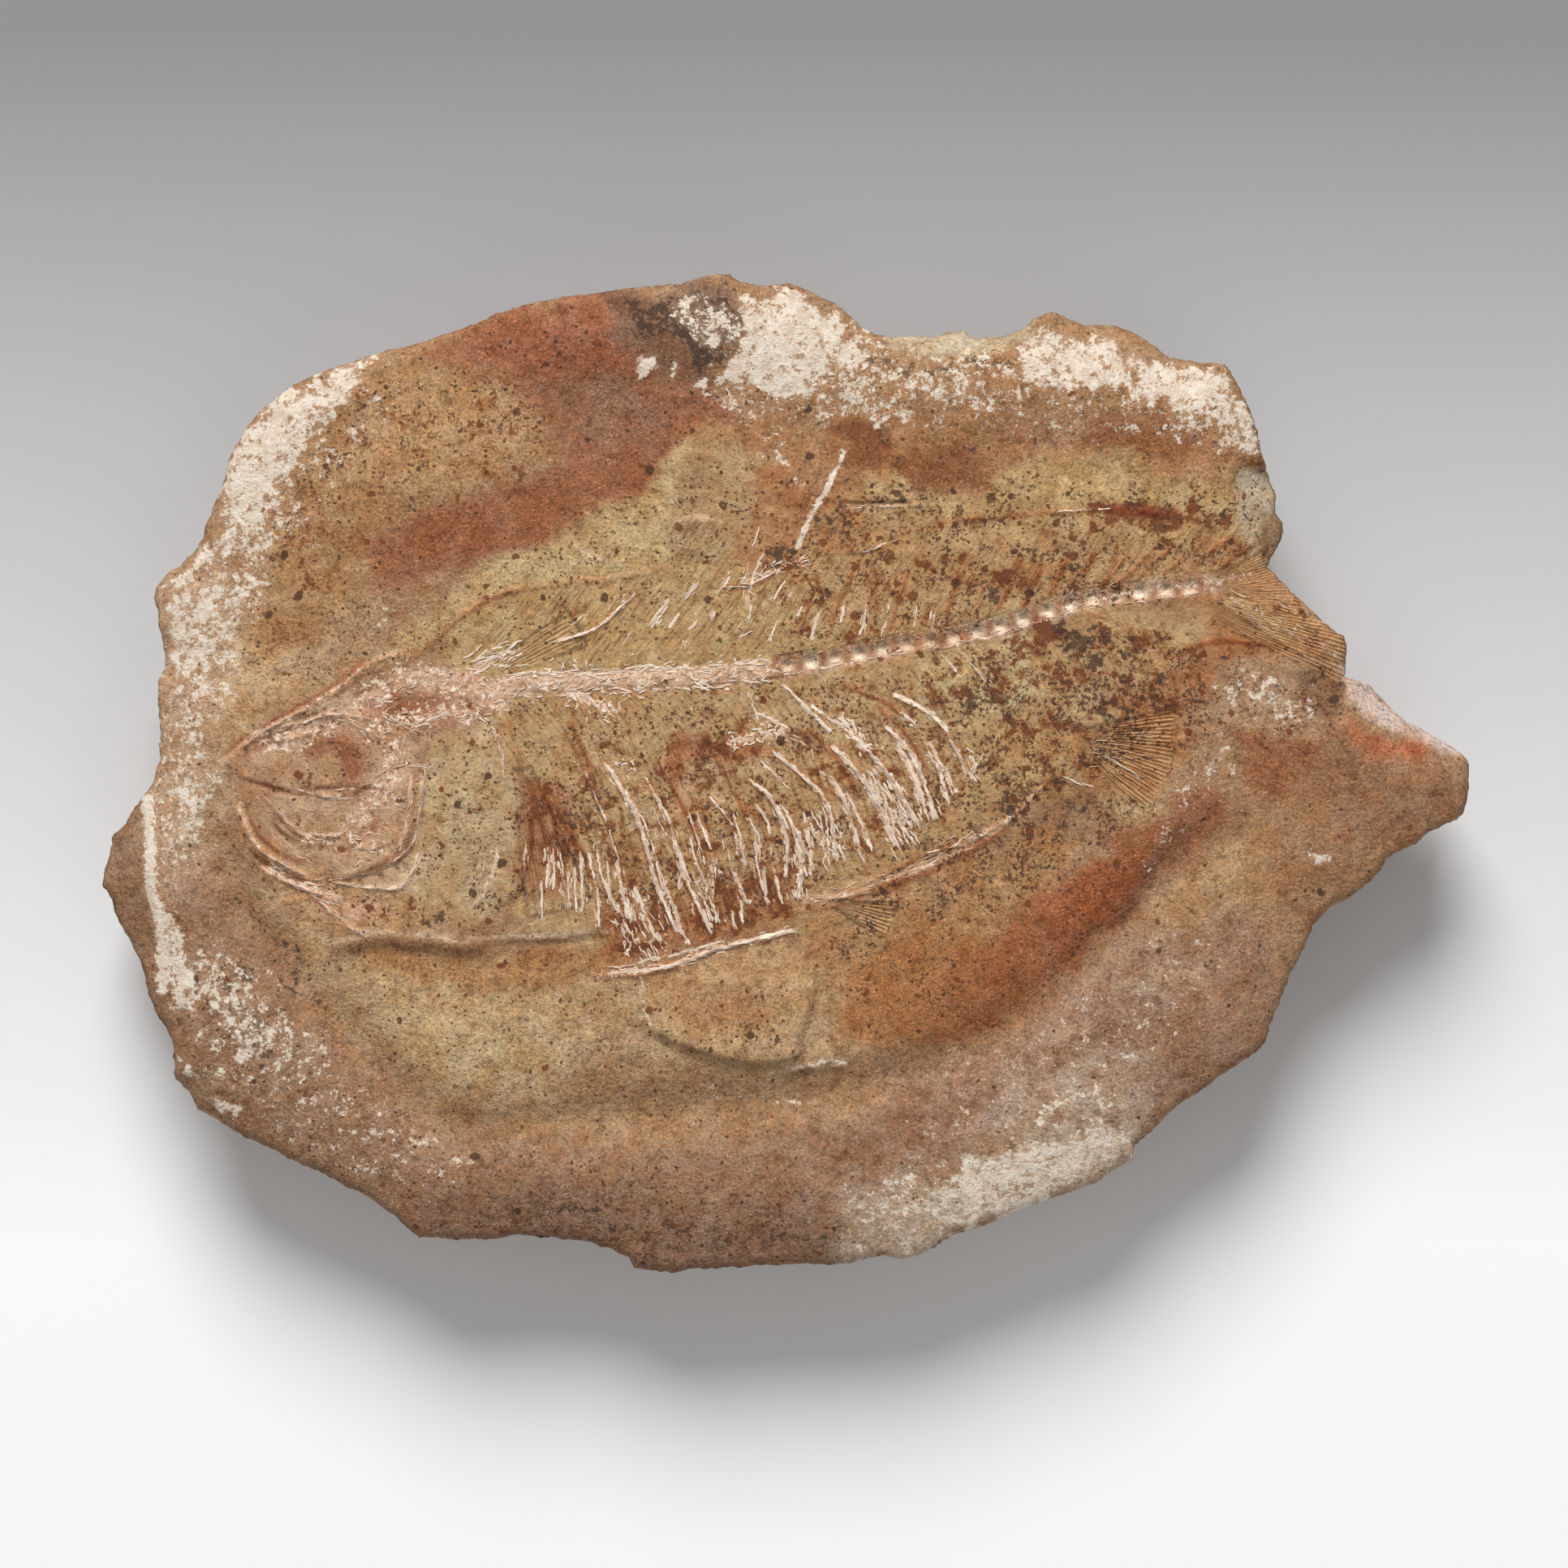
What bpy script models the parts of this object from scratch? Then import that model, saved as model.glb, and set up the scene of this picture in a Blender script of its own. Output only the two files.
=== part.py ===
"""Fossil fish slab: a flat half of a split stone nodule, with a bony fish pressed into its face.

The slab is one stone, and the fish is part of it. It lies on its back with the fish face up:
+X runs towards the fish's tail, +Y towards its back and +Z out of the face. The origin is under
the middle of the bounding box. Shapes are drawn on a sheet in millimetres, with x to the right
and y down, and slab_point turns a point of the sheet into a point of the slab.
"""

import random

import bmesh
import bpy
import numpy as np
from mathutils import Vector, noise
from mathutils.geometry import delaunay_2d_cdt

MM = 0.001

# Driving dimensions in millimetres
FACE_LEVEL = 20.6        # plain face above the resting facet
BACK_EDGE_LEVEL = 9.2    # where the wall meets the back
BACK_EDGE_WANDER = 2.6   # how far that edge climbs and drops
BACK_RISE_WIDTH = 21.0   # how far in from the wall the back keeps rising
REST_LEVEL = 0.3         # the back is broken off flat below this
FRONT_BEVEL_WIDTH = 0.9  # worn front edge
FRONT_BEVEL_DROP = 1.1
WALL_INSETS = (0.7, 1.2, 2.2)    # how far the wall steps in at each level below the silhouette
WALL_LEVELS = (0.30, 0.66, 1.0)  # those levels, as shares of the wall's height
SIDE_LENGTH = 3.6        # longer sides of the silhouette are broken up
SIDE_CHIP = 0.45         # depth of the chips between
GRID_PITCH = 3.2         # plain parts of the face
BACK_PITCH = 6.5
LINE_STEP = 2.1          # along bones, ledges and grooves
MERGE = 0.06             # closer points become one
SITE_GAP = 1.4           # plain points keep this far from drawn lines
FACE_MARGIN = 2.2        # and this far from the silhouette, on the face and on the back
BACK_MARGIN = 3.0

VERTEBRA_PITCH = 2.97
CUP_RADIUS = 1.05
CUP_DEPTH = 0.55

STONE_COLOUR = (0.43, 0.27, 0.15, 1.0)
STONE_ROUGHNESS = 0.92

# Silhouette, clockwise on the sheet from the left tip
OUTLINE = [
    (11.9, 108.7), (12.4, 104.8), (15.0, 101.5), (18.8, 96.0), (19.4, 93.4), (19.3, 89.0),
    (19.0, 86.0), (20.0, 82.3), (19.1, 77.5), (18.6, 73.5), (20.0, 70.8), (23.8, 67.6),
    (24.9, 64.9), (27.2, 59.2), (28.7, 54.8), (31.8, 50.4), (35.5, 47.6), (40.0, 45.3),
    (47.9, 42.8), (55.2, 40.7), (60.9, 38.3), (67.4, 36.5), (74.9, 35.6), (84.1, 34.6),
    (88.9, 33.5), (91.4, 34.6), (95.6, 34.9), (98.7, 35.1), (102.7, 37.0), (106.1, 40.0),
    (110.1, 41.2), (115.5, 41.2), (118.9, 40.3), (122.2, 41.2), (126.2, 40.3), (129.7, 38.2),
    (133.7, 39.7), (139.9, 40.5), (144.5, 43.8), (151.5, 44.9), (154.3, 50.2), (155.7, 55.4),
    (157.8, 61.0), (158.6, 65.0), (156.3, 69.8), (159.0, 72.6), (162.7, 76.0), (165.8, 78.4),
    (166.2, 80.3), (165.9, 83.4), (169.1, 84.2), (173.9, 89.0), (179.3, 91.9), (181.4, 94.0),
    (181.4, 97.1), (179.9, 101.0), (174.8, 104.0), (171.0, 106.0), (168.5, 109.2), (162.2, 113.9),
    (160.2, 118.2), (156.8, 126.2), (155.0, 129.9), (147.5, 135.0), (141.0, 140.4), (139.8, 143.0),
    (135.3, 145.9), (125.1, 149.7), (117.8, 152.2), (113.5, 155.2), (106.7, 155.4), (93.0, 156.2),
    (83.0, 157.1), (78.0, 156.5), (75.4, 154.1), (64.0, 152.3), (60.0, 153.0), (51.5, 152.7),
    (45.2, 147.7), (39.0, 144.4), (28.2, 139.4), (23.9, 136.9), (21.2, 133.2), (21.1, 129.0),
    (18.1, 123.0), (16.8, 118.3), (13.9, 113.3),
]

# The soft groove around the fish: depth, spread, points
VALLEYS = [
    (1.5, 3.2, [(25, 91), (26.5, 105), (31, 114), (38, 122), (44, 129), (50, 135), (56, 139),
                (70, 139), (85, 137), (100, 135), (110, 133), (120, 129), (128, 124), (137, 116),
                (143, 109), (150, 104), (158, 99)]),
    (0.7, 4.5, [(25, 91), (28, 76), (35, 63), (44, 53), (60, 48), (80, 50), (100, 53), (125, 56),
                (150, 58)]),
]

# Broad swells: x, y, half-length, half-width, turn in degrees, height
SWELLS = [
    (92, 100, 50, 20, 9, 0.9),
    (58.5, 98, 5.5, 11, -4, 0.8),
    (86, 103, 17, 9, 20, 0.5),
    (44, 96, 9, 7, 20, 0.5),
    (62, 128, 20, 6, 0, 0.6),
    (118, 122, 16, 6, 35, 0.5),
    (60, 56, 16, 7, 10, 0.6),
    (140, 50, 12, 5, -10, 0.7),
    (85.5, 96, 3.5, 5, 0, -0.5),
    (161, 90, 10, 6, -10, 0.5),
    (30, 128, 7, 8, 0, 0.7),
    (140, 130, 12, 9, 40, 0.8),
]

# Ledges with their high side on the left of the way drawn: height, fall width, fade, points
LEDGES = [
    (1.5, 1.1, 9.0, [(43.0, 115.9), (47.1, 115.1), (50.1, 115.3), (53.6, 115.7), (56.9, 115.8),
                     (61.2, 116.6)]),
    (0.8, 0.9, 6.0, [(61.2, 116.6), (63.4, 115.3), (68.0, 115.3), (71.9, 114.6), (74.9, 114.4)]),
    (1.4, 1.2, 11.0, [(77.1, 127.6), (78.9, 125.8), (83.2, 127.9), (88.3, 129.6), (91.4, 130.4),
                      (97.4, 130.0), (98.3, 127.3), (99.8, 122.2), (99.5, 118.4), (99.3, 115.6)]),
    (0.5, 0.7, 5.0, [(96.5, 131.8), (101.6, 131.4), (104.6, 131.2)]),
    (0.4, 0.6, 7.0, [(83.9, 53.6), (83.4, 58.8), (83.2, 64.5), (82.8, 69.5)]),
    (0.35, 0.6, 4.0, [(88.7, 64.2), (85.7, 63.8), (83.4, 64.5)]),
    (0.6, 0.8, 4.0, [(40.6, 108.7), (44.5, 107.2), (48.9, 105.3), (51.5, 100.5), (52.0, 94.0)]),
    (0.6, 0.9, 4.0, [(59.5, 112.6), (64.0, 109.0), (65.0, 102.0), (63.6, 94.0), (61.0, 88.0)]),
]

# Broken facets that fall away on the right of the way drawn: slope, deepest, points
CHIPS = [
    (0.75, 2.4, [(126.0, 43.2), (120.0, 43.9), (114.0, 43.6), (109.5, 43.0)]),
    (0.55, 2.6, [(156.0, 69.6), (153.5, 65.0), (152.0, 62.0), (151.5, 59.0), (153.0, 55.0)]),
    (0.80, 2.6, [(180.2, 94.2), (176.0, 91.4), (172.0, 89.8), (169.0, 88.2), (166.8, 86.0),
                 (165.6, 83.2)]),
    (0.35, 1.6, [(18.6, 97.5), (18.4, 104.0), (18.3, 108.0), (19.5, 113.0), (20.4, 119.0)]),
    (0.50, 2.2, [(24.8, 131.6), (26.0, 135.4), (29.6, 138.4)]),
    (0.60, 1.8, [(148.5, 45.4), (143.5, 44.8), (138.5, 42.6), (130.0, 40.6)]),
]

# Bones of the trunk and fins: half-width, height, points from the upper or head end
BONES = [
    (0.45, 0.40, [(67.5, 104.4), (67.6, 106.3), (67.4, 109.3)]),
    (0.40, 0.30, [(64.9, 104.0), (64.6, 107.0)]),
    (0.40, 0.30, [(69.9, 107.3), (70.3, 111.6)]),
    (0.40, 0.35, [(71.5, 105.0), (71.8, 109.6), (71.6, 112.1)]),
    (0.40, 0.35, [(72.9, 105.0), (73.8, 110.0), (74.2, 113.9)]),
    (0.45, 0.35, [(72.1, 94.9), (75.2, 102.2), (76.7, 107.7), (77.5, 111.9)]),
    (0.55, 0.50, [(74.7, 94.2), (77.9, 99.2), (80.2, 106.1), (81.4, 110.7), (83.4, 114.6)]),
    (0.45, 0.35, [(79.5, 95.8), (82.7, 101.7), (83.9, 107.5), (85.5, 110.8), (87.6, 114.8)]),
    (0.40, 0.30, [(84.8, 99.9), (86.2, 103.6), (86.8, 106.3)]),
    (0.40, 0.35, [(86.3, 98.6), (88.0, 104.5), (88.2, 111.3)]),
    (0.40, 0.35, [(87.3, 98.1), (90.1, 101.5), (91.0, 106.6), (91.9, 111.1)]),
    (0.40, 0.30, [(90.1, 100.0), (91.8, 103.3), (92.2, 107.4)]),
    (0.40, 0.35, [(92.1, 99.4), (94.4, 102.6), (94.4, 107.0), (95.3, 110.0)]),
    (0.55, 0.50, [(92.3, 96.1), (95.5, 99.3), (97.0, 103.6), (96.8, 107.8)]),
    (0.50, 0.45, [(95.3, 92.6), (99.2, 95.9), (102.1, 99.4), (102.9, 104.6)]),
    (0.45, 0.40, [(97.6, 101.4), (98.8, 104.0), (98.4, 110.4)]),
    (0.45, 0.35, [(96.4, 84.4), (99.2, 87.0), (102.1, 90.0)]),
    (0.40, 0.30, [(99.9, 86.9), (103.8, 89.6)]),
    (0.40, 0.30, [(100.4, 96.6), (104.2, 98.9), (106.4, 106.1)]),
    (0.55, 0.50, [(102.5, 92.0), (106.2, 95.9), (109.0, 100.9), (110.3, 103.9)]),
    (0.50, 0.45, [(104.9, 90.5), (109.4, 95.2), (112.7, 101.1)]),
    (0.50, 0.45, [(109.0, 89.4), (112.9, 94.1), (115.1, 100.7)]),
    (0.45, 0.40, [(110.1, 85.9), (114.6, 88.1), (118.1, 92.8), (120.0, 96.1)]),
    (0.40, 0.35, [(112.6, 90.0), (115.7, 95.0), (116.8, 98.9)]),
    (0.40, 0.30, [(92.1, 85.3), (93.4, 88.5)]),
    (0.40, 0.30, [(95.5, 88.1), (92.5, 90.7)]),
    (0.45, 0.35, [(101.2, 75.5), (100.6, 78.0)]),
    (0.45, 0.35, [(106.7, 74.7), (106.5, 76.4), (105.9, 78.4)]),
    (0.45, 0.35, [(109.4, 74.3), (109.2, 76.2), (108.6, 78.2)]),
    (0.45, 0.35, [(115.3, 74.3), (115.0, 76.8)]),
    (0.45, 0.35, [(121.6, 71.7), (120.5, 75.9)]),
    (0.45, 0.35, [(125.4, 69.0), (124.7, 71.7), (123.4, 74.6)]),
    (0.45, 0.35, [(127.7, 70.7), (126.0, 74.7)]),
    (0.45, 0.35, [(131.5, 68.8), (129.8, 73.0)]),
    (0.45, 0.35, [(134.4, 68.8), (132.9, 72.6)]),
    (0.45, 0.35, [(140.9, 68.0), (137.9, 71.8)]),
    (0.45, 0.35, [(147.3, 65.6), (144.6, 67.5), (140.9, 70.9)]),
    (0.45, 0.35, [(153.0, 65.8), (147.6, 69.0), (145.4, 70.7)]),
    (0.50, 0.40, [(154.8, 67.2), (151.5, 69.3), (149.0, 71.6)]),
    (0.50, 0.40, [(78.4, 72.9), (75.8, 75.5), (72.9, 77.8), (68.9, 79.0)]),
    (0.40, 0.30, [(93.6, 69.0), (91.4, 73.6)]),
    (0.40, 0.30, [(85.6, 71.6), (84.0, 73.6)]),
    (0.45, 0.35, [(62.8, 80.0), (60.4, 81.3), (58.7, 82.9)]),
    (0.50, 0.35, [(98.6, 110.6), (103.4, 110.4), (108.1, 108.6), (115.3, 106.2), (120.0, 103.5),
                  (124.4, 100.8), (128.2, 97.4), (131.0, 95.0)]),
    (0.40, 0.30, [(104.2, 111.3), (107.2, 112.3), (109.9, 112.6)]),
    (0.40, 0.30, [(104.0, 112.1), (106.8, 113.8), (109.2, 115.0)]),
    (0.40, 0.25, [(88.7, 72.4), (93.3, 71.8), (96.0, 70.2), (99.4, 69.1)]),
    (0.45, 0.30, [(101.0, 68.2), (107.1, 67.8), (110.2, 66.6)]),
    (0.40, 0.25, [(104.4, 62.6), (111.3, 62.4)]),
    (0.55, 0.30, [(136.6, 62.8), (144.9, 63.4), (150.2, 64.6)]),
    (0.45, 0.30, [(144.9, 80.9), (147.0, 79.7), (150.7, 78.9), (156.6, 79.6)]),
    (0.55, 0.35, [(73.3, 120.2), (78.9, 120.1), (83.2, 118.9), (88.3, 116.9), (94.5, 115.6),
                  (97.5, 114.6)]),
]

# Ridges of the skull and the line of the back, in the same form
SKULL = [
    (0.60, 0.60, [(27.4, 93.8), (32.0, 90.5), (36.3, 88.1), (41.9, 84.7), (45.8, 81.6),
                  (50.4, 80.1)]),
    (0.55, 0.45, [(50.6, 81.1), (53.9, 78.5), (56.9, 75.9), (61.7, 73.1), (68.4, 72.0),
                  (76.2, 71.2), (82.5, 69.8)]),
    (0.45, 0.35, [(31.3, 91.0), (35.4, 89.6), (40.2, 88.2), (43.9, 88.2), (47.3, 89.1)]),
    (0.45, 0.40, [(27.6, 93.8), (30.4, 96.0)]),
    (0.45, 0.40, [(32.2, 97.9), (34.8, 100.9), (38.0, 103.6), (39.6, 104.2)]),
    (0.60, 0.55, [(29.4, 99.4), (31.1, 103.5), (34.3, 106.1), (37.8, 107.9)]),
    (0.50, 0.45, [(32.4, 106.9), (36.3, 109.0), (41.7, 110.8)]),
    (0.50, 0.45, [(40.2, 111.7), (42.8, 114.1), (45.2, 115.2)]),
    (0.45, 0.35, [(38.0, 96.8), (40.2, 98.1), (44.1, 97.4), (44.9, 95.3), (43.8, 93.0)]),
    (0.45, 0.40, [(50.8, 96.2), (50.4, 100.9), (49.7, 103.6)]),
    (0.45, 0.40, [(42.0, 109.4), (46.3, 109.6), (50.0, 109.0), (51.6, 106.1)]),
    (0.40, 0.30, [(38.4, 102.7), (41.1, 103.1), (42.4, 102.5)]),
    (0.45, 0.35, [(61.5, 105.9), (60.1, 109.5), (58.4, 111.7)]),
]

# Grooves, as half-width, depth and points
GROOVES = [
    (0.55, 0.45, [(33.4, 90.9), (38.0, 88.5), (43.4, 86.0), (46.6, 84.8)]),
    (0.50, 0.50, [(30.6, 96.2), (34.1, 97.2), (36.6, 97.9)]),
    (0.55, 0.50, [(32.2, 99.6), (34.6, 102.6), (37.2, 105.2)]),
    (0.60, 0.50, [(31.3, 105.4), (34.1, 107.5), (37.1, 108.6)]),
]

# The backbone as a trough of cups from the middle of the trunk to the tail
BACKBONE = [
    (95.6, 82.1), (99.4, 81.5), (104.8, 80.6), (110.2, 79.5), (114.7, 78.9), (118.6, 78.1),
    (122.5, 77.2), (126.2, 76.1), (130.4, 74.7), (134.5, 73.7), (137.8, 73.2), (141.6, 72.8),
    (145.7, 72.4), (149.0, 71.8),
]
TROUGH_HALF_WIDTH = 1.35
TROUGH_DEPTH = 0.5
# The crumbled backbone behind the skull, as beads that stand proud
NECK_BACKBONE = [(62.0, 84.5), (66.0, 83.8), (73.0, 83.8), (80.3, 83.4), (88.0, 83.0), (94.0, 82.4)]
BEAD_RADIUS = 1.3
BEAD_HEIGHT = 0.45

# Fin rays spread from a root to the edge of the fin: root, first tip, last tip, count, width, height
FANS = [
    ((148.2, 72.8), (164.0, 77.9), (164.2, 82.6), 7, 0.34, 0.32),
    ((149.6, 72.4), (158.6, 73.8), (163.2, 77.2), 4, 0.34, 0.30),
    ((131.6, 91.4), (142.4, 90.2), (139.2, 97.2), 6, 0.34, 0.30),
]
EDGE_CLEARANCE = 1.5     # drawn lines end this far inside the silhouette
TAPER = 0.18             # share of a bone's length over which each end dies away


def slab_point(x, y):
    """A point of the sheet as a point of the slab, in millimetres."""
    xs = [point[0] for point in OUTLINE]
    ys = [point[1] for point in OUTLINE]
    return x - (min(xs) + max(xs)) / 2, (min(ys) + max(ys)) / 2 - y


def slab_line(points):
    return np.array([slab_point(x, y) for x, y in points], dtype=float)


def smooth(line, step):
    """Points about one step apart on a Catmull-Rom curve through the line's points."""
    knots = np.concatenate([line[:1], line, line[-1:]])
    curve = []
    for a, b, c, d in zip(knots, knots[1:], knots[2:], knots[3:]):
        count = max(1, round(float(np.linalg.norm(c - b)) / step))
        for t in np.arange(count) / count:
            curve.append(0.5 * (2 * b + (c - a) * t + (2 * a - 5 * b + 4 * c - d) * t ** 2
                                + (3 * b - a - 3 * c + d) * t ** 3))
    curve.append(knots[-1])
    return np.array(curve)


def sideways(line, gap):
    """The line moved sideways by a gap, to its left where the gap is above 0."""
    run = np.gradient(line, axis=0)
    run /= np.linalg.norm(run, axis=1)[:, None]
    return line + gap * np.column_stack([-run[:, 1], run[:, 0]])


def measure(spots, line):
    """Each spot's distance to the line, its side of it, 1 on the left, and its way along, 0 to 1."""
    nearest = np.full(len(spots), np.inf)
    side = np.ones(len(spots))
    along = np.zeros(len(spots))
    lengths = np.linalg.norm(np.diff(line, axis=0), axis=1)
    starts = np.concatenate([[0.0], np.cumsum(lengths)])
    for start, length, a, b in zip(starts, lengths, line, line[1:]):
        run = b - a
        reach = spots - a
        t = np.clip(reach @ run / (run @ run), 0, 1)
        gap = reach - t[:, None] * run
        distance = np.hypot(gap[:, 0], gap[:, 1])
        closer = distance < nearest
        nearest[closer] = distance[closer]
        side[closer] = np.sign(run[0] * reach[closer, 1] - run[1] * reach[closer, 0])
        along[closer] = (start + t[closer] * length) / starts[-1]
    return nearest, side, along


def ease(value):
    """0 below 0, 1 above 1, and a smooth step between."""
    value = np.clip(value, 0, 1)
    return value * value * (3 - 2 * value)


def ends(along, share=TAPER):
    """1 along the middle of a line, easing to 0 at both ends."""
    return ease(np.minimum(along, 1 - along) / share)


def clouds(spots, size, seed):
    """Gentle unevenness between -1 and 1, with lumps of about the given size."""
    return np.array([noise.noise(Vector((x / size, y / size, seed))) for x, y in spots])


def fan_rays():
    """The rays of each fin, as bones."""
    rays = []
    for root, first, last, count, half_width, height in FANS:
        for share in np.linspace(0, 1, count):
            tip = [a + (b - a) * share for a, b in zip(first, last)]
            start = [a + (b - a) * 0.25 for a, b in zip(root, tip)]
            rays.append((half_width, height, [tuple(start), tuple(tip)]))
    return rays


def cups(line, first=0.5):
    """The middles of the vertebrae along a line."""
    fine = smooth(slab_line(line), 0.1)
    travelled = np.concatenate([[0], np.cumsum(np.linalg.norm(np.diff(fine, axis=0), axis=1))])
    places = np.arange(first * VERTEBRA_PITCH, travelled[-1], VERTEBRA_PITCH)
    return np.column_stack([np.interp(places, travelled, fine[:, axis]) for axis in (0, 1)])


def round_spots(spots, middles, radius):
    """A soft bump of height 1 around each middle, the highest one at each spot."""
    best = np.zeros(len(spots))
    for middle in middles:
        gap = np.linalg.norm(spots - middle, axis=1) / radius
        best = np.maximum(best, np.exp(-1.5 * gap ** 2))
    return best


def swell(spots, x, y, long, short, turn, height):
    """A broad bump with an oval plan."""
    rel = spots - np.array(slab_point(x, y))
    angle = np.radians(turn)
    u = rel[:, 0] * np.cos(angle) + rel[:, 1] * np.sin(angle)
    v = rel[:, 1] * np.cos(angle) - rel[:, 0] * np.sin(angle)
    return height * np.exp(-(u / long) ** 2 - (v / short) ** 2)


def raised_lines(spots, bones):
    """The highest of the bones' round crests at each spot."""
    best = np.zeros(len(spots))
    for half_width, height, points in bones:
        distance, _, along = measure(spots, smooth(slab_line(points), LINE_STEP))
        crest = np.clip(1 - distance / half_width, 0, 1)
        best = np.maximum(best, height * crest * (0.35 + 0.65 * ends(along)))
    return best


def face_height(spots):
    """Height of the fish face over the resting facet, in millimetres."""
    outline = slab_line(OUTLINE + OUTLINE[:1])
    inward = measure(spots, outline)[0]
    height = FACE_LEVEL + 0.55 * clouds(spots, 34, 3.1) + 0.22 * clouds(spots, 9, 7.7)
    height -= 1.3 * np.exp(-(inward / 4.0) ** 2)
    height -= FRONT_BEVEL_DROP * np.clip(1 - inward / FRONT_BEVEL_WIDTH, 0, 1)
    for depth, spread, points in VALLEYS:
        distance, _, along = measure(spots, smooth(slab_line(points), 6))
        height -= depth * np.exp(-(distance / spread) ** 2) * ends(along, 0.1)
    for row in SWELLS:
        height += swell(spots, *row)
    for rise, fall, fade, points in LEDGES:
        distance, side, along = measure(spots, smooth(slab_line(points), LINE_STEP))
        high = np.exp(-distance / fade)
        low = np.clip(1 - distance / fall, 0, 1)
        height += rise * np.where(side >= 0, high, low) * ends(along)
    for slope, deepest, points in CHIPS:
        distance, side, along = measure(spots, smooth(slab_line(points), LINE_STEP))
        height -= np.where(side < 0, np.minimum(slope * distance, deepest), 0) * ends(along, 0.12)
    distance, _, along = measure(spots, smooth(slab_line(BACKBONE), LINE_STEP))
    trough = np.clip(1 - distance / TROUGH_HALF_WIDTH, 0, 1)
    height -= TROUGH_DEPTH * trough * ends(along, 0.08)
    height -= CUP_DEPTH * round_spots(spots, cups(BACKBONE), CUP_RADIUS)
    height += BEAD_HEIGHT * round_spots(spots, cups(NECK_BACKBONE), BEAD_RADIUS)
    height += raised_lines(spots, BONES + SKULL + fan_rays())
    height -= raised_lines(spots, GROOVES)
    return height


def back_height(spots):
    """Height of the broken back: flat in the middle, rising to the wall."""
    inward = measure(spots, slab_line(OUTLINE + OUTLINE[:1]))[0]
    wander = 6.0 * clouds(spots, 26, 11.3) + 2.5 * clouds(spots, 10, 5.9)
    rise = np.clip(1 - (inward + wander * ease(inward / 8)) / BACK_RISE_WIDTH, 0, 1)
    height = (BACK_EDGE_LEVEL + BACK_EDGE_WANDER * clouds(spots, 17, 21.7)) * rise ** 1.5
    height[height < REST_LEVEL] = 0.0
    return height


def lined_sites(line, gaps, closed=False):
    """Rows of points beside a line, each row joined along its length."""
    sites = []
    links = []
    for gap in gaps:
        row = sideways(line, gap) if gap else line
        base = len(sites)
        sites.extend(row)
        links.extend((base + i, base + i + 1) for i in range(len(row) - 1))
        if closed:
            links.append((base + len(row) - 1, base))
    return sites, links


def drawn_sites():
    """Points and links on every bone, ledge, groove and cup of the face."""
    groups = []
    for half_width, _, points in BONES + SKULL + fan_rays() + GROOVES:
        groups.append(lined_sites(smooth(slab_line(points), LINE_STEP), (0, half_width, -half_width)))
    for _, fall, _, points in LEDGES:
        groups.append(lined_sites(smooth(slab_line(points), LINE_STEP), (0, -fall)))
    for _, _, points in CHIPS:
        groups.append(lined_sites(smooth(slab_line(points), LINE_STEP), (0,)))
    trough = smooth(slab_line(BACKBONE), LINE_STEP)
    groups.append(lined_sites(trough, (TROUGH_HALF_WIDTH, -TROUGH_HALF_WIDTH)))
    for middle in cups(BACKBONE):
        groups.append(([middle], []))
    for middle in cups(NECK_BACKBONE):
        ring = [middle + BEAD_RADIUS * np.array([np.cos(a), np.sin(a)])
                for a in np.arange(5) * np.radians(72)]
        groups.append(([middle] + ring, []))
    sites = []
    links = []
    for group_sites, group_links in groups:
        links.extend((a + len(sites), b + len(sites)) for a, b in group_links)
        sites.extend(group_sites)
    return sites, links


def inside(spots, ring):
    """Whether each spot lies within a closed ring."""
    hits = np.zeros(len(spots), dtype=bool)
    for (ax, ay), (bx, by) in zip(ring, np.roll(ring, -1, axis=0)):
        if ay == by:
            continue
        across = (ay > spots[:, 1]) != (by > spots[:, 1])
        hits ^= across & (spots[:, 0] < (bx - ax) * (spots[:, 1] - ay) / (by - ay) + ax)
    return hits


def plain_sites(pitch, ring, margin, jitter, seed):
    """A loosely spaced field of points inside a ring, clear of its edge."""
    rng = random.Random(seed)
    low = ring.min(axis=0)
    high = ring.max(axis=0)
    field = []
    for row, y in enumerate(np.arange(low[1], high[1], pitch * 0.866)):
        for x in np.arange(low[0] + pitch / 2 * (row % 2), high[0], pitch):
            field.append((x + rng.uniform(-jitter, jitter), y + rng.uniform(-jitter, jitter)))
    field = np.array(field)
    closed = np.concatenate([ring, ring[:1]])
    return field[inside(field, ring) & (measure(field, closed)[0] > margin)]


def triangulate(ring, sites, links):
    """Triangles inside the ring whose edges follow the links."""
    count = len(ring)
    spots = [Vector(point) for point in ring] + [Vector(point) for point in sites]
    edges = [(a + count, b + count) for a, b in links]
    result = delaunay_2d_cdt(spots, edges, [list(range(count))], 1, MERGE)
    found = np.array([tuple(v) for v in result[0]])
    border = {}
    for index, sources in enumerate(result[3]):
        for source in sources:
            if source < count:
                border[source] = index
    return found, [list(face) for face in result[2]], [border[i] for i in range(count)]


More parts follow.
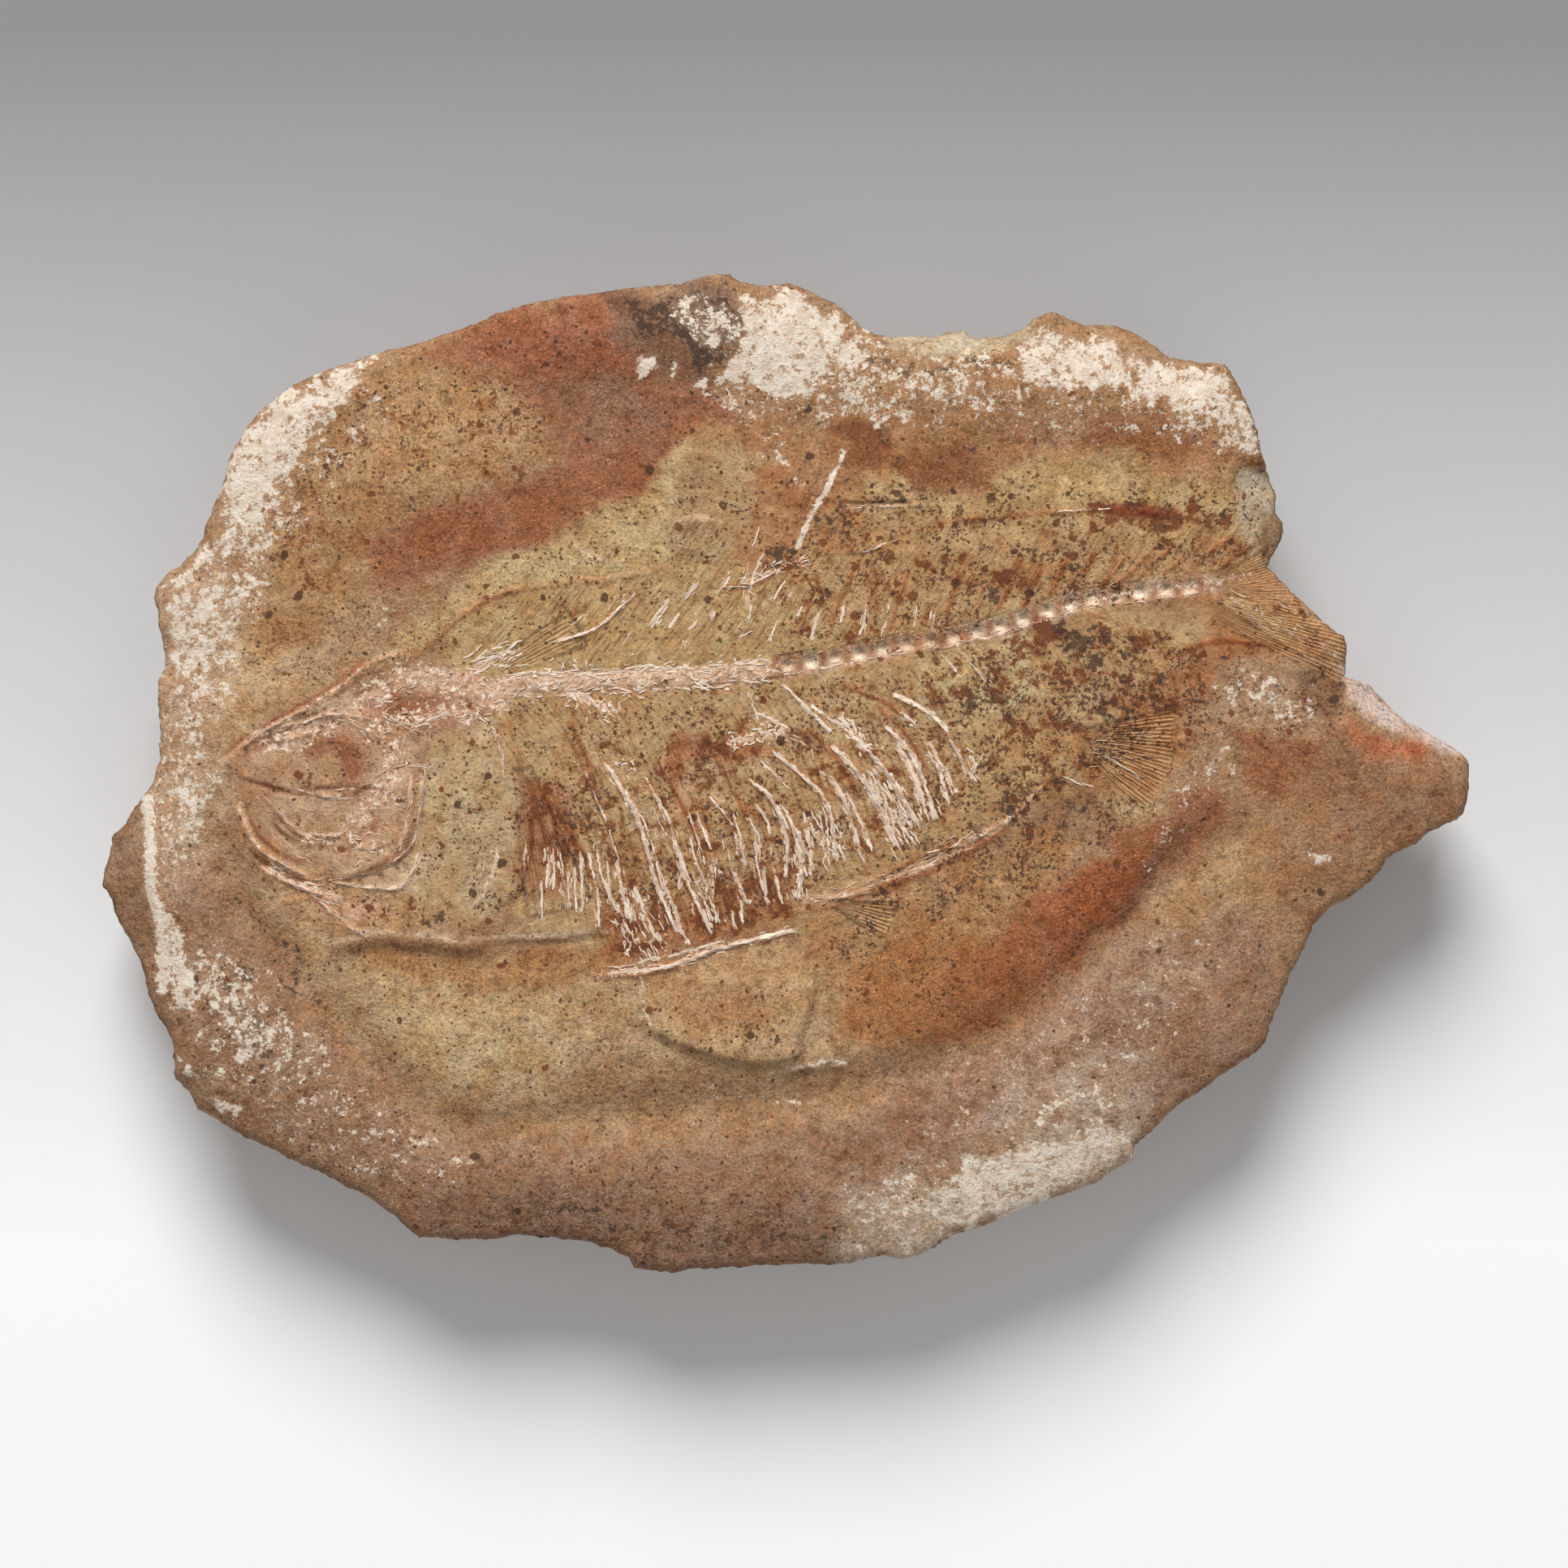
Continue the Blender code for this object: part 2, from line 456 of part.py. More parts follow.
def face_mesh(ring):
    """The fish face: its points, its triangles and its border."""
    closed = np.concatenate([ring, ring[:1]])
    sites, links = drawn_sites()
    sites = np.array(sites)
    kept = inside(sites, ring) & (measure(sites, closed)[0] > EDGE_CLEARANCE)
    numbers = np.cumsum(kept) - 1
    links = [(numbers[a], numbers[b]) for a, b in links if kept[a] and kept[b]]
    sites = sites[kept]
    bevel, bevel_links = lined_sites(sideways_ring(ring, FRONT_BEVEL_WIDTH), (0,), closed=True)
    plain = plain_sites(GRID_PITCH, ring, FACE_MARGIN, GRID_PITCH / 4, 5)
    gaps = np.array([np.min(np.linalg.norm(sites - spot, axis=1)) for spot in plain])
    plain = plain[gaps > SITE_GAP]
    links += [(a + len(sites), b + len(sites)) for a, b in bevel_links]
    everything = np.concatenate([sites, bevel, plain])
    found, faces, border = triangulate(ring, everything, links)
    return np.column_stack([found, face_height(found)]), faces, border


def sideways_ring(ring, inset):
    """A closed ring moved inwards by an inset, a number or one for each point."""
    run = np.roll(ring, -1, axis=0) - np.roll(ring, 1, axis=0)
    run /= np.linalg.norm(run, axis=1)[:, None]
    return ring + np.column_stack([-run[:, 1], run[:, 0]]) * np.reshape(inset, (-1, 1))


def back_mesh(ring):
    """The back: its points, its triangles and its border."""
    plain = plain_sites(BACK_PITCH, ring, BACK_MARGIN, BACK_PITCH / 4, 9)
    found, faces, border = triangulate(ring, plain, [])
    return np.column_stack([found, back_height(found)]), faces, border


def outline_ring():
    """The silhouette anticlockwise from above, with long sides broken up."""
    ring = slab_line(OUTLINE)[::-1]
    rng = random.Random(2)
    spots = []
    for a, b in zip(ring, np.roll(ring, -1, axis=0)):
        run = b - a
        length = float(np.linalg.norm(run))
        inwards = np.array([-run[1], run[0]]) / length
        spots.append(a)
        parts = round(length / SIDE_LENGTH)
        for i in range(1, parts):
            spots.append(a + run * i / parts + inwards * rng.uniform(0, SIDE_CHIP))
    return np.array(spots)


def build_slab(name, collection):
    """One closed body: face, broken wall and back."""
    ring = outline_ring()
    face, face_tris, top = face_mesh(ring)
    insets = [inset * (0.5 + 0.5 * clouds(ring, 7, 4.3 * inset)) for inset in WALL_INSETS]
    back_ring = sideways_ring(ring, insets[-1])
    back, back_tris, bottom = back_mesh(back_ring)

    bm = bmesh.new()
    face_verts = [bm.verts.new(Vector(point) * MM) for point in face]
    back_verts = [bm.verts.new(Vector(point) * MM) for point in back]
    rows = [[face_verts[i] for i in top]]
    for share, inset in zip(WALL_LEVELS[:-1], insets):
        moved = sideways_ring(ring, inset)
        heights = face[top, 2] + (back[bottom, 2] - face[top, 2]) * share
        rows.append([bm.verts.new(Vector((*spot, z)) * MM) for spot, z in zip(moved, heights)])
    rows.append([back_verts[i] for i in bottom])
    for tri in face_tris:
        bm.faces.new([face_verts[i] for i in tri])
    for tri in back_tris:
        bm.faces.new([back_verts[i] for i in reversed(tri)])
    for upper, lower in zip(rows, rows[1:]):
        for i in range(len(ring)):
            j = (i + 1) % len(ring)
            bm.faces.new([upper[i], lower[i], lower[j]])
            bm.faces.new([upper[i], lower[j], upper[j]])

    mesh = bpy.data.meshes.new(name)
    bm.to_mesh(mesh)
    bm.free()
    mesh.materials.append(stone_material())
    slab = bpy.data.objects.new(name, mesh)
    collection.objects.link(slab)
    return slab


def stone_material():
    material = bpy.data.materials.new("weathered_limestone")
    material.use_nodes = True
    shader = material.node_tree.nodes["Principled BSDF"]
    shader.inputs["Base Color"].default_value = STONE_COLOUR
    shader.inputs["Roughness"].default_value = STONE_ROUGHNESS
    shader.inputs["Metallic"].default_value = 0.0
    material.diffuse_color = STONE_COLOUR
    return material


def main():
    for old in list(bpy.data.objects):
        bpy.data.objects.remove(old)
    collection = bpy.data.collections.new("fossil_fish_slab")
    bpy.context.scene.collection.children.link(collection)
    build_slab("fossil_slab", collection)


main()
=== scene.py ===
"""Looks of the fossil fish slab: one weathered stone with a fish pressed into its face.

The stone is modelled again at full detail from the same silhouette and relief as the solid that it
stands for, and the bones' pale splinters lie on it as a mesh of their own. Shapes are drawn on a
sheet in millimetres, with x to the right and y down; slab_point turns a point of the sheet into
millimetres on the slab.
"""

import math
import random

import bpy
import numpy as np
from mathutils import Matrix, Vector, kdtree, noise
from mathutils.geometry import delaunay_2d_cdt


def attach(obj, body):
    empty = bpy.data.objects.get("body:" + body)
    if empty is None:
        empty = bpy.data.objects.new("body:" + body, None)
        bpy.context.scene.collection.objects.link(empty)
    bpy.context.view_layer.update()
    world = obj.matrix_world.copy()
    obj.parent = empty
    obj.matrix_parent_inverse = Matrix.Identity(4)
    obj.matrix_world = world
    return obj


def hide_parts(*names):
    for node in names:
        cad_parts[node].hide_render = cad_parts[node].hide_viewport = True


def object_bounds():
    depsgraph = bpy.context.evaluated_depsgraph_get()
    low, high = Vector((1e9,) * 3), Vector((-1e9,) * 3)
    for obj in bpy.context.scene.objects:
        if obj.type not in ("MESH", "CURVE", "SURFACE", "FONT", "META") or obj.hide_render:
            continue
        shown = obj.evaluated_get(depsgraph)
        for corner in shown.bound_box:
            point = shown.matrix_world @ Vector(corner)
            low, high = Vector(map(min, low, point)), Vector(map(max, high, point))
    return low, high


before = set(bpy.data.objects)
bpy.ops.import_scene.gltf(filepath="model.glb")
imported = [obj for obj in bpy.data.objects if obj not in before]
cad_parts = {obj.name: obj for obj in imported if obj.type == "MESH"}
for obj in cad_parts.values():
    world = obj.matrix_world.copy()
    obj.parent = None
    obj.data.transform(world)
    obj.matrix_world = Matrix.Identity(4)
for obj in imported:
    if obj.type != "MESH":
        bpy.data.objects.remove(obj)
CAD_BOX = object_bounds()

MM = 0.001
CRISP_SOFTNESS = 1.3         # patches softer than this get a ragged, blotchy edge
SHEET_MIDDLE = (96.65, 95.3)

# The stone, in millimetres, as the solid has it
FACE_LEVEL = 20.6
BACK_EDGE_LEVEL = 9.2
BACK_EDGE_WANDER = 2.6
BACK_RISE_WIDTH = 21.0
REST_LEVEL = 0.3
FRONT_BEVEL_WIDTH = 0.9
FRONT_BEVEL_DROP = 1.1
VERTEBRA_PITCH = 2.97
RAY_PITCH = 0.56             # from one dark ray of a fin to the next
CUP_RADIUS = 1.0
CUP_DEPTH = 0.50
TROUGH_HALF_WIDTH = 1.35
TROUGH_DEPTH = 0.12
BEAD_RADIUS = 1.3
BEAD_HEIGHT = 0.45
TAPER = 0.18                 # share of a line over which it eases in at each end
FOOT_INSET = 1.0             # how far the wall's foot lies inside the outline
FOOT_WANDER = 0.4
WALL_CHIP = 1.1              # depth of the wall's coarse breaks
WALL_CRACK = 0.45            # depth of its fine ones

# How finely the stone and the splinters are meshed, in millimetres
EDGE_STEP = 0.45
FISH_PITCH = 0.42
PLAIN_PITCH = 0.70
BACK_PITCH = 1.45
LINE_STEP = 0.8
FACE_MARGIN = 1.4            # how far the face's loose points stay from the outline
LINE_MARGIN = 1.6            # how far the points of drawn lines stay from it
BACK_MARGIN = 2.2            # how far the back's points stay from it
POINT_GAP = 0.22             # least gap between a loose point and a drawn one
RIM_INSETS = (0.35, 0.8)
WALL_ROWS = 12
MERGE = 0.01
SPLINTER_STEP = 0.32         # length of one section of a splinter
SPLINTER_SINK = 0.06         # how deep a splinter's foot sits in the stone
EDGE_CLEARANCE = 1.0         # how far splinters stay from the outline

# Colours from 0 to 255, as the eye sees them
PLAIN_STONE = (160, 124, 92)
BONE_RUST = (152, 86, 48)
SKULL_EDGE = (146, 92, 62)
FIN_RAY = (206, 168, 122)
CUP_RIM = (150, 104, 76)
CUP_FLOOR = (186, 164, 138)
# painted shade and painted highlight inside the vertebral cups
CUP_PAINTED_SHADE = (132, 112, 94)
CUP_PAINTED_HIGHLIGHT = (238, 216, 194)
WALL_DARK = (132, 96, 70)
WALL_PALE = (176, 148, 118)
PIT = (84, 62, 48)
GRAIN = (216, 196, 172)
RUST_LIGHT = (142, 88, 48)
RUST_DEEP = (100, 50, 30)
FIBRE_DARK = (120, 72, 42)
FIBRE_PALE = (208, 182, 142)
RAY_DARK = (134, 76, 42)
RAY_PALE = (220, 172, 120)
FILM = (68, 50, 42)
POWDER = (196, 162, 132)
SPECK_FINE = (76, 54, 42)
SPECK_DARK = (76, 50, 36)
SPECK_RUST = (114, 60, 34)
CHALK_SHADE = (218, 198, 176)
CHALK_LIGHT = (236, 223, 206)
BONE_PINK = (220, 182, 152)
BONE_PALE = (242, 228, 212)
BONE_STAIN = (158, 108, 76)
SPLINTER_PALE = (246, 228, 208)
SPLINTER_PINK = (214, 172, 142)

# Silhouette, clockwise on the sheet from the left tip
OUTLINE = [
    (12.4, 107.1), (13.5, 102.7), (15, 101.5), (15.6, 100.2), (16.8, 98.7), (17.9, 97.5),
    (18.8, 96.1), (18.8, 94.8), (19.4, 93.4), (19.2, 91.5), (19.5, 91.9), (19.3, 89), (19, 86),
    (19.2, 83.5), (19.9, 82.5), (20, 80.6), (19.6, 78.9), (19.1, 77.2), (19.1, 75.2), (18.6, 73.5),
    (19, 72.2), (20, 70.8), (21.9, 69.5), (23.8, 67.6), (24.7, 66.1), (24.9, 64.9), (25.7, 63.2),
    (26.5, 61.1), (27.2, 59.2), (27.8, 56.5), (28.8, 54.8), (29.9, 52.7), (31.8, 50.4),
    (34.9, 47.9), (37.5, 46.5), (40, 45.3), (43.7, 44.2), (47.9, 42.8), (51.7, 42), (55.2, 40.7),
    (58.2, 39.8), (60.9, 38.3), (64.3, 37.4), (67.9, 36.5), (72.3, 36), (74.9, 35.6), (78.2, 35.1),
    (81.1, 34.9), (84.1, 34.6), (86.4, 33.9), (88.9, 33.5), (89.9, 33.6), (91.4, 34.6),
    (93.3, 34.9), (95.6, 34.9), (97, 34.6), (98.7, 35.1), (100.6, 36.1), (102.7, 37), (104.6, 38.5),
    (106.1, 40), (107.9, 40.9), (110.2, 41.3), (112.4, 41), (115.5, 41.2), (116.7, 40.5),
    (119, 40.3), (120.1, 41.1), (122.1, 41.2), (124.7, 40.8), (126.2, 40.3), (127.5, 39),
    (129.7, 38.2), (131.6, 38.8), (133.7, 39.7), (137.8, 39.8), (139.9, 40.5), (142, 41.9),
    (144.5, 43.8), (146.9, 44.3), (151.1, 44.7), (151.9, 45.5), (153.2, 48), (154.3, 50.2),
    (155, 52.9), (155.7, 55.4), (156.7, 58.1), (157.7, 60.6), (157.8, 62.9), (158.6, 64.1),
    (158.6, 65.2), (157.8, 67.2), (156.7, 68.7), (156.3, 69.8), (157.5, 70.8), (159, 72.6),
    (161, 74.1), (162.7, 76), (164.4, 77.4), (165.8, 78.4), (166.2, 80.3), (166, 82.4),
    (165.9, 83.4), (166.8, 83.5), (169.1, 84.2), (170.4, 85.5), (171.8, 87.1), (173.9, 89),
    (176.6, 90.5), (179.3, 91.9), (181.1, 93.4), (181.4, 94.2), (181.4, 97.1), (180.8, 99.9),
    (179.9, 101), (176.4, 102.6), (174.8, 104), (173, 104.8), (171, 106), (170.2, 107.6),
    (168.5, 109.1), (166.5, 110.5), (164.5, 111.7), (162.1, 113.9), (161.3, 116.1), (160.2, 118.2),
    (158.8, 121.2), (157.8, 123.8), (156.8, 126.2), (156, 128.5), (154.9, 129.9), (152.1, 131.7),
    (150.1, 133.1), (147.5, 135), (145.1, 136.4), (143.2, 138.4), (141, 140.4), (140, 141.2),
    (139.8, 143), (138, 144), (135.3, 145.9), (132.5, 146.9), (128.9, 148.1), (125.4, 149.3),
    (121.7, 151.2), (117.8, 152.1), (115.9, 153.3), (114, 154.6), (111.3, 155.4), (109, 155),
    (106.7, 155.4), (104.4, 156), (96.8, 156), (93, 156.2), (89.1, 156.5), (85.3, 156.5),
    (83, 157.1), (80.3, 156.7), (78, 156.5), (77.3, 155.2), (75.4, 154.1), (72.7, 153.3),
    (70, 152.9), (63.9, 152.3), (62.2, 152.7), (59.7, 153), (51.5, 152.7), (50, 151.4),
    (48.1, 149.8), (45.2, 147.7), (42.3, 146.2), (39, 144.4), (35.7, 143.1), (33.6, 141.9),
    (30.7, 140.6), (28.2, 139.4), (26.2, 138), (23.9, 136.9), (23.1, 135.1), (21.2, 133.2),
    (21.2, 131.1), (21.1, 129), (20.4, 127), (18.9, 124.9), (18.1, 123), (17.5, 120.3),
    (16.8, 118.3), (15, 115.4), (13.9, 113.3), (13.1, 111), (12.1, 109),
]

# The soft groove around the fish: depth, spread, points
VALLEYS = [
    (1.5, 3.2, [(25, 91), (26.5, 105), (31, 114), (38, 122), (44, 129), (50, 135), (56, 139),
        (70, 139), (85, 137), (100, 135), (110, 133), (120, 129), (128, 124), (137, 116),
        (143, 109), (150, 104), (158, 99)]),
    (0.7, 4.5, [(25, 91), (28, 76), (35, 63), (44, 53), (60, 48), (80, 50), (100, 53), (125, 56),
        (150, 58)]),
]

# Broad swells: x, y, half-length, half-width, turn in degrees, height
SWELLS = [
    (92, 100, 50, 20, 9, 0.9),
    (58.5, 98, 5.5, 11, -4, 0.8),
    (86, 103, 17, 9, 20, 0.5),
    (44, 96, 9, 7, 20, 0.5),
    (62, 128, 20, 6, 0, 0.6),
    (118, 122, 16, 6, 35, 0.5),
    (60, 56, 16, 7, 10, 0.6),
    (140, 50, 12, 5, -10, 0.7),
    (85.5, 96, 3.5, 5, 0, -0.5),
    (161, 90, 10, 6, -10, 0.5),
    (30, 128, 7, 8, 0, 0.7),
    (140, 130, 12, 9, 40, 0.8),
]

# Ledges with their high side on the left of the way drawn: height, fall width, fade, points
LEDGES = [
    (0.85, 2.2, 9, [(39.6, 116.4), (43, 116.3), (46.4, 115), (49.6, 115.5), (53.6, 115.6),
        (56.4, 116.4), (60.2, 116), (62.6, 115.6)]),
    (0.35, 1.2, 6, [(61.2, 116.2), (63.4, 115.3), (68, 115.3), (71.9, 114.6), (74.9, 114.4)]),
    (1.2, 1.4, 11, [(77.1, 127.6), (78.9, 125.8), (83.2, 127.9), (88.3, 129.6), (91.4, 130.4),
        (97.4, 130), (98.3, 127.3), (99.8, 122.2), (99.5, 118.4), (99.3, 115.6)]),
    (0.5, 0.7, 5, [(96.5, 131.8), (101.6, 131.4), (104.6, 131.2)]),
    (0.4, 0.6, 7, [(83.9, 53.6), (83.4, 58.8), (83.2, 64.5), (82.8, 69.5)]),
    (0.35, 0.6, 4, [(88.7, 64.2), (85.7, 63.8), (83.4, 64.5)]),
    (0.6, 0.8, 4, [(40.6, 108.7), (44.5, 107.2), (48.9, 105.3), (51.5, 100.5), (52, 94)]),
    (0.6, 0.9, 4, [(59.5, 112.6), (64, 109), (65, 102), (63.6, 94), (61, 88)]),
]

# Broken facets that fall away on the right of the way drawn: slope, deepest, points
CHIPS = [
    (0.75, 2.4, [(126, 43.2), (120, 43.9), (114, 43.6), (109.5, 43)]),
    (0.55, 2.6, [(156, 69.6), (153.5, 65), (152, 62), (151.5, 59), (153, 55)]),
    (0.8, 2.6, [(180.2, 94.2), (176, 91.4), (172, 89.8), (169, 88.2), (166.8, 86), (165.6, 83.2)]),
    (0.35, 1.6, [(18.6, 97.5), (18.4, 104), (18.3, 108), (19.5, 113), (20.4, 119)]),
    (0.5, 2.2, [(24.8, 131.6), (26, 135.4), (29.6, 138.4)]),
    (0.6, 1.8, [(148.5, 45.4), (143.5, 44.8), (138.5, 42.6), (130, 40.6)]),
]

# Ribs and spines that kept their pale bone: width, share of the length that is left, points
PALE_BONES = [
    (0.34, 0.9, [(67.5, 104.4), (67.6, 106.3), (67.4, 109.3)]),
    (0.26, 0.8, [(68.2, 104.5), (68.3, 109.3)]),
    (0.22, 0.7, [(64.9, 104), (64.6, 107)]),
    (0.2, 0.6, [(66.8, 108.4), (66.9, 113.2)]),
    (0.24, 0.8, [(69.9, 107.3), (70.3, 111.6)]),
    (0.26, 0.8, [(70.8, 106.8), (71, 112.1)]),
    (0.28, 0.9, [(71.5, 105), (71.8, 109.6), (71.6, 112.1)]),
    (0.26, 0.8, [(72.5, 105), (73.6, 110), (73.8, 113.9)]),
    (0.26, 0.8, [(73.6, 104), (74, 107.3), (76.1, 112.1)]),
    (0.2, 0.4, [(72.1, 94.9), (75.2, 102.2), (76.7, 107.7)]),
    (0.4, 0.9, [(76.1, 106.3), (76.5, 109.1), (77.5, 113)]),
    (0.3, 0.8, [(77, 109), (77.9, 113.4)]),
    (0.4, 0.95, [(74.7, 94.2), (77.9, 99.2), (79.5, 103.6), (80.7, 108.4), (83.4, 114.6)]),
    (0.26, 0.7, [(77.4, 97.6), (79.9, 102.6), (81.6, 108.3), (83.9, 114.8)]),
    (0.34, 0.8, [(78.1, 109.1), (79.5, 112.8), (80.8, 115.6)]),
    (0.3, 0.6, [(79.5, 95.8), (82, 100.1), (83.2, 103.6), (83.9, 107.5), (83.8, 109.3)]),
    (0.36, 0.9, [(83, 103), (84.2, 107), (85.5, 110.2), (87.6, 114.8)]),
    (0.3, 0.8, [(81.6, 109), (82.9, 111.4), (84.6, 116)]),
    (0.22, 0.7, [(84.8, 99.9), (86.4, 104.5), (86.8, 106.3)]),
    (0.22, 0.7, [(85.9, 100.1), (87.6, 104.5), (88, 106.3)]),
    (0.26, 0.7, [(87.8, 106.2), (87.9, 110.7), (88.3, 113.3)]),
    (0.24, 0.6, [(87.3, 98.1), (90.1, 101.5), (90.8, 105)]),
    (0.26, 0.7, [(90.1, 100), (91.2, 103.3), (91.6, 106.4)]),
    (0.26, 0.7, [(92.1, 100.7), (93.4, 103), (93.6, 105.9)]),
    (0.28, 0.7, [(93.2, 99.1), (94.7, 101.3), (94.9, 105)]),
    (0.36, 0.9, [(92.3, 96.1), (94.7, 98), (96.4, 101.1), (97, 104.8), (96.8, 107.8)]),
    (0.2, 0.7, [(93.6, 93.7), (96.2, 96.1), (97, 97)]),
    (0.36, 0.9, [(95.3, 92.6), (99.2, 95.9), (102.1, 99.4), (102.9, 104.6)]),
    (0.3, 0.8, [(96.4, 84.4), (99.2, 87)]),
    (0.34, 0.9, [(98.1, 86.1), (100.1, 88.1), (102.1, 90)]),
    (0.3, 0.8, [(99.9, 86.9), (103.8, 89.6)]),
    (0.2, 0.6, [(96.8, 90.5), (99.4, 91.8), (99.9, 93.3)]),
    (0.46, 0.95, [(102.5, 92), (104.9, 94.4), (107.3, 97.6), (109, 100.9), (110.3, 103.9)]),
    (0.28, 0.8, [(102.7, 96.1), (104.2, 98.9), (105.3, 102.8), (106.4, 106.1)]),
    (0.3, 0.8, [(104.4, 97.8), (106, 101.5), (107.3, 104.6)]),
    (0.46, 0.95, [(104.9, 90.5), (108.3, 94.1), (111.2, 98), (112.7, 101.1)]),
    (0.4, 0.9, [(109, 89.4), (112, 92.6), (114.2, 97.4), (115.1, 100.7)]),
    (0.34, 0.8, [(110.5, 92.2), (112.9, 96.7), (114, 100)]),
    (0.26, 0.8, [(114.6, 91.5), (115.9, 94.4)]),
    (0.3, 0.8, [(114.8, 93.3), (116.4, 97.2), (116.8, 98.9)]),
    (0.26, 0.8, [(116.4, 94.6), (117.7, 97.4)]),
    (0.3, 0.8, [(117, 91.1), (119, 94.8), (120, 96.1)]),
    (0.28, 0.7, [(110.1, 85.9), (113.3, 87), (116.6, 90)]),
    (0.22, 0.7, [(110.9, 88.1), (112.7, 89.6)]),
    (0.22, 0.7, [(119, 92), (120.6, 93.4)]),
    (0.26, 0.6, [(92.1, 85.3), (93.4, 88.5)]),
    (0.26, 0.7, [(95.5, 88.1), (92.5, 90.7)]),
    (0.3, 0.8, [(93.4, 87.9), (96.8, 89.6)]),
    (0.44, 0.9, [(98.1, 102.2), (98.8, 104.7), (98.4, 110.4)]),
    (0.34, 0.8, [(99.6, 102), (99.9, 107.6)]),
    (0.34, 0.9, [(90.6, 107.6), (91.9, 111.1)]),
    (0.3, 0.8, [(90.1, 112.1), (90.6, 114.3)]),
    (0.3, 0.8, [(91.3, 110.9), (91.4, 113.4)]),
    (0.3, 0.8, [(94, 106.9), (94.2, 110)]),
    (0.3, 0.8, [(95.3, 107), (96.4, 111.1)]),
    (0.26, 0.7, [(86, 108.5), (87.7, 113.2)]),
    (0.3, 0.7, [(110, 90.5), (111.5, 93), (113, 96), (113.8, 99)]),
    (0.24, 0.7, [(114, 91.5), (116.5, 97)]),
    (0.24, 0.6, [(115.8, 94.5), (117.2, 97)]),
    (0.26, 0.7, [(118, 92.5), (118.8, 95.2)]),
    (0.24, 0.7, [(119.5, 93), (120, 94.5)]),
    (0.22, 0.6, [(119.5, 95.5), (121, 93)]),
    (0.22, 0.6, [(118, 79.7), (121.5, 84)]),
    (0.22, 0.6, [(115.8, 80.5), (118.3, 83.3)]),
    (0.34, 0.8, [(110, 85.5), (113.5, 87.2), (116.5, 89.5)]),
    (0.4, 0.8, [(111, 87.8), (112.7, 89.3)]),
    (0.2, 0.5, [(80, 98), (81.4, 101.6), (83.4, 106)]),
    (0.24, 0.7, [(85, 103), (86, 107), (88.6, 113.4)]),
    (0.24, 0.6, [(89.4, 103.4), (90.4, 107.8)]),
    (0.24, 0.7, [(93, 103.4), (93.4, 107.6), (94.6, 111)]),
    (0.3, 0.7, [(96.2, 99.2), (98, 102.2), (98.6, 105.4)]),
    (0.24, 0.7, [(99.6, 93.6), (102.6, 96.6), (104.4, 100.2)]),
    (0.22, 0.6, [(69, 104.6), (69.4, 110.4)]),
    (0.22, 0.6, [(74.8, 106), (75.2, 111.4)]),
    (0.22, 0.7, [(92.6, 74.5), (92.4, 76.5)]),
    (0.24, 0.8, [(86, 71.8), (84.6, 73.5)]),
    (0.24, 0.8, [(83.6, 75.7), (82.5, 77.2)]),
    (0.22, 0.8, [(88, 75), (87.6, 76)]),
    (0.3, 0.8, [(82.4, 73.8), (80, 77)]),
    (0.22, 0.8, [(84.6, 78.5), (84.4, 80)]),
    (0.2, 0.8, [(91, 78.5), (92.5, 78)]),
    (0.2, 0.8, [(99, 74.5), (98.5, 75.7)]),
    (0.22, 0.8, [(104, 74.5), (103.5, 76.5)]),
    (0.2, 0.7, [(76.4, 73), (75, 75)]),
    (0.2, 0.7, [(72, 75.6), (70.6, 77)]),
    (0.2, 0.7, [(96.6, 71.6), (95.4, 74)]),
    (0.2, 0.7, [(90.2, 70.4), (88.6, 73)]),
    (0.2, 0.7, [(78, 77.6), (76.8, 79.4)]),
    (0.2, 0.7, [(95.8, 76.6), (95, 78.8)]),
    (0.3, 0.8, [(101.2, 75.3), (100.5, 76.6), (100, 78.6)]),
    (0.26, 0.7, [(106.7, 74.4), (106.5, 76.4), (105.9, 78)]),
    (0.3, 0.8, [(109.5, 74.2), (109.2, 76.2), (108.6, 78.2)]),
    (0.22, 0.7, [(115.2, 75.2), (114.9, 77.4)]),
    (0.2, 0.6, [(113, 74.4), (112.6, 77)]),
    (0.32, 0.8, [(78.4, 72.9), (75.8, 75.5), (73.6, 77.4)]),
    (0.34, 0.9, [(73.6, 77.4), (71.9, 78), (68.9, 79)]),
    (0.28, 0.8, [(81.6, 75.6), (80.4, 77.2)]),
    (0.24, 0.7, [(83.4, 75.7), (82.5, 77.2)]),
    (0.24, 0.8, [(86, 72), (84.4, 73.6)]),
    (0.26, 0.8, [(86, 76.2), (85, 77.4)]),
    (0.26, 0.8, [(94, 68.4), (92.6, 71.6), (92.2, 74)]),
    (0.14, 0.4, [(93.6, 64.6), (92.6, 67.5), (91.8, 71)]),
    (0.24, 0.7, [(60.2, 80), (58.2, 81.6)]),
    (0.26, 0.8, [(62.8, 80), (60.4, 81.3), (58.7, 82.9)]),
    (0.24, 0.7, [(63.2, 80.7), (61.7, 82)]),
    (0.18, 0.3, [(88.7, 72.4), (93.3, 71.8), (95.6, 70.3), (99.4, 69.1)]),
    (0.18, 0.3, [(101, 68.2), (107.1, 67.8), (110.2, 66.6)]),
    (0.14, 0.5, [(104.4, 62.6), (111.3, 62.4)]),
    (0.12, 0.5, [(130, 63.1), (136.6, 62.7)]),
    (0.36, 0.9, [(75, 120), (83.2, 118.9), (88.3, 116.9), (97.5, 114.6)]),
    (0.26, 0.8, [(78.4, 118.7), (84.2, 117.4), (88.8, 116)]),
    (0.16, 0.6, [(131, 95.6), (134.4, 97)]),
    (0.12, 0.6, [(134, 92.2), (137, 93.6), (140, 95.6)]),
]

